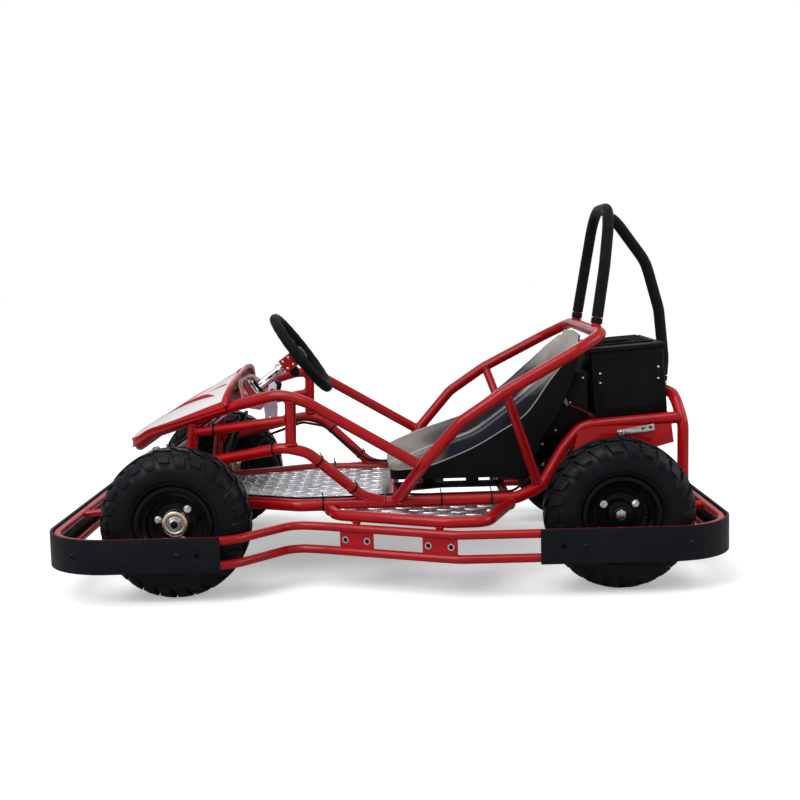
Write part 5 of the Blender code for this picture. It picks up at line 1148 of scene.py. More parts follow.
@dataclass
class Tubes:
    """The welded tube frame, its weld beads and the stubs that tie it to the bumper rings."""

    main_radius: float = 0.014
    rail_radius: float = 0.0125
    hoop_radius: float = 0.0135
    brace_radius: float = 0.011
    arch_radius: float = 0.013
    stub_radius: float = 0.008
    bead_radius: float = 0.0026
    bead_valley: float = 0.82
    bead_ripples: int = 36
    main: Route = field(default_factory=lambda: Route([(0.4665, 0.15, 0.175), (0.33, 0.205, 0.175),
        (0.205, 0.262, 0.175), (-0.29, 0.235, 0.175), (-0.352, 0.212, 0.197), (-0.406, 0.19, 0.28),
        (-0.45, 0.19, 0.332), (ARCH_X, 0.19, 0.348)], 0.06))
    step: Route = field(default_factory=lambda: Route(mm((135, 258.2, 165), (118, 330, 165), (-128, 442, 165),
        (-212, 440, 165), (-278, 235.7, 165)), 0.04))
    arch: Route = field(default_factory=lambda: Route(whole([(ARCH_X + 0.001, 0.19, 0.118), (ARCH_X, 0.19, 0.335),
        (-0.673, 0.15, 0.397)]), 0.06))

    def __post_init__(self) -> None:
        """Work out the lines that start on other tubes."""
        self.hoop_half = [tuple(self.main.at(-0.0155)), (-0.08, 0.317, 0.272), (-0.165, 0.335, 0.368), (-0.2585, 0.342,
            0.43), (-0.4195, 0.315, 0.514), (-0.487, 0.27, 0.55)]
        self.hoop = Route(whole(self.hoop_half), 0.07)
        on_hoop = Route(self.hoop_half, 0.0)
        self.top_half = [tuple(on_hoop.at(-0.076)), (0.175, 0.306, 0.4145), (0.235, 0.3, 0.4355), (0.33, 0.27, 0.411),
            (0.5385, 0.2, 0.343), (0.5865, 0.165, 0.306)]
        self.top = Route(whole(self.top_half), 0.09)
        on_top = Route(self.top_half, 0.0)
        self.upright = Route([(FRONT_AXLE_X, 0.218, RAIL_Z), tuple(on_top.at(0.4405))], 0.0)
        self.middle = Route([tuple(self.main.at(0.0005)), (0.06, 0.256, 0.192), (0.18, 0.292, 0.301),
            (0.23, 0.295, 0.314), (0.396, 0.24, 0.279), tuple(self.upright.at(0.454))], 0.06)
        self.post = Route([tuple(on_top.at(0.2135)), tuple(self.middle.at(0.2165))], 0.0)
        self.strut = Route([tuple(self.post.at(0.2148)), tuple(self.upright.at(0.4445))], 0.0)
        self.brace = Route([tuple(on_hoop.at(-0.2625)), tuple(self.main.at(-0.346))], 0.0)

    def straight(self, name: str, route: Route, radius: float) -> Piece:
        """A tube along a route's bent line."""
        return Bench.tube(name, route.points(), radius, route.closed)

    def bead(self, at: Point, along: Point, radius: float, name: str) -> Piece:
        """A rippled weld bead round a tube where it meets another.

        Args:
            at: middle of the ring.
            along: the tube's direction.
            radius: the tube's radius.
            name: the piece's name.

        Returns:
            The bead.
        """
        turn = Bench.aim(at, along)
        path = []
        steps = 2 * self.bead_ripples
        for index in range(steps):
            angle = FULL_TURN * index / steps
            spread = radius + 0.0003
            path.append(turn @ Vector((spread * cos(angle), 0.0, spread * sin(angle))))
        radii = [1.0 if index % 2 else self.bead_valley for index in range(steps)]
        return Bench.tube(name, path, self.bead_radius, True, 8, radii)

    def beads(self, name: str, ends: Sequence[tuple[Point, Point, float]]) -> Piece:
        """The weld beads of one weldment; each end gives its point, the tube's direction and radius."""
        return Bench.join(name, [self.bead(at, along, radius, name) for at, along, radius in ends])

    def on(self, item: Piece, side: Side) -> Piece:
        """A left-hand piece as it is, or carried over to the right."""
        return item if side is Side.LEFT else Bench.move(item, MIRROR)

    def clear(self, route: Route, start: float, end: float) -> list[Vector]:
        """A route's points with its two ends drawn back to the skin of the tubes that they meet."""
        path = route.points()
        for index, step, amount in ((0, 1, start), (-1, -2, end)):
            way = (path[step] - path[index]).normalized()
            path[index] = path[index] + way * amount
        return path

    def build_side(self, side: Side) -> None:
        """The pieces that stand on one side of the kart."""
        word = side.word
        main = self.on(Bench.tube(word + "_lower_rail", self.clear(self.main, 0.015, 0.012), self.main_radius), side)
        seat(main, RED, word + "_main_rail")
        step_path = self.clear(self.step, 0.012, 0.012)
        parts = [Bench.tube("step", step_path, self.rail_radius)]
        ends = [(step_path[0], step_path[1] - step_path[0], self.rail_radius), (step_path[-1],
            step_path[-2] - step_path[-1], self.rail_radius)]
        for x in (0.072, -0.109):
            low = self.step.at(x)
            high = Vector((x, RINGS.side_y(x) - 0.0085, RINGS.upper_z + 0.0035))
            parts.append(Bench.tube("stub", [low, high], self.stub_radius, sides=18))
            ends.append((low.lerp(high, 0.55), high - low, self.stub_radius))
        seat(self.on(Bench.join(word + "_step_tube", parts), side), RED, word + "_step_rail")
        seat(self.on(self.beads(word + "_step_welds", ends), side), RED)
        middle = self.clear(self.middle, 0.012, 0.01)
        up = self.clear(self.upright, 0.004, 0.011)
        post = self.clear(self.post, 0.011, 0.011)
        strut = self.clear(self.strut, 0.011, 0.011)
        parts = [Bench.tube("middle", middle, self.rail_radius), Bench.tube("upright", up, self.rail_radius),
            Bench.tube("post", post, self.rail_radius), Bench.tube("strut", strut, self.brace_radius)]
        ends = [(path[index], path[index] - path[near], radius) for path, radius in ((middle, self.rail_radius),
            (post, self.rail_radius), (strut, self.brace_radius)) for index, near in ((0, 1), (-1, -2))]
        ends.append((up[-1], up[-1] - up[0], self.rail_radius))
        seat(self.on(Bench.join(word + "_side_tubes", parts), side), RED, word + "_side_frame")
        seat(self.on(self.beads(word + "_side_welds", ends), side), RED)

    def build_hoops(self) -> None:
        """The seat hoop with its braces, the top rail, and the rear arch with its stubs."""
        hoop = self.clear(self.hoop, 0.01, 0.01)
        parts = [Bench.tube("hoop", hoop, self.hoop_radius)]
        ends = [(hoop[0], hoop[0] - hoop[1], self.hoop_radius), (hoop[-1], hoop[-1] - hoop[-2], self.hoop_radius)]
        for side in SIDES:
            low, high = self.brace.corners[1], self.brace.corners[0]
            brace = self.clear(Route([low, high], 0.0), 0.012, 0.01)
            parts.append(self.on(Bench.tube("brace", brace, self.brace_radius), side))
            for index, near in ((0, 1), (-1, 0)):
                at, way = brace[index], brace[index] - brace[near]
                if side is Side.RIGHT:
                    at, way = across(at), across(way)
                ends.append((at, way, self.brace_radius))
        unite("rider_hoop", parts, RED, "seat_hoop")
        seat(self.beads("rider_hoop_welds", ends), RED)
        top = self.clear(self.top, 0.011, 0.011)
        seat(Bench.tube("nose_rail", top, self.rail_radius), RED, "top_rail")
        ends = [(top[0], top[0] - top[1], self.rail_radius), (top[-1], top[-1] - top[-2], self.rail_radius)]
        seat(self.beads("nose_rail_welds", ends), RED)
        parts = [self.straight("arch", self.arch, self.arch_radius)]
        ends = []
        for side in SIDES:
            start = Vector((ARCH_X, side.value * RACK_Y, RINGS.upper_z))
            end = Vector((RINGS.rear_x + 0.0088, side.value * RACK_Y, RINGS.upper_z))
            parts.append(Bench.tube("stub", [start, end], RINGS.radius, sides=18))
            ends.append((start.lerp(end, 0.42), end - start, RINGS.radius))
            rack = self.main.corners[-1]
            at = Vector((ARCH_X + 0.0135, side.value * RACK_Y, rack[2] - 0.001))
            ends.append((at, (1.0, 0.0, -0.06), self.main_radius))
        unite("tail_arch", parts, RED, "rear_arch")
        seat(self.beads("tail_arch_welds", ends), RED)

    def build(self) -> None:
        """All tubes of the frame."""
        for side in SIDES:
            self.build_side(side)
        self.build_hoops()
        LOG.info("frame tubes")


@dataclass
class Rings:
    """The two bumper rings, their bracket plates and the rubber bands at nose and tail."""

    radius: float = 0.0095
    half_width: float = 0.4595
    front_x: float = 0.737
    rear_x: float = -0.737
    upper_z: float = 0.14
    lower_z: float = 0.0875
    corner: float = 0.135
    jog: float = 0.085
    band_low: float = 0.076
    band_high: float = 0.1515
    band_wall: float = 0.006

    def side(self) -> list[Spot]:
        """The left side's corner points between nose and tail, as (x, y)."""
        return [(0.34, self.half_width), (0.2135, 0.308), (0.1435, 0.333), (-0.1485, self.half_width)]

    def outline(self, out: float = 0.0) -> list[Spot]:
        """The ring's corner points, anticlockwise from the front left.

        Args:
            out: how far outside the tube's middle line it runs at nose and tail.

        Returns:
            The corners.
        """
        half = [(self.front_x + out, self.half_width + out)] + self.side() + [(self.rear_x - out, self.half_width
            + out)]
        return half + [(x, -y) for x, y in reversed(half)]

    def side_y(self, x: float) -> float:
        """How far out the ring runs beside the steps."""
        (x0, y0), (x1, y1) = self.side()[2:4]
        return y0 + (y1 - y0) * (x - x0) / (x1 - x0)

    def ring(self, name: str, level: float) -> Piece:
        """One closed ring of tube."""
        bends = [self.corner] + [self.jog] * 4 + [self.corner]
        route = Route([(x, y, level) for x, y in self.outline()], 0.0, True, bends + bends, 5.0)
        return Bench.tube(name, route.points(), self.radius, True)

    def bracket(self, x: float, side: Side) -> tuple[Piece, ...]:
        """A drilled plate between the two rings, and the bright washers round its holes.

        Args:
            x: where along the kart its middle lies.
            side: the side that it is on.

        Returns:
            The plate, the washers and the dark bushes in the holes.
        """
        wide, tall = 0.08, self.upper_z - self.lower_z - 2.0 * self.radius + 0.01
        outline = [(-wide / 2.0, -tall / 2.0), (wide / 2.0, -tall / 2.0), (wide / 2.0, tall / 2.0),
            (-wide / 2.0, tall / 2.0)]
        holes = [(-0.0262, 0.0, 0.005), (0.0262, 0.0, 0.005)]
        plate = Bench.panel("bracket", outline, 0.005, 0.0006, holes)
        ring = Bench.lathe("eyelet", mm((4.8, -0.3), (7.8, -0.3), (8, 0.4), (7.6, 1.2), (5.2, 1.3), (4.8, 0.8)), 32,
            30.0)
        (x0, y0), (x1, y1) = self.side()[2:4]
        way = Vector((x1 - x0, y1 - y0, 0.0)).normalized()
        out = Vector((-way.y, way.x, 0.0))
        if out.y < 0.0:
            out = -out
        turn = Matrix((way, Vector(UP), out)).transposed().to_4x4()
        if turn.determinant() < 0.0:
            turn = Matrix((-way, Vector(UP), out)).transposed().to_4x4()
        spot = Vector((x, self.side_y(x), (self.upper_z + self.lower_z) / 2.0))
        at = Matrix.Translation(spot - out * 0.0025) @ turn
        eyelets = []
        for hole_x, hole_z, _ in holes:
            for level, flip in ((0.005, 0.0), (0.0, pi)):
                face = Matrix.Translation((hole_x, hole_z, level)) @ Matrix.Rotation(QUARTER, 4, "X")
                eyelets.append(Bench.copy(ring, "eyelet", at @ face @ Matrix.Rotation(flip, 4, "X")))
        Bench.drop(ring)
        Bench.move(plate, at)
        bushes = Bench.join("bushes", [Bench.rod("bush", at @ Vector((hole_x, 0.0, 0.0008)), at
            @ Vector((hole_x, 0.0, 0.0042)), 0.00495) for hole_x, _, _ in holes])
        made = (plate, Bench.join("bracket_eyelets", eyelets), bushes)
        if side is Side.RIGHT:
            for item in made:
                Bench.move(item, MIRROR)
        return made

    def band_path(self, front: bool) -> list[Vector]:
        """The middle line of a rubber band, from its left end round to the right."""
        sign = 1.0 if front else -1.0
        end = 0.3585 if front else -0.3215
        out = self.radius + self.band_wall / 2.0 + 0.0004
        far = (self.front_x if front else -self.rear_x) + out
        half = [(end, self.half_width + out), (sign * far, self.half_width + out)]
        corners = [(x, y, 0.0) for x, y in half] + [(x, -y, 0.0) for x, y in reversed(half)]
        return Route(corners, self.corner + out, step=4.0).points()

    def band_face(self, x: float, side: Side, lift: float) -> Matrix:
        """The turn that stands Y on a band's outer face.

        Args:
            x: where along the kart.
            side: the side that it is on.
            lift: how far off the face.

        Returns:
            The matrix.
        """
        reach = self.radius + 0.0004 + self.band_wall
        centre = Vector((copysign(self.front_x - self.corner, x), self.half_width - self.corner))
        over = x - centre.x
        if over * x < 0.0:
            spot, way = Vector((x, self.half_width + reach)), Vector((0.0, 1.0))
        else:
            outer = self.corner + reach
            way = Vector((over, sqrt(outer * outer - over * over))).normalized()
            spot = centre + way * outer
        spot += way * lift
        middle = (self.band_low + self.band_high) / 2.0
        return Bench.aim((spot.x, side.value * spot.y, middle), (way.x, side.value * way.y, 0.0))

    def band(self, front: bool) -> tuple[Piece, Piece, Piece]:
        """A thick band of belting, bolted to the rings, with its bolts and the eyelets of its open holes.

        Args:
            front: the nose's band, or else the tail's.

        Returns:
            The band, its bolt heads and its eyelets.
        """
        path = self.band_path(front)
        wire = Bench.wire("band", path)
        tall = self.band_high - self.band_low
        with Bench.editing(wire):
            bpy.ops.transform.translate(value=(0.0, 0.0, self.band_low))
            bpy.ops.mesh.extrude_region_move(TRANSFORM_OT_translate={"value": (0.0, 0.0, tall)})
            bpy.ops.mesh.select_all(action="SELECT")
            bpy.ops.mesh.normals_make_consistent(inside=False)
        Bench.modify(wire, "SOLIDIFY", thickness=self.band_wall, offset=0.0)
        holes, bolts = ((0.408,), (0.4495, 0.677)) if front else ((-0.37,), (-0.416, -0.641))
        drills, heads, rings = [], [], []
        eyelet = Bench.lathe("eyelet", mm((4.8, -0.5), (7.8, -0.5), (8, 0.4), (7.6, 1), (5.2, 1.2), (4.8, 0.6)), 32,
            30.0)
        dome = BOLTS.dome(0.0072, 0.0042)
        for side in SIDES:
            for x in holes:
                at = self.band_face(x, side, -0.0002)
                drills.append((at @ Vector((0.0, -0.01, 0.0)), at @ Vector((0.0, 0.005, 0.0)), 0.005))
                rings.append(Bench.copy(eyelet, "eyelet", at))
            for x in bolts:
                heads.append(Bench.copy(dome, "band_bolt", self.band_face(x, side, -0.0006)))
        Bench.drill(wire, *drills)
        Bench.drop(eyelet)
        Bench.modify(wire, "BEVEL", width=0.0012, segments=3, limit_method="ANGLE", angle_limit=radians(50.0))
        Bench.smooth(wire, 40.0)
        return wire, Bench.join("bolts", heads), Bench.join("eyelets", rings)

    def build(self) -> None:
        """Rings, brackets and bands."""
        seat(self.ring("bumper_tube_upper", self.upper_z), RED, "bumper_ring_upper")
        parts = [self.ring("bumper_tube_lower", self.lower_z)]
        washers, plugs = [], []
        for side in SIDES:
            for x in (0.072, -0.109):
                plate, eyelets, bushes = self.bracket(x, side)
                parts.append(plate)
                washers.append(eyelets)
                plugs.append(bushes)
        unite("bracket_bushes", plugs, HOSE_RUBBER)
        unite("bumper_tube_lower", parts, RED, "bumper_ring_lower")
        unite("bracket_eyelets", washers, STEEL)
        for front, word in ((True, "front"), (False, "rear")):
            band, heads, rings = self.band(front)
            band.name = word + "_belting"
            heads.name = word + "_belting_bolts"
            rings.name = word + "_belting_eyelets"
            seat(band, BAND_RUBBER, word + "_bumper_band")
            seat(heads, BLACK_PAINT)
            seat(rings, BLACK_PAINT)
        LOG.info("bumper rings and bands")


RINGS = Rings()


# Floor, seat and nose


@dataclass
class TreadPlates:
    """The floor and the two steps: alloy plate with raised lozenges, screwed down at its edges."""

    pitch: float = 0.031
    long: float = 0.036
    wide: float = 0.012
    proud: float = 0.0016
    thick: float = 0.003
    floor: Outline = mm((450.5, -143), (450.5, 143), (330, 192.5), (205, 249), (0.7, 237.5), (0.7, -237.5),
        (205, -249), (330, -192.5))
    step: Outline = mm((112, 272.5), (108, 318), (-124, 426.5), (-205, 425), (-256, 252), (-250, 253.5))

    def lozenge(self) -> Piece:
        """One raised lozenge: a diamond with a rounded crown, on z = 0 and along X."""
        outline = [(self.long / 2.0, 0.0), (0.0, self.wide / 2.0), (-self.long / 2.0, 0.0), (0.0, -self.wide / 2.0)]
        return Bench.panel("lozenge", outline, self.proud, 0.0009, segments=2)

    def studs(self, outline: Outline, level: float) -> Piece:
        """Lozenges all over an outline, turned by turns lengthways and crossways.

        Args:
            outline: the plate's corners.
            level: the plate's upper face.

        Returns:
            The lozenges as one piece.
        """
        xs = [x for x, _ in outline]
        ys = [y for _, y in outline]
        first, last = (floor(min(xs) / self.pitch), ceil(max(xs) / self.pitch))
        low, high = (floor(min(ys) / self.pitch), ceil(max(ys) / self.pitch))
        pattern = self.lozenge()
        made = []
        for column in range(first, last + 1):
            for row in range(low, high + 1):
                x, y = column * self.pitch, row * self.pitch
                lengthways = (column + row) % 2 == 0
                reach = Vector((self.long, 0.0)) if lengthways else Vector((0.0, self.long))
                tips = [Vector((x, y)) + reach * share for share in (-0.5, 0.0, 0.5)]
                if all(self.inside(tip, outline) for tip in tips):
                    turn = Matrix.Rotation(0.0 if lengthways else QUARTER, 4, "Z")
                    made.append(Bench.copy(pattern, "lozenge", Matrix.Translation((x, y, level)) @ turn))
        Bench.drop(pattern)
        return Bench.join("lozenges", made)

    @staticmethod
    def inside(spot: Vector, outline: Outline) -> bool:
        """Whether a spot lies in an outline."""
        held = False
        for (x0, y0), (x1, y1) in zip(outline, list(outline[1:]) + [outline[0]]):
            if (y0 > spot.y) != (y1 > spot.y) and spot.x < x0 + (spot.y - y0) / (y1 - y0) * (x1 - x0):
                held = not held
        return held

    def plate(self, name: str, outline: Outline, level: float) -> tuple[Piece, Piece]:
        """One tread plate and its lozenges; level is its upper face."""
        sheet = Bench.move(Bench.panel("sheet", outline, self.thick, 0.0005),
            Matrix.Translation((0.0, 0.0, level - self.thick)))
        studs = self.studs(outline, level - 0.0001)
        sheet.name, studs.name = name, name + "_lozenges"
        return sheet, studs

    def build(self) -> None:
        """The three plates and their screws."""
        sheet, studs = self.plate("tread_floor", self.floor, RAIL_Z + self.thick / 2.0)
        seat(sheet, TREAD_SHEET, "floor_plate")
        seat(studs, ALLOY)
        spots = []
        for side in SIDES:
            sheet, studs = self.plate(side.word + "_tread_step", self.step, 0.1665)
            if side is Side.RIGHT:
                Bench.move(sheet, MIRROR)
                Bench.move(studs, MIRROR)
            seat(sheet, TREAD_SHEET, side.word + "_step_plate")
            seat(studs, ALLOY)
            spots += [(x, side.value * y, 0.1765) for x, y in mm((350, 141), (191.6, 188), (34.1, 221))]
            spots += [(x, side.value * y, 0.1665) for x, y in mm((95, 292), (-186, 412), (-222, 330))]
        seat(BOLTS.put(BOLTS.dome(0.0068, 0.0036), [(spot, UP) for spot in spots], "tread_screws"), STEEL)
        LOG.info("tread plates")


@dataclass
class Bucket:
    """The moulded seat: pan and back in one sweep, a rolled rim and a skirt, on its welded stand."""

    half: float = 0.152
    flange: float = 0.19
    wall: float = 0.004
    lift: float = 0.0024
    rail_y: float = 0.066
    stations: Sequence[Outline] = (mm((5, 243), (0, 252), (-4, 240), (-6, 216.5)), mm((-30, 227), (-40, 268),
        (-42, 241), (-42, 216.5)), mm((-80, 214.2), (-92, 287), (-94, 248), (-94, 216.5)), mm((-150, 214.2),
        (-147, 304), (-150, 268), (-150, 216.5)), mm((-215, 214.2), (-200, 324), (-205, 292), (-205, 216.5)),
        mm((-280, 225), (-255, 362), (-262, 325), (-262, 216.5)), mm((-335, 264), (-311, 405), (-322, 365),
        (-320, 216.5)), mm((-378, 335), (-366, 454), (-378, 441), (-356, 300)), mm((-420, 430), (-414, 498),
        (-418, 488), (-405, 380)), mm((-458, 544), (-449, 523), (-447, 506), (-443, 480)))

    def section(self, share: float) -> list[Vector]:
        """The left half of the section at a share of the way from the front lip to the head."""
        (cx, cz), (rx, rz), (fx, fz), (kx, kz) = [through([(*station[index], 0.0) for station in self.stations],
            share)[:2] for index in range(4)]
        wide = 1.0 - 0.1 * max(0.0, 1.0 - share / 0.07) ** 2
        return [Vector((x, y * wide, z)) for x, y, z in ((cx, 0.0, cz), (cx, self.half * 0.62, cz
            + 0.004 - 0.009 * share ** 6), (0.65 * cx + 0.35 * rx, self.half * 0.86, 0.65 * cz + 0.35 * rz),
            (rx, self.half, rz - 0.006), (rx, self.half + 0.012, rz), ((rx + fx) / 2.0, self.flange - 0.004,
            rz - 0.004), (fx, self.flange, fz), (kx, self.flange - 0.004, kz))]

    def skirted(self, share: float, along: float) -> Vector:
        """The seat's outer shape: the first share runs from right to left, the second from front to back."""
        part = abs(2.0 * share - 1.0)
        if part <= 0.86:
            return self.surface(0.5 + (share - 0.5) / 0.86, along)
        half = self.section(along)
        spot = half[6].lerp(half[7], (part - 0.86) / 0.14)
        return spot if share > 0.5 else across(spot)

    def surface(self, share: float, along: float) -> Vector:
        """The seat's inner shape, from flange to flange."""
        spot = through(self.section(along)[:7], abs(2.0 * share - 1.0))
        return spot if share > 0.5 else across(spot)

    def slotted(self, made: Piece) -> Piece:
        """Cut the drain slot in the pan and the two belt slots in the back."""
        for centre, size in (((-0.068, 0.0, 0.215), (0.012, 0.05, 0.06)), ((-0.385, 0.062, 0.35),
                (0.14, 0.034, 0.014)), ((-0.385, -0.062, 0.35), (0.14, 0.034, 0.014))):
            cutter = Bench.block("slot", size, centre, 0.0045)
            Bench.modify(made, "BOOLEAN", operation="DIFFERENCE", object=cutter)
            Bench.drop(cutter)
        return Bench.smooth(made, 30.0)

    def shell(self) -> Piece:
        """The black bucket with its skirts."""
        return self.slotted(Bench.sheet("seat_bucket", 100, 84, self.skirted, self.wall, 0.0))

    def painted_sheen_skin(self) -> Piece:
        """The glossy inner skin, lifted just off the bucket, which carries the painted sheen."""
        def raised(share: float, along: float) -> Vector:
            """The inner shape, lifted off the bucket."""
            spot = self.surface(share, along)
            ahead = self.surface(share, min(1.0, along + 0.01)) - self.surface(share, max(0.0, along - 0.01))
            beside = self.surface(min(1.0, share + 0.01), along) - self.surface(max(0.0, share - 0.01), along)
            return spot + beside.cross(ahead).normalized() * self.lift
        return self.slotted(Bench.sheet("seat_painted_sheen_skin", 90, 84, raised, 0.0012, 0.0))

    def painted_highlight_bead(self) -> Piece:
        """A light grey bead that runs round the flange on both sides and over the head: a painted highlight where the
        flange edge catches the light.
        """
        rows = [self.section(index / 60.0)[6] for index in range(61)]
        line = [row + Vector((0.0, 0.0018, 0.0)) for row in rows]
        return Bench.join("seat_painted_highlight_bead", [Bench.tube("painted_highlight_bead", line, 0.0017, sides=10), Bench.tube("painted_highlight_bead",
            [across(spot) for spot in line], 0.0017, sides=10)])

    def stand(self) -> Piece:
        """The flat bars and feet under the seat."""
        parts = []
        for side in SIDES:
            y = side.value * self.rail_y
            parts.append(Bench.block("bar", (0.266, 0.03, 0.012), (-0.14, y, RAIL_Z + 0.006), 0.0015))
            for x in (-0.095, -0.2):
                parts.append(Bench.block("foot", (0.03, 0.03, 0.036), (x, y, RAIL_Z + 0.0205), 0.0015))
        return Bench.join("seat_bars", parts)

    def build(self) -> None:
        """Seat, edge and stand."""
        seat(self.shell(), BOX_PLASTIC, "seat_shell")
        # The lifted skin carries the seat's painted grey sheen.
        seat(self.painted_sheen_skin(), SEAT_PLASTIC)
        # The edge bead: a painted highlight along the flange.
        seat(self.painted_highlight_bead(), SEAT_EDGE)
        seat(self.stand(), BLACK_PAINT)
        tubes = [Bench.rod("tube", (x, -reach, RAIL_Z), (x, reach, RAIL_Z), 0.011) for x, reach in ((-0.01, 0.2385),
            (-0.27, 0.2245))]
        unite("seat_cross_tubes", tubes, RED, "seat_frame")
        spots = [((x, side.value * self.rail_y, 0.2175), UP) for side in SIDES for x in (-0.095, -0.2)]
        seat(BOLTS.put(BOLTS.dome(0.0085, 0.004), spots, "seat_bolts"), STEEL)
        LOG.info("seat")


@dataclass
class Nose:
    """The nose cowl: a red shell with rolled borders, white side panels that also paint the lamps' glare on it, ribs,
    slits and a louvred rear end.
    """

    rear_x: float = 0.357
    power: float = 1.85
    off: float = 0.0158
    ridge: Sequence[Point] = mm((345, 0, 473), (390, 0, 450), (440, 0, 421), (490, 0, 393), (532, 0, 368),
        (570, 0, 348), (594, 0, 333), (603, 0, 327))

    def __post_init__(self) -> None:
        """Follow the top rail's bent line from the dash to the nose."""
        tubes = Tubes()
        edge = [point for point in tubes.top.points() if point.x > self.rear_x and point.y > 0.0]
        edge.insert(0, Route(tubes.top_half, 0.0).at(self.rear_x))
        self.edge = []
        for index, point in enumerate(edge):
            ahead = edge[min(index + 1, len(edge) - 1)] - edge[max(index - 1, 0)]
            self.edge.append(point + Vector((-ahead.y, ahead.x, 0.0)).normalized() * self.off)

    def over(self, share: float) -> float:
        """How far the cover's shoulder stands above the rail's middle."""
        return self.off * (0.3 + 0.7 * share * share)

    def corner(self, share: float) -> Vector:
        """The cover's foot beside the rail, at a share of its length."""
        lengths = [(end - start).length for start, end in zip(self.edge, self.edge[1:])]
        left = share * sum(lengths)
        for start, end, length in zip(self.edge, self.edge[1:], lengths):
            if left <= length:
                return start.lerp(end, left / length)
            left -= length
        return self.edge[-1].copy()

    def surface(self, part: float, share: float, lift: float = 0.0) -> Vector:
        """The cover's skin.

        Args:
            part: from -1 at the right foot over the ridge to 1 at the left.
            share: from the rear arch to the nose.
            lift: how far off the skin.

        Returns:
            The place.
        """
        corner, ridge = self.corner(share), through(self.ridge, share)
        shoulder = corner.z + self.over(share)
        rise = (1.0 - abs(part) ** self.power) ** (1.0 / self.power)
        x = corner.x + (ridge.x - corner.x) * (1.0 - part * part)
        spot = Vector((x, corner.y * part, shoulder + (ridge.z - shoulder) * rise))
        out = Vector((0.35, 1.1 * part, 1.0)).normalized()
        return spot + out * lift

    def skin(self, across_share: float, share: float) -> Vector:
        """The shell with its two skirts beside the rail, for two shares from 0 to 1."""
        part = (2.0 * across_share - 1.0) / 0.92
        if abs(part) <= 1.0:
            return self.surface(part, share)
        foot = self.surface(copysign(1.0, part), share)
        return foot - Vector((0.0, 0.0, (abs(part) - 1.0) / (1.0 / 0.92 - 1.0) * (self.over(share) + 0.002)))

    def patch(self, name: str, low: float, high: float, start: float, end: float, lift: float, wall: float,
            steps: int = 40) -> Piece:
        """A raised patch of the skin, its border rounded.

        Args:
            name: the piece's name.
            low: its lowest part across.
            high: its highest part across.
            start: the share where it starts.
            end: the share where it ends.
            lift: how far off the skin it lies.
            wall: its thickness.
            steps: grid steps each way.

        Returns:
            The patch.
        """
        made = Bench.sheet(name, steps, steps, lambda u, v: self.surface(low + (high - low) * u, start
            + (end - start) * v, lift), wall, 0.0)
        return Bench.modify(made, "BEVEL", width=wall * 0.45, segments=2, limit_method="ANGLE",
            angle_limit=radians(60.0))

    def rib(self, name: str, spots: Outline, radius: float, lift: float) -> Piece:
        """A round rib pressed out of the skin from one (part, share) spot to another, tapered at its far end."""
        steps = [step / 24.0 for step in range(25)]
        line = [self.surface(*Vector(spots[0]).lerp(Vector(spots[1]), step), lift) for step in steps]
        radii = [max(0.25, sin(pi * min(1.0, 0.08 + step * 4.0, 1.12 - step) / 2.0)) for step in steps]
        return Bench.tube(name, line, radius, sides=16, radii=radii)

    def louvres(self) -> list[Piece]:
        """The recessed end wall under the rear arch, pressed into slanting louvres."""
        end = [self.surface(part / 20.0, 0.0, -0.004) for part in range(-20, 21)]
        outline = [(-0.246, 0.398)] + [(spot.y, spot.z) for spot in end] + [(0.246, 0.398)]
        wall = Bench.panel("end_wall", outline, 0.002, 0.0)
        turn = Matrix(((0.0, 0.0, 1.0, 0.362), (1.0, 0.0, 0.0, 0.0), (0.0, 1.0, 0.0, 0.0), (0.0, 0.0, 0.0, 1.0)))
        parts = [Bench.move(wall, turn)]
        for column in range(-4, 5):
            y = column * 0.034
            top = 0.47 - 0.9 * y * y - 0.018
            for row in range(3):
                z = top - 0.013 - row * 0.016
                if z < 0.418 + 0.02 * (row == 0):
                    continue
                vent = Bench.block("vent", (0.006, 0.026, 0.008), (0.0, 0.0, 0.0), 0.0025, 2)
                parts.append(Bench.move(vent, Matrix.Translation((0.3605, y, z)) @ Matrix.Rotation(0.5, 4, "X")))
        return parts

    def build(self) -> None:
        """Shell, panels, ribs, slits and the end wall."""
        shell = Bench.sheet("nose_shell", 100, 60, self.skin, 0.003, 0.0)
        parts = [shell] + self.louvres()
        lip = [self.surface(step / 24.0, 0.0, 0.001) for step in range(-24, 25)]
        parts.append(Bench.tube("arch_lip", lip, 0.0055, sides=16))
        for side in SIDES:
            foot = [self.skin(0.5 + 0.5 * side.value, step / 30.0) for step in range(31)]
            shoulder = [self.surface(side.value, step / 30.0) for step in range(31)]
            parts.append(Bench.tube("foot_roll", foot, 0.0028, sides=14))
            parts.append(Bench.tube("shoulder_roll", shoulder, 0.0036, sides=14))
            parts.append(self.rib("rib", ((side.value * 0.84, 0.125), (side.value * 0.32, 0.555)), 0.0068, 0.003))
        unite("nose_cover", parts, RED, "cowl")
        panels, slits = [], []
        for side in SIDES:
            low, high = sorted((side.value * 0.3, side.value * 0.975))
            # The side panels' white is partly painted reflection: the lamps' glare on the cowl.
            panels.append(self.patch("side_panel", low, high, 0.035, 0.965, 0.0022, 0.0022, 48))
            slits.append(self.rib("slit", ((side.value * 0.68, 0.05), (side.value * 0.58, 0.215)), 0.0024, 0.003))
        unite("nose_panels", panels, WHITE_PANEL_AND_GLARE)
        unite("nose_slits", slits, RED)
        LOG.info("nose")


# Steering, front axle and pedals


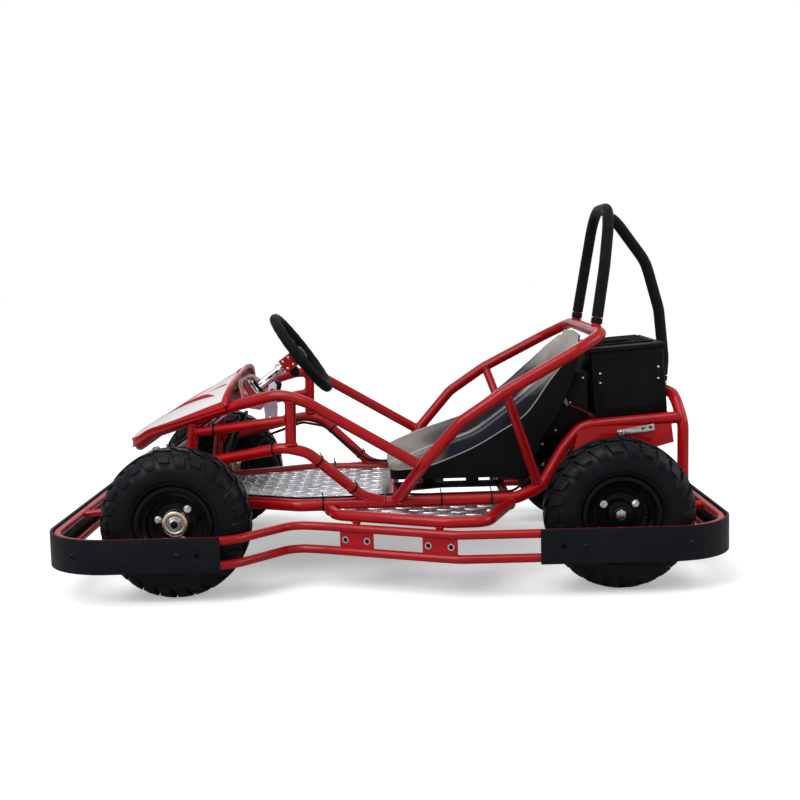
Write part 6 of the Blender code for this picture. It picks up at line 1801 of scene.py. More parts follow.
@dataclass
class Steering:
    """The steering wheel, its column with dash and lower bearing, the front beam, knuckles and tie rods."""

    wheel_radius: float = 0.105
    grip: float = 0.0125
    length: float = 0.44
    pitman: float = 0.0292
    hole: float = 0.0125
    arm: float = 0.077
    rod_end_z: float = 0.213
    dash_at: float = 0.1485
    dash: Outline = mm((100, -48), (258, -18), (258, -3), (200, 10), (150, 30), (100, 42), (50, 48))

    def __post_init__(self) -> None:
        """Lay out the column's frame: X to the left, Y up, Z along the column."""
        along = Vector((cos(STEER_TILT), 0.0, -sin(STEER_TILT)))
        up = Vector((sin(STEER_TILT), 0.0, cos(STEER_TILT)))
        turn = Matrix((Vector((0.0, 1.0, 0.0)), up, along)).transposed().to_4x4()
        self.frame = Matrix.Translation(STEER_CENTRE) @ turn
        self.axial = self.frame @ Matrix.Rotation(QUARTER, 4, "X")

    def at(self, across_by: float, up: float, along: float) -> Vector:
        """A place given across, above and along the column."""
        return self.frame @ Vector((across_by, up, along))

    def turned(self, name: str, profile: Outline, angle: float = 30.0) -> Piece:
        """A turned piece on the column's axis."""
        return Bench.move(Bench.lathe(name, profile, 48, angle), self.axial)

    def block(self, name: str, size: Point, centre: Point, bevel: float = 0.001) -> Piece:
        """A block square to the column."""
        return Bench.move(Bench.block(name, size, centre, bevel), self.frame)

    def build_wheel(self) -> None:
        """Grip ring with finger bumps, three drilled spokes, hub plate, screws and cap."""
        steps = 144
        path = [self.at(self.wheel_radius * cos(FULL_TURN * index / steps),
            self.wheel_radius * sin(FULL_TURN * index / steps), 0.0) for index in range(steps)]
        bumps = [1.0 - 0.035 * (0.5 + 0.5 * cos(FULL_TURN * index / 6.0)) for index in range(steps)]
        ring = Bench.tube("wheel_grip", path, self.grip, True, 20, bumps)
        seat(ring, GRIP, "steering_wheel", body="steering")
        outline = mm((20, -17), (40, -13.5), (75, -11.5), (95.5, -15), (95.5, 15), (75, 11.5), (40, 13.5), (20, 17))
        holes = mm((43, 0, 6.2), (59, 0, 5.4), (73.5, 0, 4.6))
        spoke = Bench.move(Bench.panel("spoke", outline, 0.003, 0.0006, holes), Matrix.Translation((0.0, 0.0, 0.0055)))
        parts = [Bench.copy(spoke, "spoke", self.frame @ Matrix.Rotation(radians(turn), 4, "Z")) for turn in (30.0,
            150.0, 270.0)]
        Bench.drop(spoke)
        parts.append(self.turned("hub_plate", mm((0, 3.5), (31, 3.5), (32, 4.5), (32, 9.5), (0, 9.5))))
        unite("wheel_spokes", parts, ALLOY, body="steering")
        cap = self.turned("wheel_cap", mm((0, -7.5), (12, -7), (17.5, -4.5), (18.5, 0), (18.5, 4), (0, 4)))
        boss = self.turned("wheel_boss", mm((0, 9.2), (27.5, 9.2), (26.5, 21.5), (0, 21.5)))
        unite("wheel_hub", [cap, boss], SWITCH_PLASTIC, body="steering")
        heads = [(self.at(0.025 * cos(turn), 0.025 * sin(turn), 0.0037), self.at(0.0, 0.0, -1.0) - STEER_CENTRE)
            for turn in (FULL_TURN * step / 6.0 for step in range(6))]
        seat(BOLTS.put(BOLTS.dome(0.0036, 0.0026), heads, "wheel_screws"), STEEL, body="steering")

    def build_column(self) -> None:
        """The bright column, drilled across, with its red block and clamp, and the pitman arm."""
        tube = Bench.rod("column", self.at(0.0, 0.0, 0.0218), self.at(0.0, 0.0, self.length), 0.01, 0.0008, 40)
        Bench.drill(tube, (self.at(-0.02, 0.0, 0.103), self.at(0.02, 0.0, 0.103), 0.0035), (self.at(-0.02, 0.0, 0.205),
            self.at(0.02, 0.0, 0.205), 0.003))
        parts = [tube, self.turned("collar", mm((9.5, 62), (14.5, 62), (15.2, 63), (15.2, 71), (14.5, 72), (9.5, 72))),
            self.turned("stop", mm((9.5, 418), (14.5, 418), (15.2, 419), (15.2, 423), (9.5, 424)))]
        arm = [(-0.0155, -0.0135), (0.0155, -0.0135), (0.022, self.pitman - 0.006), (0.0205, self.pitman + 0.0045),
            (0.015, self.pitman + 0.0085), (-0.015, self.pitman + 0.0085), (-0.0205, self.pitman + 0.0045),
            (-0.022, self.pitman - 0.006)]
        plate = Bench.panel("pitman", arm, 0.006, 0.0008)
        parts.append(Bench.move(plate, self.frame @ Matrix.Translation((0.0, 0.0, self.length - 0.006))))
        unite("steering_shaft", parts, CHROME, "steering_column", body="steering")
        block = self.block("column_block", (0.036, 0.036, 0.034), (0.0, 0.0, 0.0395), 0.0014)
        seat(block, RED, body="steering")
        clamp = [self.block("clamp", (0.024, 0.016, 0.022), (0.0, -0.0255, 0.041), 0.002), Bench.rod("knob",
            self.at(0.0, -0.033, 0.041), self.at(0.0, -0.039, 0.041), 0.0075, 0.0015)]
        unite("block_clamp", clamp, SWITCH_PLASTIC, body="steering")
        sides = [(self.at(side * 0.0178, up, along), (0.0, side, 0.0)) for side in (-1.0, 1.0) for up,
            along in mm((10, 31), (-10, 31), (10, 48), (-10, 48))]
        nuts = [(self.at(side * self.hole, self.pitman, self.length - 0.0058), self.at(0.0, 0.0, -1.0) - STEER_CENTRE)
            for side in (-1.0, 1.0)]
        unite("column_bolts", [BOLTS.put(BOLTS.dome(0.004, 0.0026), sides, "screws"),
            BOLTS.put(BOLTS.hexagon(0.011, 0.0055, 0.0, 0.0075), nuts, "heads")], STEEL, body="steering")

    def build_dash(self) -> None:
        """The dash plate with pressed creases, its bearing flange, and the lower bearing on its strut."""
        outline = list(self.dash) + [(-x, y) for x, y in reversed(self.dash)]
        plate = Bench.panel("dash", outline, 0.003, 0.0008, [(0.0, 0.0, 0.0106)])
        parts = [Bench.move(plate, self.frame @ Matrix.Translation((0.0, 0.0, self.dash_at)))]
        for step in range(-6, 7):
            reach = 0.036 - 0.0016 * abs(step)
            if abs(step) > 1:
                x = step * 0.0165
                parts.append(Bench.rod("crease", self.at(x, -reach, self.dash_at), self.at(x, reach, self.dash_at),
                    0.0032, 0.0015, 16))
        unite("dash_panel", parts, RED, "dash_plate")
        flange = self.turned("dash_flange", mm((10.6, 138), (19, 138), (20.5, 139.5), (20.5, 144), (27, 144.5),
            (27.8, 145.2), (27.8, 148.2), (10.6, 148.2)))
        seat(flange, STEEL)
        seal = self.turned("dash_seal", mm((10.4, 131), (15, 131), (16.5, 132.5), (16.5, 138.2), (10.4, 138.2)))
        seat(seal, HOSE_RUBBER)
        back = self.at(0.0, 0.0, -1.0) - STEER_CENTRE
        spots = [(self.at(0.0238 * cos(turn), 0.0238 * sin(turn), 0.1447), back) for turn in (QUARTER
            + FULL_TURN * step / 3.0 for step in range(3))]
        spots += [(self.at(side * x, y, self.dash_at), back) for side in (-1.0, 1.0) for x, y in ((0.118, 0.026),
            (0.118, -0.034))]
        seat(BOLTS.put(BOLTS.dome(0.0036, 0.0026), spots, "dash_bolts"), STEEL)
        sleeve = self.turned("sleeve", mm((10.6, 393), (17.2, 393), (18, 393.8), (18, 416.2), (17.2, 417), (10.6, 417)))
        foot, head = Vector((FRONT_AXLE_X, 0.0, RAIL_Z + 0.012)), self.at(0.0, -0.0165, 0.405)
        leg = Bench.rod("leg", foot, head, 0.011)
        gusset = Bench.block("gusset", (0.03, 0.004, 0.03), foot + Vector((0.006, 0.0, 0.014)), 0.0008)
        unite("column_strut", [sleeve, leg, gusset], RED, "column_support")
        tubes = Tubes()
        seat(tubes.beads("strut_welds", [(foot + Vector((0.0, 0.0, 0.0055)), head - foot, 0.011), (head, head - foot,
            0.011)]), RED)
        nipple = Bench.rod("grease_nipple", self.at(0.0, 0.0176, 0.405), self.at(0.0, 0.0245, 0.405), 0.0026, 0.0006,
            12)
        seat(nipple, STEEL)

    def build_beam(self) -> None:
        """The front cross tube with its yokes, kingpins, bumper stubs and pedal lugs."""
        parts = [Bench.rod("beam", (FRONT_AXLE_X, -0.2365, RAIL_Z), (FRONT_AXLE_X, 0.2365, RAIL_Z), 0.016)]
        yoke = mm((-3, -40), (40, -40), (40, -34), (3, -34), (3, 34), (40, 34), (40, 40), (-3, 40))
        web_y = KINGPIN_Y - 0.024
        ends, heads = [], []
        for side in SIDES:
            out = side.value
            piece = Bench.panel("yoke", yoke, 0.04, 0.0012)
            turn = Matrix(((0.0, 0.0, 1.0, FRONT_AXLE_X - 0.02), (out, 0.0, 0.0, out * web_y), (0.0, 1.0, 0.0,
                WHEEL_Z), (0.0, 0.0, 0.0, 1.0)))
            parts.append(Bench.move(piece, turn))
            stub = [(FRONT_AXLE_X, out * 0.12, RAIL_Z - 0.006), (RINGS.front_x - 0.009, out * 0.12, RINGS.upper_z)]
            parts.append(Bench.tube("stub", stub, 0.008, sides=20))
            ends.append((Vector(stub[0]).lerp(Vector(stub[1]), 0.058), Vector(stub[1]) - Vector(stub[0]), 0.008))
            ends.append(((FRONT_AXLE_X, out * 0.235, RAIL_Z), (0.0, 1.0, 0.0), 0.016))
            pin = (FRONT_AXLE_X, out * KINGPIN_Y)
            heads.append(Bench.rod("kingpin", (*pin, 0.113), (*pin, 0.206), 0.006, 0.0008))
            heads.append(BOLTS.put(BOLTS.hexagon(0.018, 0.0065, 0.0, 0.0115), [((*pin, 0.205), UP)], "head"))
            heads.append(BOLTS.put(BOLTS.hexagon(0.018, 0.008, 0.006, 0.0115), [((*pin, 0.125), (0.0, 0.0, -1.0))],
                "nut"))
            pivot = Vector((0.425, out * 0.1, 0.203))
            root = Vector((FRONT_AXLE_X - 0.006, out * 0.1, RAIL_Z + 0.0145))
            for step in (-0.026, 0.026):
                shift = Vector((0.0, step, 0.0))
                lug = Bench.block("lug", ((root - pivot).length + 0.004, 0.005, 0.02), (0.0, 0.0, 0.0), 0.0012)
                turn = Vector((1.0, 0.0, 0.0)).rotation_difference(root - pivot).to_matrix().to_4x4()
                parts.append(Bench.move(lug, Matrix.Translation((root + pivot) / 2.0 + shift) @ turn))
                parts.append(Bench.rod("eye", pivot + shift - Vector((0.0, 0.0025, 0.0)), pivot + shift
                    + Vector((0.0, 0.0025, 0.0)), 0.0108, 0.0008))
            reach = Vector((0.0, 0.0285, 0.0))
            heads.append(Bench.rod("pin", pivot - reach, pivot + reach, 0.0048))
            heads.append(BOLTS.put(BOLTS.hexagon(0.013, 0.002), [(pivot - reach, (0.0, -1.0, 0.0)), (pivot + reach,
                (0.0, 1.0, 0.0))], "ends"))
        unite("front_beam", parts, RED, "axle_beam")
        seat(Tubes().beads("front_beam_welds", ends), RED)
        unite("front_beam_pins", heads, STEEL)

    def build_corner(self, side: Side) -> None:
        """Knuckle and tie rod of one side."""
        word, out = side.word, side.value
        pin = Vector((FRONT_AXLE_X, out * KINGPIN_Y, WHEEL_Z))
        axle = Vector((0.0, out, 0.0))
        body = word + "_steering_knuckle"
        sleeve = Bench.lathe("sleeve", mm((6.4, -30.5), (12.2, -30.5), (13, -29.7), (13, 29.7), (12.2, 30.5),
            (6.4, 30.5)), 40)
        parts = [Bench.move(sleeve, Matrix.Translation(pin) @ Matrix.Rotation(QUARTER, 4, "X"))]
        collar = Bench.rod("collar", pin + axle * 0.01, pin + axle * 0.0695, 0.014, 0.001, tip=0.0118)
        outline = [(0.006, -0.012), (0.03, -0.01), (self.arm - 0.004, -0.0085), (self.arm + 0.006, -0.0062),
            (self.arm + 0.0095, 0.0), (self.arm + 0.006, 0.0062), (self.arm - 0.004, 0.0085), (0.03, 0.01),
            (0.006, 0.012)]
        arm = Bench.panel("arm", outline, 0.006, 0.001)
        level = 0.0307 - 0.007
        parts += [collar, Bench.move(arm, Matrix.Translation(pin + Vector((0.0, 0.0, level))))]
        unite(word + "_spindle", parts, BLACK_PAINT, word + "_knuckle", body=body)
        tip = pin + Vector((self.arm, 0.0, 0.0))
        nut_y = 0.3863 - KINGPIN_Y
        seat(Bench.rod(word + "_stub_pin", pin + axle * 0.06, pin + axle * 0.1368, 0.0078, 0.0012, 28), BLACK_PAINT,
            body=body)
        bright = [BOLTS.put(BOLTS.hexagon(0.0215, 0.009, 0.0078, 0.0125), [(pin + axle * (nut_y - 0.001), axle)],
            "hub_nut"), Bench.rod("ball_pin", tip + Vector((0.0, 0.0, 0.018)), tip + Vector((0.0, 0.0, 0.0412)),
            0.0046), BOLTS.put(BOLTS.hexagon(0.012, 0.006, 0.0046), [(tip + Vector((0.0, 0.0, level)),
            (0.0, 0.0, -1.0))], "ball_nut")]
        unite(word + "_stub_axle", bright, STEEL, body=body)
        self.build_rod(side, Vector((tip.x, tip.y, self.rod_end_z)))

    def build_rod(self, side: Side, start: Vector) -> None:
        """The tie rod from a knuckle's ball to the pitman arm."""
        word = side.word
        end = self.at(side.value * self.hole, self.pitman, self.length + 0.0085)
        way = (end - start).normalized()
        half_cup = Vector((0.0, 0.0, 0.0058))
        axis = self.at(0.0, 0.0, 1.0) - STEER_CENTRE
        parts = [Bench.rod("rod", start + way * 0.008, end - way * 0.007, 0.0048, 0.0, 28), Bench.rod("cup",
            start - half_cup, start + half_cup, 0.01, 0.0022), Bench.rod("neck", start + way * 0.006, start
            + way * 0.034, 0.0066, 0.001, 28), Bench.rod("eye", end - axis * 0.0048, end + axis * 0.0048, 0.0084,
            0.0014), Bench.rod("neck", end - way * 0.006, end - way * 0.03, 0.0062, 0.001, 28),
            BOLTS.put(BOLTS.hexagon(0.015, 0.005), [(start + way * 0.034, way), (end - way * 0.03, -way)],
            "lock_nuts")]
        unite(word + "_track_link", parts, STEEL, word + "_tie_rod", body=word + "_track_rod")
        boot = Bench.rod("boot", start - half_cup * 0.9, start - half_cup * 1.12 , 0.0078, 0.0, 28)
        unite(word + "_ball_boot", [boot], HOSE_RUBBER, body=word + "_track_rod")

    def build(self) -> None:
        """All of the steering."""
        self.build_wheel()
        self.build_column()
        self.build_dash()
        self.build_beam()
        for side in SIDES:
            self.build_corner(side)
        LOG.info("steering")


@dataclass
class Pedals:
    """Brake and accelerator: a sleeve on the pivot pin, a straight arm and a ribbed pad."""

    pivot: Point = (0.425, 0.1, 0.203)
    pad: Point = (0.378, 0.1, 0.318)

    def pedal(self) -> tuple[Piece, Piece]:
        """The left-hand pedal: its red arm and its black pad."""
        pivot, pad = Vector(self.pivot), Vector(self.pad)
        way = (pad - pivot).normalized()
        sleeve = Bench.lathe("sleeve", mm((5.3, -22.2), (9.8, -22.2), (10.4, -21.5), (10.4, 21.5), (9.8, 22.2),
            (5.3, 22.2)), 40)
        Bench.move(sleeve, Matrix.Translation(pivot))
        arm = [sleeve, Bench.tube("arm", [pivot + way * 0.009, pad - way * 0.004], 0.0058, sides=20)]
        lean = Matrix.Translation(pad) @ Matrix.Rotation(atan2(pad.x - pivot.x, pad.z - pivot.z), 4, "Y")
        plate = Bench.move(Bench.block("plate", (0.0028, 0.06, 0.07), (0.0028, 0.0, 0.0), 0.0008), lean)
        cover = [Bench.block("cover", (0.0046, 0.0616, 0.0716), (-0.0016, 0.0, 0.0), 0.0016)]
        for step in range(-4, 5):
            cover.append(Bench.block("rib", (0.0022, 0.052, 0.0034), (-0.0042, 0.0, step * 0.0074), 0.0008, 2))
        rubber = Bench.move(Bench.join("cover", cover), lean)
        return Bench.join("arm", arm + [plate]), rubber

    def build(self) -> None:
        """Both pedals."""
        for side, word in ((Side.LEFT, "brake"), (Side.RIGHT, "accelerator")):
            arm, cover = self.pedal()
            if side is Side.RIGHT:
                Bench.move(arm, MIRROR)
                Bench.move(cover, MIRROR)
            arm.name = word + "_lever"
            cover.name = word + "_pad"
            seat(arm, BLACK_PAINT, word + "_pedal", body=word + "_pedal_arm")
            seat(cover, PEDAL_PLASTIC, body=word + "_pedal_arm")
        LOG.info("pedals")


# Rear axle, drive and power pack


def upright(name: str, outline: Outline, wall: float, y: float, bevel: float = 0.0006,
        holes: Sequence[Hole] = ()) -> Piece:
    """A plate in the XZ plane whose left face lies at y and whose wall runs to the right."""
    turn = Matrix.Translation((0.0, y, 0.0)) @ Matrix.Rotation(QUARTER, 4, "X")
    return Bench.move(Bench.panel(name, outline, wall, bevel, holes), turn)


@dataclass
class RearDrive:
    """The live axle on its hanging plates, chain drive, motor and disc brake."""

    shaft: float = 0.0125
    teeth: int = 40
    small: int = 10
    pitch: float = 0.0127
    plate_y: float = 0.2075
    axle_plate: Outline = mm((-655, 290), (-622, 282), (-560, 205), (-545, 130), (-462, 130), (-448, 205), (-425, 270),
        (-440, 322), (-475, 332), (-655, 334.5))
    mount: Outline = mm((-253, 160), (-253, 189), (-285, 203), (-340, 240), (-352, 268), (-400, 299), (-446, 276),
        (-452, 235), (-425, 196), (-300, 160))

    def turned(self, name: str, at: Point, profile: Outline, steps: int = 56) -> Piece:
        """A turned piece whose axis runs across the kart through a point."""
        return Bench.move(Bench.lathe(name, profile, steps), Matrix.Translation(at))

    def build_axle(self) -> None:
        """Shaft, black hubs with end caps, the two plates and their flange bearings."""
        parts = [Bench.rod("shaft", (REAR_AXLE_X, -0.4055, WHEEL_Z), (REAR_AXLE_X, 0.4055, WHEEL_Z), self.shaft, 0.001,
            40)]
        hubs = []
        for side in SIDES:
            turn = Matrix.Translation((REAR_AXLE_X, side.value * REAR_WHEEL_Y, WHEEL_Z))
            turn = turn if side is Side.LEFT else turn @ Matrix.Rotation(pi, 4, "Z")
            hub = Bench.lathe("hub", mm((12.4, -30), (28.2, -30), (29, -29.2), (29, 1.2), (49.5, 1.6), (50, 2.8),
                (50, 7.6), (49, 8.4), (29.2, 8.4), (28.6, 27.2), (26.2, 29.8), (12.4, 30)), 64)
            hubs.append(Bench.move(hub, turn))
            nut = BOLTS.hexagon(0.03, 0.006, 0.0105, 0.02)
            hubs.append(Bench.copy(nut, "nut", turn @ Matrix.Translation((0.0, 0.0275, 0.0))))
        unite("live_axle_hubs", hubs, BLACK_PAINT, body="rear_axle_set")
        for y in (-0.058, 0.16):
            parts.append(self.turned("collar", (REAR_AXLE_X, y, WHEEL_Z), mm((12, -6), (20, -6), (21, -5), (21, 5),
                (20, 6), (12, 6))))
        unite("live_axle", parts, STEEL, "rear_axle", body="rear_axle_set")
        for side in SIDES:
            self.build_plate(side)
        LOG.info("rear axle")

    def build_plate(self, side: Side) -> None:
        """One hanging plate with its bearing, bolts and the slotted bar of the chain adjuster."""
        word = side.word
        outline = [(-0.66, 0.292)] + list(self.axle_plate[1:])
        plate = upright("plate", outline, 0.003, self.plate_y, 0.0008, [(-0.59, 0.286, 0.006)])
        rim = Bench.tube("stiffener", [(x, self.plate_y - 0.0015, z) for x, z in mm((-610, 276), (-556, 206),
            (-541.5, 134))], 0.0034, sides=12)
        rib = Bench.tube("stiffener", [(x, self.plate_y - 0.0015, z) for x, z in mm((-465.5, 134), (-451.5, 206),
            (-428.5, 268))], 0.0034, sides=12)
        housing = self.turned("housing", (REAR_AXLE_X, self.plate_y - 0.0015, WHEEL_Z), mm((20, -8.5), (28.5, -8.5),
            (29.5, -7.5), (29.8, 7.5), (28.5, 8.5), (20, 8.5)))
        ear = upright("ears", mm((-29, -29), (29, -29), (29, 29), (-29, 29)), 0.004, 0.0, 0.0015)
        Bench.move(ear, Matrix.Translation((REAR_AXLE_X, self.plate_y + 0.004, WHEEL_Z))
            @ Matrix.Rotation(QUARTER / 2.0, 4, "Y"))
        race = self.turned("race", (REAR_AXLE_X, self.plate_y - 0.0015, WHEEL_Z), mm((12.8, -8.2), (16, -8.2),
            (17, -7), (18.5, -8), (20.2, -8), (20.2, 8), (18.5, 8), (17, 7), (16, 8.2), (12.8, 8.2)))
        red = Bench.join(word + "_hanger", [plate, rim, rib])
        cast = Bench.join(word + "_bearing_housing", [housing, ear])
        bar = upright("bar", mm((-615, 321.5), (-530, 308.5), (-527.5, 322.5), (-613, 336)), 0.003, self.plate_y
            + 0.0042, 0.0008, [(-0.605, 0.3276, 0.0036), (-0.587, 0.3248, 0.003)])
        reach = 0.0335
        spots = [((REAR_AXLE_X + dx, self.plate_y + 0.004, WHEEL_Z + dz), (0.0, 1.0, 0.0)) for dx, dz in ((reach, 0.0),
            (-reach, 0.0), (0.0, reach), (0.0, -reach))]
        spots += [((-0.538, self.plate_y + 0.004, 0.3168), (0.0, 1.0, 0.0))]
        bolts = BOLTS.put(BOLTS.hexagon(0.01, 0.0045, 0.0, 0.0068), spots, word + "_hanger_bolts")
        bright = Bench.join(word + "_hanger_bright", [bar, bolts, race])
        for item, finish, nodes in ((red, RED, (word + "_axle_plate",)), (cast, BLACK_PAINT, ()), (bright, STEEL, ())):
            seat(item if side is Side.LEFT else Bench.move(item, MIRROR), finish, *nodes)

    def wheel(self, name: str, count: int, x: float, z: float, holes: float) -> Piece:
        """A chain wheel with rounded tooth gaps, and lightening holes when a radius is given."""
        radius = self.pitch / (2.0 * sin(pi / count))
        outline = []
        for index in range(count):
            for share, out in ((0.0, -0.0038), (0.14, -0.0034), (0.3, 0.0006), (0.42, 0.0036), (0.58, 0.0036),
                    (0.7, 0.0006), (0.86, -0.0034)):
                turn = FULL_TURN * (index + share) / count
                outline.append(((radius + out) * cos(turn), (radius + out) * sin(turn)))
        spots = [(0.051 * cos(FULL_TURN * step / 5.0), 0.051 * sin(FULL_TURN * step / 5.0), holes)
            for step in range(5)] if holes else []
        made = upright(name, outline, 0.003, 0.0, 0.0, spots)
        return Bench.move(made, Matrix.Translation((x, SPROCKET_Y + 0.0015, z)))

    def build_drive(self) -> None:
        """Both chain wheels and the roller chain between them."""
        big = [self.wheel("chain_wheel", self.teeth, REAR_AXLE_X, WHEEL_Z, 0.0165), self.turned("boss",
            (REAR_AXLE_X, SPROCKET_Y, WHEEL_Z), mm((13, -4), (22.5, -4), (24, -2.5), (24, 14.5), (22.5, 16),
            (13, 16)))]
        unite("axle_chain_wheel", big, STEEL, "driven_sprocket", body="rear_axle_set")
        spots = [((REAR_AXLE_X + 0.0315 * cos(turn), SPROCKET_Y - 0.0015, WHEEL_Z + 0.0315 * sin(turn)),
            (0.0, -1.0, 0.0)) for turn in (FULL_TURN * (step + 0.5) / 5.0 for step in range(5))]
        seat(BOLTS.put(BOLTS.hexagon(0.008, 0.0035, 0.0, 0.0052), spots, "chain_wheel_bolts"), DARK_STEEL,
            body="rear_axle_set")
        pinion = [self.wheel("pinion", self.small, MOTOR_AT.x, MOTOR_AT.z, 0.0), self.turned("collar",
            (MOTOR_AT.x, SPROCKET_Y, MOTOR_AT.z), mm((0, -11.8), (5.5, -11.8), (5.8, -8.2), (11, -8), (12, -7),
            (12, 6), (5.8, 6.2), (5.8, 38), (0, 38)))]
        unite("pinion_on_shaft", pinion, STEEL, "motor_sprocket", body="motor_pinion")
        seat(self.chain(), DARK_STEEL, "chain")
        LOG.info("drive")

    def loop(self) -> list[Vector]:
        """The chain's pitch line, closed, as (x, z)."""
        big, small = (self.pitch / (2.0 * sin(pi / count)) for count in (self.teeth, self.small))
        gap = Vector((MOTOR_AT.x - REAR_AXLE_X, MOTOR_AT.z - WHEEL_Z))
        heading, half = atan2(gap.y, gap.x), acos((big - small) / gap.length)
        line = []
        for x, z, radius, start, sweep, steps in ((REAR_AXLE_X, WHEEL_Z, big, heading + half, 2.0 * (pi - half), 160),
                (MOTOR_AT.x, MOTOR_AT.z, small, heading - half, 2.0 * half, 60)):
            for step in range(steps + 1):
                turn = start + sweep * step / steps
                line.append(Vector((x + radius * cos(turn), z + radius * sin(turn))))
        return line

    def chain(self) -> Piece:
        """A roller chain: rollers with their pins, and narrow and wide pairs of side plates by turns."""
        line = self.loop()
        ends = line[1:] + line[:1]
        total = sum((end - start).length for start, end in zip(line, ends))
        count = 2 * round(total / self.pitch / 2.0)
        spots = []
        walked, index = 0.0, 0
        for link in range(count):
            want = total * link / count
            while walked + (ends[index] - line[index]).length < want:
                walked += (ends[index] - line[index]).length
                index += 1
            way = ends[index] - line[index]
            spots.append(line[index] + way * (want - walked) / way.length)
        roller = Bench.rod("roller", (0.0, -0.0022, 0.0), (0.0, 0.0022, 0.0), 0.0036, 0.0, 12)
        pin = Bench.rod("pin", (0.0, -0.0049, 0.0), (0.0, 0.0049, 0.0), 0.0017, 0.0, 8)
        bead = Bench.join("bead", [roller, pin])
        half = total / count / 2.0
        waist = []
        for centre, start in ((half, -1.0), (-half, 1.0)):
            for step in range(7):
                turn = pi * (step / 6.0 - 0.5) + (0.0 if start < 0.0 else pi)
                waist.append((centre + 0.004 * cos(turn), 0.004 * sin(turn)))
        plate = upright("link", waist, 0.0012, 0.0006, 0.0)
        made = []
        for index, spot in enumerate(spots):
            after = spots[(index + 1) % count]
            made.append(Bench.copy(bead, "bead", Matrix.Translation((spot.x, SPROCKET_Y, spot.y))))
            middle, way = (spot + after) / 2.0, after - spot
            turn = Matrix.Rotation(-atan2(way.y, way.x), 4, "Y")
            out = 0.003 if index % 2 else 0.0043
            for side in (-1.0, 1.0):
                at = Matrix.Translation((middle.x, SPROCKET_Y + side * out, middle.y)) @ turn
                made.append(Bench.copy(plate, "link", at))
        Bench.drop(bead, plate)
        return Bench.join("roller_chain", made)

    def build_motor(self) -> None:
        """The finned motor with its bells, screws and terminals, and its mounting plate."""
        x, z = MOTOR_AT.x, MOTOR_AT.z
        profile = list(mm((6.5, -84.8), (19, -84.8), (20, -82.5), (43.5, -82.5), (45, -81), (45, -73), (50, -72.5)))
        for rib in range(12):
            y = -0.066 + 0.0074 * rib
            profile += [(0.05, y), (0.0476, y + 0.0012), (0.0476, y + 0.0036), (0.05, y + 0.0048)]
        profile += mm((50, 22.8), (45, 23.4), (45, 32.5), (43, 34.8), (18, 34.8), (17, 33), (0, 33), (0, -50),
            (6.5, -50))
        parts = [self.turned("can", (x, 0.0, z), profile, 72), Bench.block("terminals", (0.03, 0.036, 0.016),
            (x, 0.006, z - 0.055), 0.002)]
        unite("finned_motor", parts, BLACK_PAINT, "motor")
        spots = [((x + 0.036 * cos(turn), 0.0344, z + 0.036 * sin(turn)), (0.0, 1.0, 0.0))
            for turn in (FULL_TURN * (step + 0.5) / 4.0 for step in range(4))]
        spots += [((x + 0.033 * dx, -0.0893, z + 0.033 * dz), (0.0, -1.0, 0.0)) for dx, dz in ((0.707, 0.707),
            (-0.707, 0.707), (0.707, -0.707), (-0.707, -0.707))]
        spots += [((x + dx, 0.006, z - 0.0628), (0.0, 0.0, -1.0)) for dx in (-0.008, 0.008)]
        seat(BOLTS.put(BOLTS.dome(0.0048, 0.0032), spots, "motor_screws"), STEEL)
        holes = [(x, z, 0.02), (-0.315, 0.195, 0.01)]
        plate = upright("plate", self.mount, 0.004, -0.0853, 0.0008, holes)
        edge = Bench.tube("edge", [(px, -0.0873, pz) for px, pz in mm((-256, 189.5), (-287, 203.5), (-340, 240),
            (-352, 266))], 0.0032, sides=12)
        unite("motor_carrier", [plate, edge], RED, "motor_mount")
        LOG.info("motor")

    def build_brake(self) -> None:
        """The drilled disc on its carrier, and the cable caliper."""
        at = (REAR_AXLE_X, DISC_Y, WHEEL_Z)
        disc = upright("disc", [(0.0695 * cos(turn), 0.0695 * sin(turn)) for turn in (FULL_TURN * step / 72.0
            for step in range(72))], 0.0038, 0.0019, 0.0004, [(radius * cos(FULL_TURN * (step + shift) / 6.0),
            radius * sin(FULL_TURN * (step + shift) / 6.0), size) for radius, size, shift in ((0.048, 0.0062, 0.0),
            (0.06, 0.003, 0.22), (0.06, 0.003, 0.78), (0.036, 0.0045, 0.5)) for step in range(6)])
        Bench.move(disc, Matrix.Translation(at))
        hub = self.turned("carrier", at, mm((12.8, -3), (22.5, -3), (24, -2), (24, 8.5), (22.5, 10), (12.8, 10)))
        unite("drilled_disc", [disc, hub], STEEL, "brake_disc", body="rear_axle_set")
        top = WHEEL_Z + 0.062
        body = Bench.block("body", (0.052, 0.036, 0.04), (REAR_AXLE_X, DISC_Y, top), 0.004)
        slot = Bench.block("slot", (0.2, 0.0065, 0.06), (REAR_AXLE_X, DISC_Y, top - 0.02), 0.0)
        Bench.modify(body, "BOOLEAN", operation="DIFFERENCE", object=slot)
        Bench.drop(slot)
        parts = [body, Bench.rod("pot", (REAR_AXLE_X, DISC_Y + 0.017, top - 0.006), (REAR_AXLE_X, DISC_Y + 0.026,
            top - 0.006), 0.014, 0.002)]
        unite("cable_caliper", parts, CAST, "brake_caliper")
        lever = Bench.rod("arm", (REAR_AXLE_X, DISC_Y + 0.012, top + 0.008), (REAR_AXLE_X, 0.2042, top + 0.008), 0.007)
        bolts = BOLTS.put(BOLTS.dome(0.0052, 0.004), [((REAR_AXLE_X + dx, DISC_Y + 0.0178, top + 0.011),
            (0.0, 1.0, 0.0)) for dx in (-0.019, 0.019)], "bolts")
        unite("caliper_arm", [lever, bolts], STEEL)
        LOG.info("brake")

    def build(self) -> None:
        """All of the rear axle and drive."""
        self.build_axle()
        self.build_drive()
        self.build_motor()
        self.build_brake()


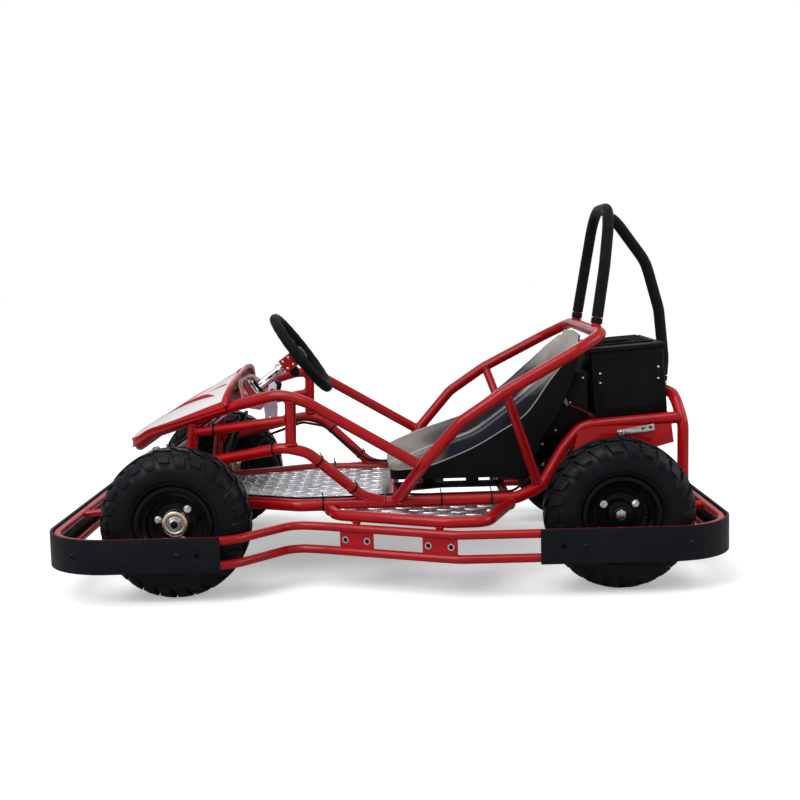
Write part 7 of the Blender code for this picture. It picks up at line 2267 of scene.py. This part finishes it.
@dataclass
class PowerPack:
    """Tray, battery box with its ribbed lid, latches and handle, the pack inside and the controller box."""

    length: float = 0.172
    width: float = 0.3
    height: float = 0.156
    wall: float = 0.004

    def __post_init__(self) -> None:
        """Stand the rack's frame under the box: its underside is at z = 0, tilted with the rack."""
        self.rack = Matrix.Translation((-0.5725, 0.0, 0.346)) @ Matrix.Rotation(radians(3.7), 4, "Y")

    def block(self, name: str, size: Point, centre: Point, bevel: float = 0.002, segments: int = 3) -> Piece:
        """A block square to the rack."""
        return Bench.move(Bench.block(name, size, centre, bevel, segments), self.rack)

    def build_box(self) -> None:
        """The hollow box with its rolled top edge and pressed panels."""
        outer = Bench.block("box", (self.length, self.width, self.height + 0.02), (0.0, 0.0, self.height / 2.0 + 0.01),
            0.006, 4)
        for size, centre in (((self.length - 2.0 * self.wall, self.width - 2.0 * self.wall, self.height + 0.05),
                (0.0, 0.0, self.height / 2.0 + self.wall + 0.025)), ((1.0, 1.0, 0.1), (0.0, 0.0, self.height + 0.05))):
            cutter = Bench.block("cutter", size, centre)
            Bench.modify(outer, "BOOLEAN", operation="DIFFERENCE", object=cutter)
            Bench.drop(cutter)
        Bench.smooth(outer, 35.0)
        parts = [Bench.move(outer, self.rack)]
        for side in (-1.0, 1.0):
            y = side * self.width / 2.0
            parts.append(self.block("band", (self.length - 0.014, 0.0024, 0.01), (0.0, y, self.height - 0.012), 0.001))
            parts.append(self.block("boss", (self.length - 0.044, 0.002, 0.088), (0.0, y, 0.066), 0.0009))
            parts.append(self.block("rail", (0.0024, self.width - 0.014, 0.01), (side * self.length / 2.0, 0.0,
                self.height - 0.012), 0.001))
        unite("power_box", parts, BOX_PLASTIC, "battery_box")
        base = self.height + 0.0003
        lid = [self.block("lid", (self.length + 0.01, self.width + 0.01, 0.0118), (0.0, 0.0, base + 0.006), 0.0034)]
        for index in range(-2, 3):
            lid.append(self.block("rib", (self.length - 0.03, 0.0084, 0.0062), (0.0, index * 0.052, base + 0.0138),
                0.002))
        unite("power_box_lid", lid, BOX_PLASTIC, "battery_lid")
        handle = [self.rack.inverted() @ Vector(spot) for spot in mm((-494, 100, 511), (-520, 100, 520.5),
            (-572, 100, 522), (-594, 100, 513))]
        handle = [Vector((spot.x, 0.078, min(max(spot.z, base + 0.01), base + 0.019))) for spot in handle]
        grip = Bench.move(Bench.tube("lid_handle", handle, 0.0048, sides=16), self.rack)
        seat(grip, SWITCH_PLASTIC)

    def build_trim(self) -> None:
        """Latches, screws, tray and the pack itself."""
        latches, rivets = [], []
        for x, low, high in ((-0.4997, 0.423, 0.453), (-0.6355, 0.431, 0.466)):
            for side in (-1.0, 1.0):
                y = side * 0.1512
                latches.append(Bench.block("latch", (0.016, 0.0036, high - low), (x, y, (low + high) / 2.0), 0.0012))
                latches.append(Bench.block("catch", (0.009, 0.005, 0.01), (x, y, (low + high) / 2.0), 0.0012))
                rivets += [((x, y + side * 0.0014, z), (0.0, side, 0.0)) for z in (low + 0.004, high - 0.004)]
        unite("box_latches", latches, SWITCH_PLASTIC)
        seat(BOLTS.put(BOLTS.dome(0.003, 0.002), rivets, "latch_rivets"), STEEL)
        tray = self.block("tray", (0.188, 2.0 * RACK_Y - 0.026, 0.003), (0.0, 0.0, -0.0018), 0.0008)
        seat(tray, RED, "rack_tray")
        spots = [((self.rack @ Vector((dx, side * 0.163, -0.0004))), UP) for dx in (-0.06, 0.06) for side in (-1.0,
            1.0)]
        seat(BOLTS.put(BOLTS.dome(0.0062, 0.0034), spots, "tray_screws"), STEEL)
        tall = self.height - self.wall - 0.012
        pack = [self.block("pack", (self.length - 0.014, self.width - 0.02, tall), (0.0, 0.0, 0.0044 + tall / 2.0),
            0.003)]
        pack += [self.block("strap", (self.length - 0.0125, 0.022, tall + 0.0012), (0.0, y, 0.0046 + tall / 2.0),
            0.003) for y in (-0.08, 0.08)]
        unite("cell_pack", pack, SEAT_EDGE, "battery_pack")

    def build_controller(self) -> None:
        """The wedge behind the seat with its side covers, screws and its two ears."""
        outline = mm((-471, 303), (-369, 303), (-441, 455), (-471, 455))
        wedge = upright("wedge", outline, 0.296, 0.148, 0.0042)
        parts = [wedge, Bench.block("ears", (0.024, 0.352, 0.0038), (-0.428, 0.0, 0.306), 0.001)]
        for side in (-1.0, 1.0):
            inset = mm((-464, 312), (-384, 312), (-446, 446), (-464, 446))
            parts.append(upright("cover", inset, 0.0018, side * 0.148 + 0.0011, 0.0008))
        unite("controller_case", parts, BOX_PLASTIC, "controller_box")
        spots = [((x, side * 0.1489, z), (0.0, side, 0.0)) for side in (-1.0, 1.0) for x, z in mm((-459, 318),
            (-394, 318), (-459, 440), (-428, 382))]
        seat(BOLTS.put(BOLTS.dome(0.003, 0.0018), spots, "case_screws"), STEEL)

    def build(self) -> None:
        """All of the pack."""
        self.build_box()
        self.build_trim()
        self.build_controller()
        LOG.info("power pack")


@dataclass
class RollBar:
    """The padded hoop behind the rider with its central stay."""

    radius: float = 0.01
    foam: float = 0.0034
    start: float = 0.0175
    hoop: Route = field(default_factory=lambda: Route(whole(mm((-487, 166, 550), (-512, 152, 700), (-531, 118, 834))),
        0.11))
    stay: Route = field(default_factory=lambda: Route(mm((-531, 0, 832), (-567, 0, 802), (-636, 0, 706),
        (-668, 0, 590), (-679, 0, 470), (-673, 0, 397)), 0.12))

    def sleeve(self, route: Route, start: float, end: float) -> list[Piece]:
        """A foam sleeve, and a short collar of it at each end that a bare ring of tube sets off.

        Args:
            route: the padded tube.
            start: where its first collar starts.
            end: how far before the tube's end its last collar ends.

        Returns:
            The sleeve and its collars.
        """
        path = Tubes().clear(route, start + 0.0155, end + 0.0155)
        parts = [Bench.tube("sleeve", path, self.radius + self.foam, sides=28)]
        for end_at, near in ((path[0], path[1]), (path[-1], path[-2])):
            way = (end_at - near).normalized()
            parts.append(Bench.rod("collar", end_at + way * 0.0026, end_at + way * 0.0155, self.radius + self.foam,
                0.0006, 36))
        return parts

    def build(self) -> None:
        """Bars, welds and sleeves."""
        tubes = Tubes()
        hoop, stay = tubes.clear(self.hoop, 0.013, 0.013), tubes.clear(self.stay, 0.008, 0.012)
        bars = [Bench.tube("hoop", hoop, self.radius), Bench.tube("stay", stay, self.radius)]
        unite("roll_hoop", bars, RED, "roll_bar")
        ends = [(hoop[0], hoop[0] - hoop[1], self.radius), (hoop[-1], hoop[-1] - hoop[-2], self.radius),
            (stay[-1], stay[-1] - stay[-2], self.radius)]
        seat(tubes.beads("roll_hoop_welds", ends), RED)
        unite("hoop_padding", self.sleeve(self.hoop, self.start, self.start), FOAM, "roll_bar_foam")
        unite("stay_padding", self.sleeve(self.stay, 0.014, self.start), FOAM, "rear_stay_foam")
        LOG.info("roll bar")


# Cables, ties and switch


@dataclass
class Fittings:
    """Cables and hoses with their ties, the wiring at the controller, and the switch bracket."""

    cable: Route = field(default_factory=lambda: Route(mm((400, 137, 212), (377, 177.5, 189.3), (326.8, 197.6, 189.3),
        (202.8, 252.5, 189.3), (95, 247.5, 189.3), (60, 238.5, 190), (20, 236, 190), (-10, 232, 190),
        (-45, 233.5, 190), (-80, 238.5, 189.3), (-265, 228.4, 189.3), (-285, 227.3, 190.5), (-315, 205, 205),
        (-360, 160, 245), (-430, 135, 275), (-478, 122, 272), (-493, 119, 250)), 0.03))
    hose: Route = field(default_factory=lambda: Route(mm((400, -137, 212), (372, -182, 216), (335, -235, 268),
        (235, -280.5, 298.5), (178, -277.5, 287), (66, -243, 200), (0, -229, 193), (-200, -224, 193),
        (-300, -208, 200), (-352, -180, 235), (-395, -150, 299), (-405, -143, 306)), 0.03))

    def tie(self, at: Point, along: Point, radius: float, tail: Point = (0.0, 0.0, 0.0)) -> list[Piece]:
        """A cable tie: strap, lock and cut tail.

        Args:
            at: middle of the strap.
            along: the direction of the tube that it holds.
            radius: the strap's inner radius.
            tail: where the loose end points, with its length.

        Returns:
            The pieces.
        """
        strap = Bench.lathe("tie", [(radius, -0.0021), (radius + 0.0012, -0.0021), (radius + 0.0012, 0.0021),
            (radius, 0.0021)], 40)
        lock = Bench.block("lock", (0.006, 0.0056, 0.0042), (0.0, 0.0, radius + 0.0022), 0.0008)
        parts = [Bench.move(Bench.join("tie", [strap, lock]), Bench.aim(at, along))]
        if Vector(tail).length:
            start = Bench.aim(at, along) @ Vector((0.0, 0.0, radius + 0.0022))
            parts.append(Bench.rod("tail", start, start + Vector(tail), 0.0013, 0.0, 8))
        return parts

    def build_lines(self) -> None:
        """Brake cable and throttle hose with ferrules and ties."""
        path = self.cable.points()
        seat(Bench.tube("brake_line", path, 0.003, sides=16), HOSE_RUBBER, "brake_cable")
        line = self.hose.points()
        seat(Bench.tube("throttle_line", line, 0.0034, sides=16), HOSE_RUBBER)
        ends = []
        for run, radius in ((path, 0.0042), (line, 0.0046)):
            for first, second in ((run[0], run[1]), (run[-1], run[-2])):
                way = (second - first).normalized()
                ends.append(Bench.rod("ferrule", first, first + way * 0.016, radius, 0.0006, 20))
        unite("line_ferrules", ends, STEEL)
        tubes = Tubes()
        ties = []
        for side in SIDES:
            for x in (0.255, 0.155, 0.08):
                (x0, y0, z0), (x1, y1, z1) = [tuple(tubes.middle.at(x + shift)) for shift in (0.0, 0.004)]
                along = (x1 - x0, side.value * (y1 - y0), z1 - z0)
                ties += self.tie((x0, side.value * y0, z0), along, tubes.rail_radius + 0.0002, (0.004, 0.0, 0.01))
            for x in (0.15, -0.12, -0.235):
                spot = tubes.main.at(x)
                ties += self.tie((spot.x, side.value * spot.y, spot.z), (1.0, 0.0, 0.0), tubes.main_radius + 0.0002,
                    (0.003, 0.0, 0.012))
        spot = tubes.strut.at(0.392)
        ties += self.tie(spot, tubes.strut.at(0.396) - spot, tubes.brace_radius + 0.0002, (0.0, -0.002, -0.03))
        unite("cable_ties", ties, HOSE_RUBBER)
        LOG.info("lines and ties")

    def build_wiring(self) -> None:
        """Short wires from a pale plug down the controller's side."""
        plug = [Bench.move(Bench.block("plug", size, centre, 0.0012), Matrix.Translation((-0.415, 0.154, 0.39))
            @ Matrix.Rotation(0.45, 4, "Y")) for size, centre in (((0.009, 0.007, 0.017), (0.0, 0.0, 0.0)),
            ((0.006, 0.006, 0.008), (0.0, 0.0, -0.011)))]
        unite("controller_plug", plug, SEAT_EDGE)
        for index, finish in enumerate((SWITCH_PLASTIC, RED, HOSE_RUBBER)):
            drop = 0.0045 * index
            points = ((-0.418 - 0.001 * index, 0.153, 0.383), (-0.4356, 0.1565 + 0.001 * index, 0.379 - drop),
                (-0.456, 0.157, 0.37 - drop), (-0.4729, 0.155, 0.36 - drop), (-0.4869, 0.148, 0.35 - drop))
            path = [through(points, step / 32.0) for step in range(33)]
            parts = [Bench.tube("wire", path, 0.0013, sides=10), Bench.rod("crimp", path[20 + 3 * index],
                path[24 + 3 * index], 0.0021, 0.0004, 12)]
            unite(f"controller_wire_{index}", parts, finish)

    def build_switch(self) -> None:
        """The lilac bracket with its rocker switch, key and bolt."""
        y = 0.2645
        outline = mm((277, 403), (268.5, 425), (264, 454), (251.5, 461), (246.2, 452), (249, 422), (245.5, 403),
            (248.5, 370), (259, 365), (274.5, 372))
        plate = upright("switch_plate", outline, 0.003, y, 0.0008, [(0.264, 0.379, 0.0022)])
        seat(plate, LILAC_PAINT, "switch_bracket")
        lean = Matrix.Translation((0.2475, y - 0.012, 0.449)) @ Matrix.Rotation(radians(-24.0), 4, "Y")
        parts = [Bench.move(Bench.block("switch", (0.014, 0.018, 0.024), (0.0, 0.0, 0.0), 0.0022), lean),
            Bench.move(Bench.block("rocker", (0.005, 0.01, 0.015), (-0.008, 0.0, 0.0), 0.0018), lean
            @ Matrix.Rotation(radians(10.0), 4, "Y")), Bench.rod("key", (0.256, y, 0.438), (0.256, y + 0.008, 0.438),
            0.0062, 0.0012)]
        unite("rocker_switch", parts, SWITCH_PLASTIC)
        strut = Tubes().strut.at(0.258)
        bolt = [Bench.rod("bolt", (0.258, y - 0.004, strut.z), (0.258, strut.y - 0.0105, strut.z), 0.0038),
            BOLTS.put(BOLTS.hexagon(0.009, 0.0038, 0.0, 0.0062), [((0.258, y - 0.003, strut.z), (0.0, -1.0, 0.0))],
            "head")]
        unite("switch_bolt", bolt, STEEL)
        LOG.info("switch")

    def build(self) -> None:
        """All small fittings."""
        self.build_lines()
        self.build_wiring()
        self.build_switch()


# Studio


@dataclass
class Studio:
    """A plain pale floor, soft lamps and the camera at the photograph's angle."""

    lens: float = 56.55
    eye: Point = (-0.0394, 3.0815, 0.718)
    floor_lift: float = 0.37
    fill: float = 0.26
    mirrored: float = 0.6
    sun: float = 1.6

    def floor(self) -> None:
        """A wide pale floor that keeps the shadow and reads white to the camera."""
        bpy.ops.object.select_all(action="DESELECT")
        bpy.ops.mesh.primitive_plane_add(size=60.0)
        item = Bench.added("studio_floor")
        sketch = Sketch("studio_floor")
        sketch.set(Roughness=1.0, Emission_Color=(1.0, 1.0, 1.0, 1.0))
        sketch.shader.inputs["Specular IOR Level"].default_value = 0.0
        path = sketch.nodes.new("ShaderNodeLightPath")
        seen = path.outputs["Is Camera Ray"]
        sketch.drive("Base Color", sketch.blend(seen, (0.5, 0.5, 0.5, 1.0), (0.9, 0.9, 0.9, 1.0)))
        sketch.drive("Emission Strength", sketch.band(seen, 0.0, 1.0, 0.0, self.floor_lift))
        item.data.materials.append(sketch.material)

    def lamp(self, name: str, place: Point, target: Point, size: float, power: float) -> None:
        """A square soft lamp.

        Args:
            name: the lamp's name.
            place: where it hangs.
            target: what it points at.
            size: side of the square.
            power: its power in watts.
        """
        data = bpy.data.lights.new(name, "AREA")
        data.shape = "SQUARE"
        data.size = size
        data.energy = power
        lamp = bpy.data.objects.new(name, data)
        bpy.context.scene.collection.objects.link(lamp)
        lamp.location = place
        lamp.rotation_euler = (Vector(target) - Vector(place)).to_track_quat("-Z", "Y").to_euler()

    def sky(self) -> None:
        """A white surround for the camera and mirrors, and a plain fill for the rest."""
        world = bpy.data.worlds.new("studio_sky")
        bpy.context.scene.world = world
        world.use_nodes = True
        nodes, links = world.node_tree.nodes, world.node_tree.links
        back = nodes["Background"]
        back.inputs["Color"].default_value = (1.0, 1.0, 1.0, 1.0)
        path = nodes.new("ShaderNodeLightPath")
        seen = nodes.new("ShaderNodeMath")
        seen.operation = "MAXIMUM"
        links.new(path.outputs["Is Camera Ray"], seen.inputs[0])
        links.new(path.outputs["Is Transmission Ray"], seen.inputs[1])
        value = path.outputs["Is Glossy Ray"]
        for low, high, share in ((self.fill, self.mirrored, value), (None, 1.0, seen.outputs[0])):
            level = nodes.new("ShaderNodeMapRange")
            if low is None:
                links.new(value, level.inputs["To Min"])
            else:
                level.inputs["To Min"].default_value = low
            level.inputs["To Max"].default_value = high
            links.new(share, level.inputs["Value"])
            value = level.outputs["Result"]
        links.new(value, back.inputs["Strength"])

    def camera(self) -> None:
        """The camera as it stood for the photograph."""
        data = bpy.data.cameras.new("camera")
        data.lens = self.lens
        data.sensor_width = 36.0
        item = bpy.data.objects.new("camera", data)
        bpy.context.scene.collection.objects.link(item)
        right = Vector((-0.99969, -0.00044, -0.0251))
        up = Vector((-0.02491, -0.10831, 0.9938))
        ahead = Vector((0.00315, -0.99412, -0.10826))
        turn = Matrix((right, up, -ahead)).transposed().to_4x4()
        item.matrix_world = Matrix.Translation(self.eye) @ turn
        bpy.context.scene.camera = item

    def build(self) -> None:
        """Floor, sky, lamps and camera."""
        self.camera()
        self.floor()
        self.sky()
        data = bpy.data.lights.new("soft_sun", "SUN")
        data.energy = self.sun
        data.angle = radians(50.0)
        sun = bpy.data.objects.new("soft_sun", data)
        bpy.context.scene.collection.objects.link(sun)
        sun.rotation_euler = (radians(-22.0), radians(14.0), 0.0)
        self.lamp("key_lamp", (1.8, 2.6, 2.2), (0.0, 0.0, 0.2), 1.6, 40.0)
        self.lamp("edge_lamp", (-2.6, 0.6, 1.6), (0.0, 0.0, 0.3), 1.4, 18.0)
        self.lamp("back_lamp", (0.2, -2.8, 2.2), (0.0, 0.0, 0.3), 2.0, 16.0)
        bpy.context.scene.view_settings.view_transform = "Standard"


def write_sizes() -> None:
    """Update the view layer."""
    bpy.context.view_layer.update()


def main() -> None:
    """Build every sub-assembly in order."""
    logging.basicConfig(level=logging.INFO, format="%(message)s")
    Studio().build()
    for assembly in (Tubes(), RINGS, WheelSet(), TreadPlates(), Bucket(), Nose(), Steering(), Pedals(), RearDrive(),
            PowerPack(), RollBar(), Fittings()):
        assembly.build()
    BOLTS.empty()
    write_sizes()


if __name__ == "__main__":
    main()
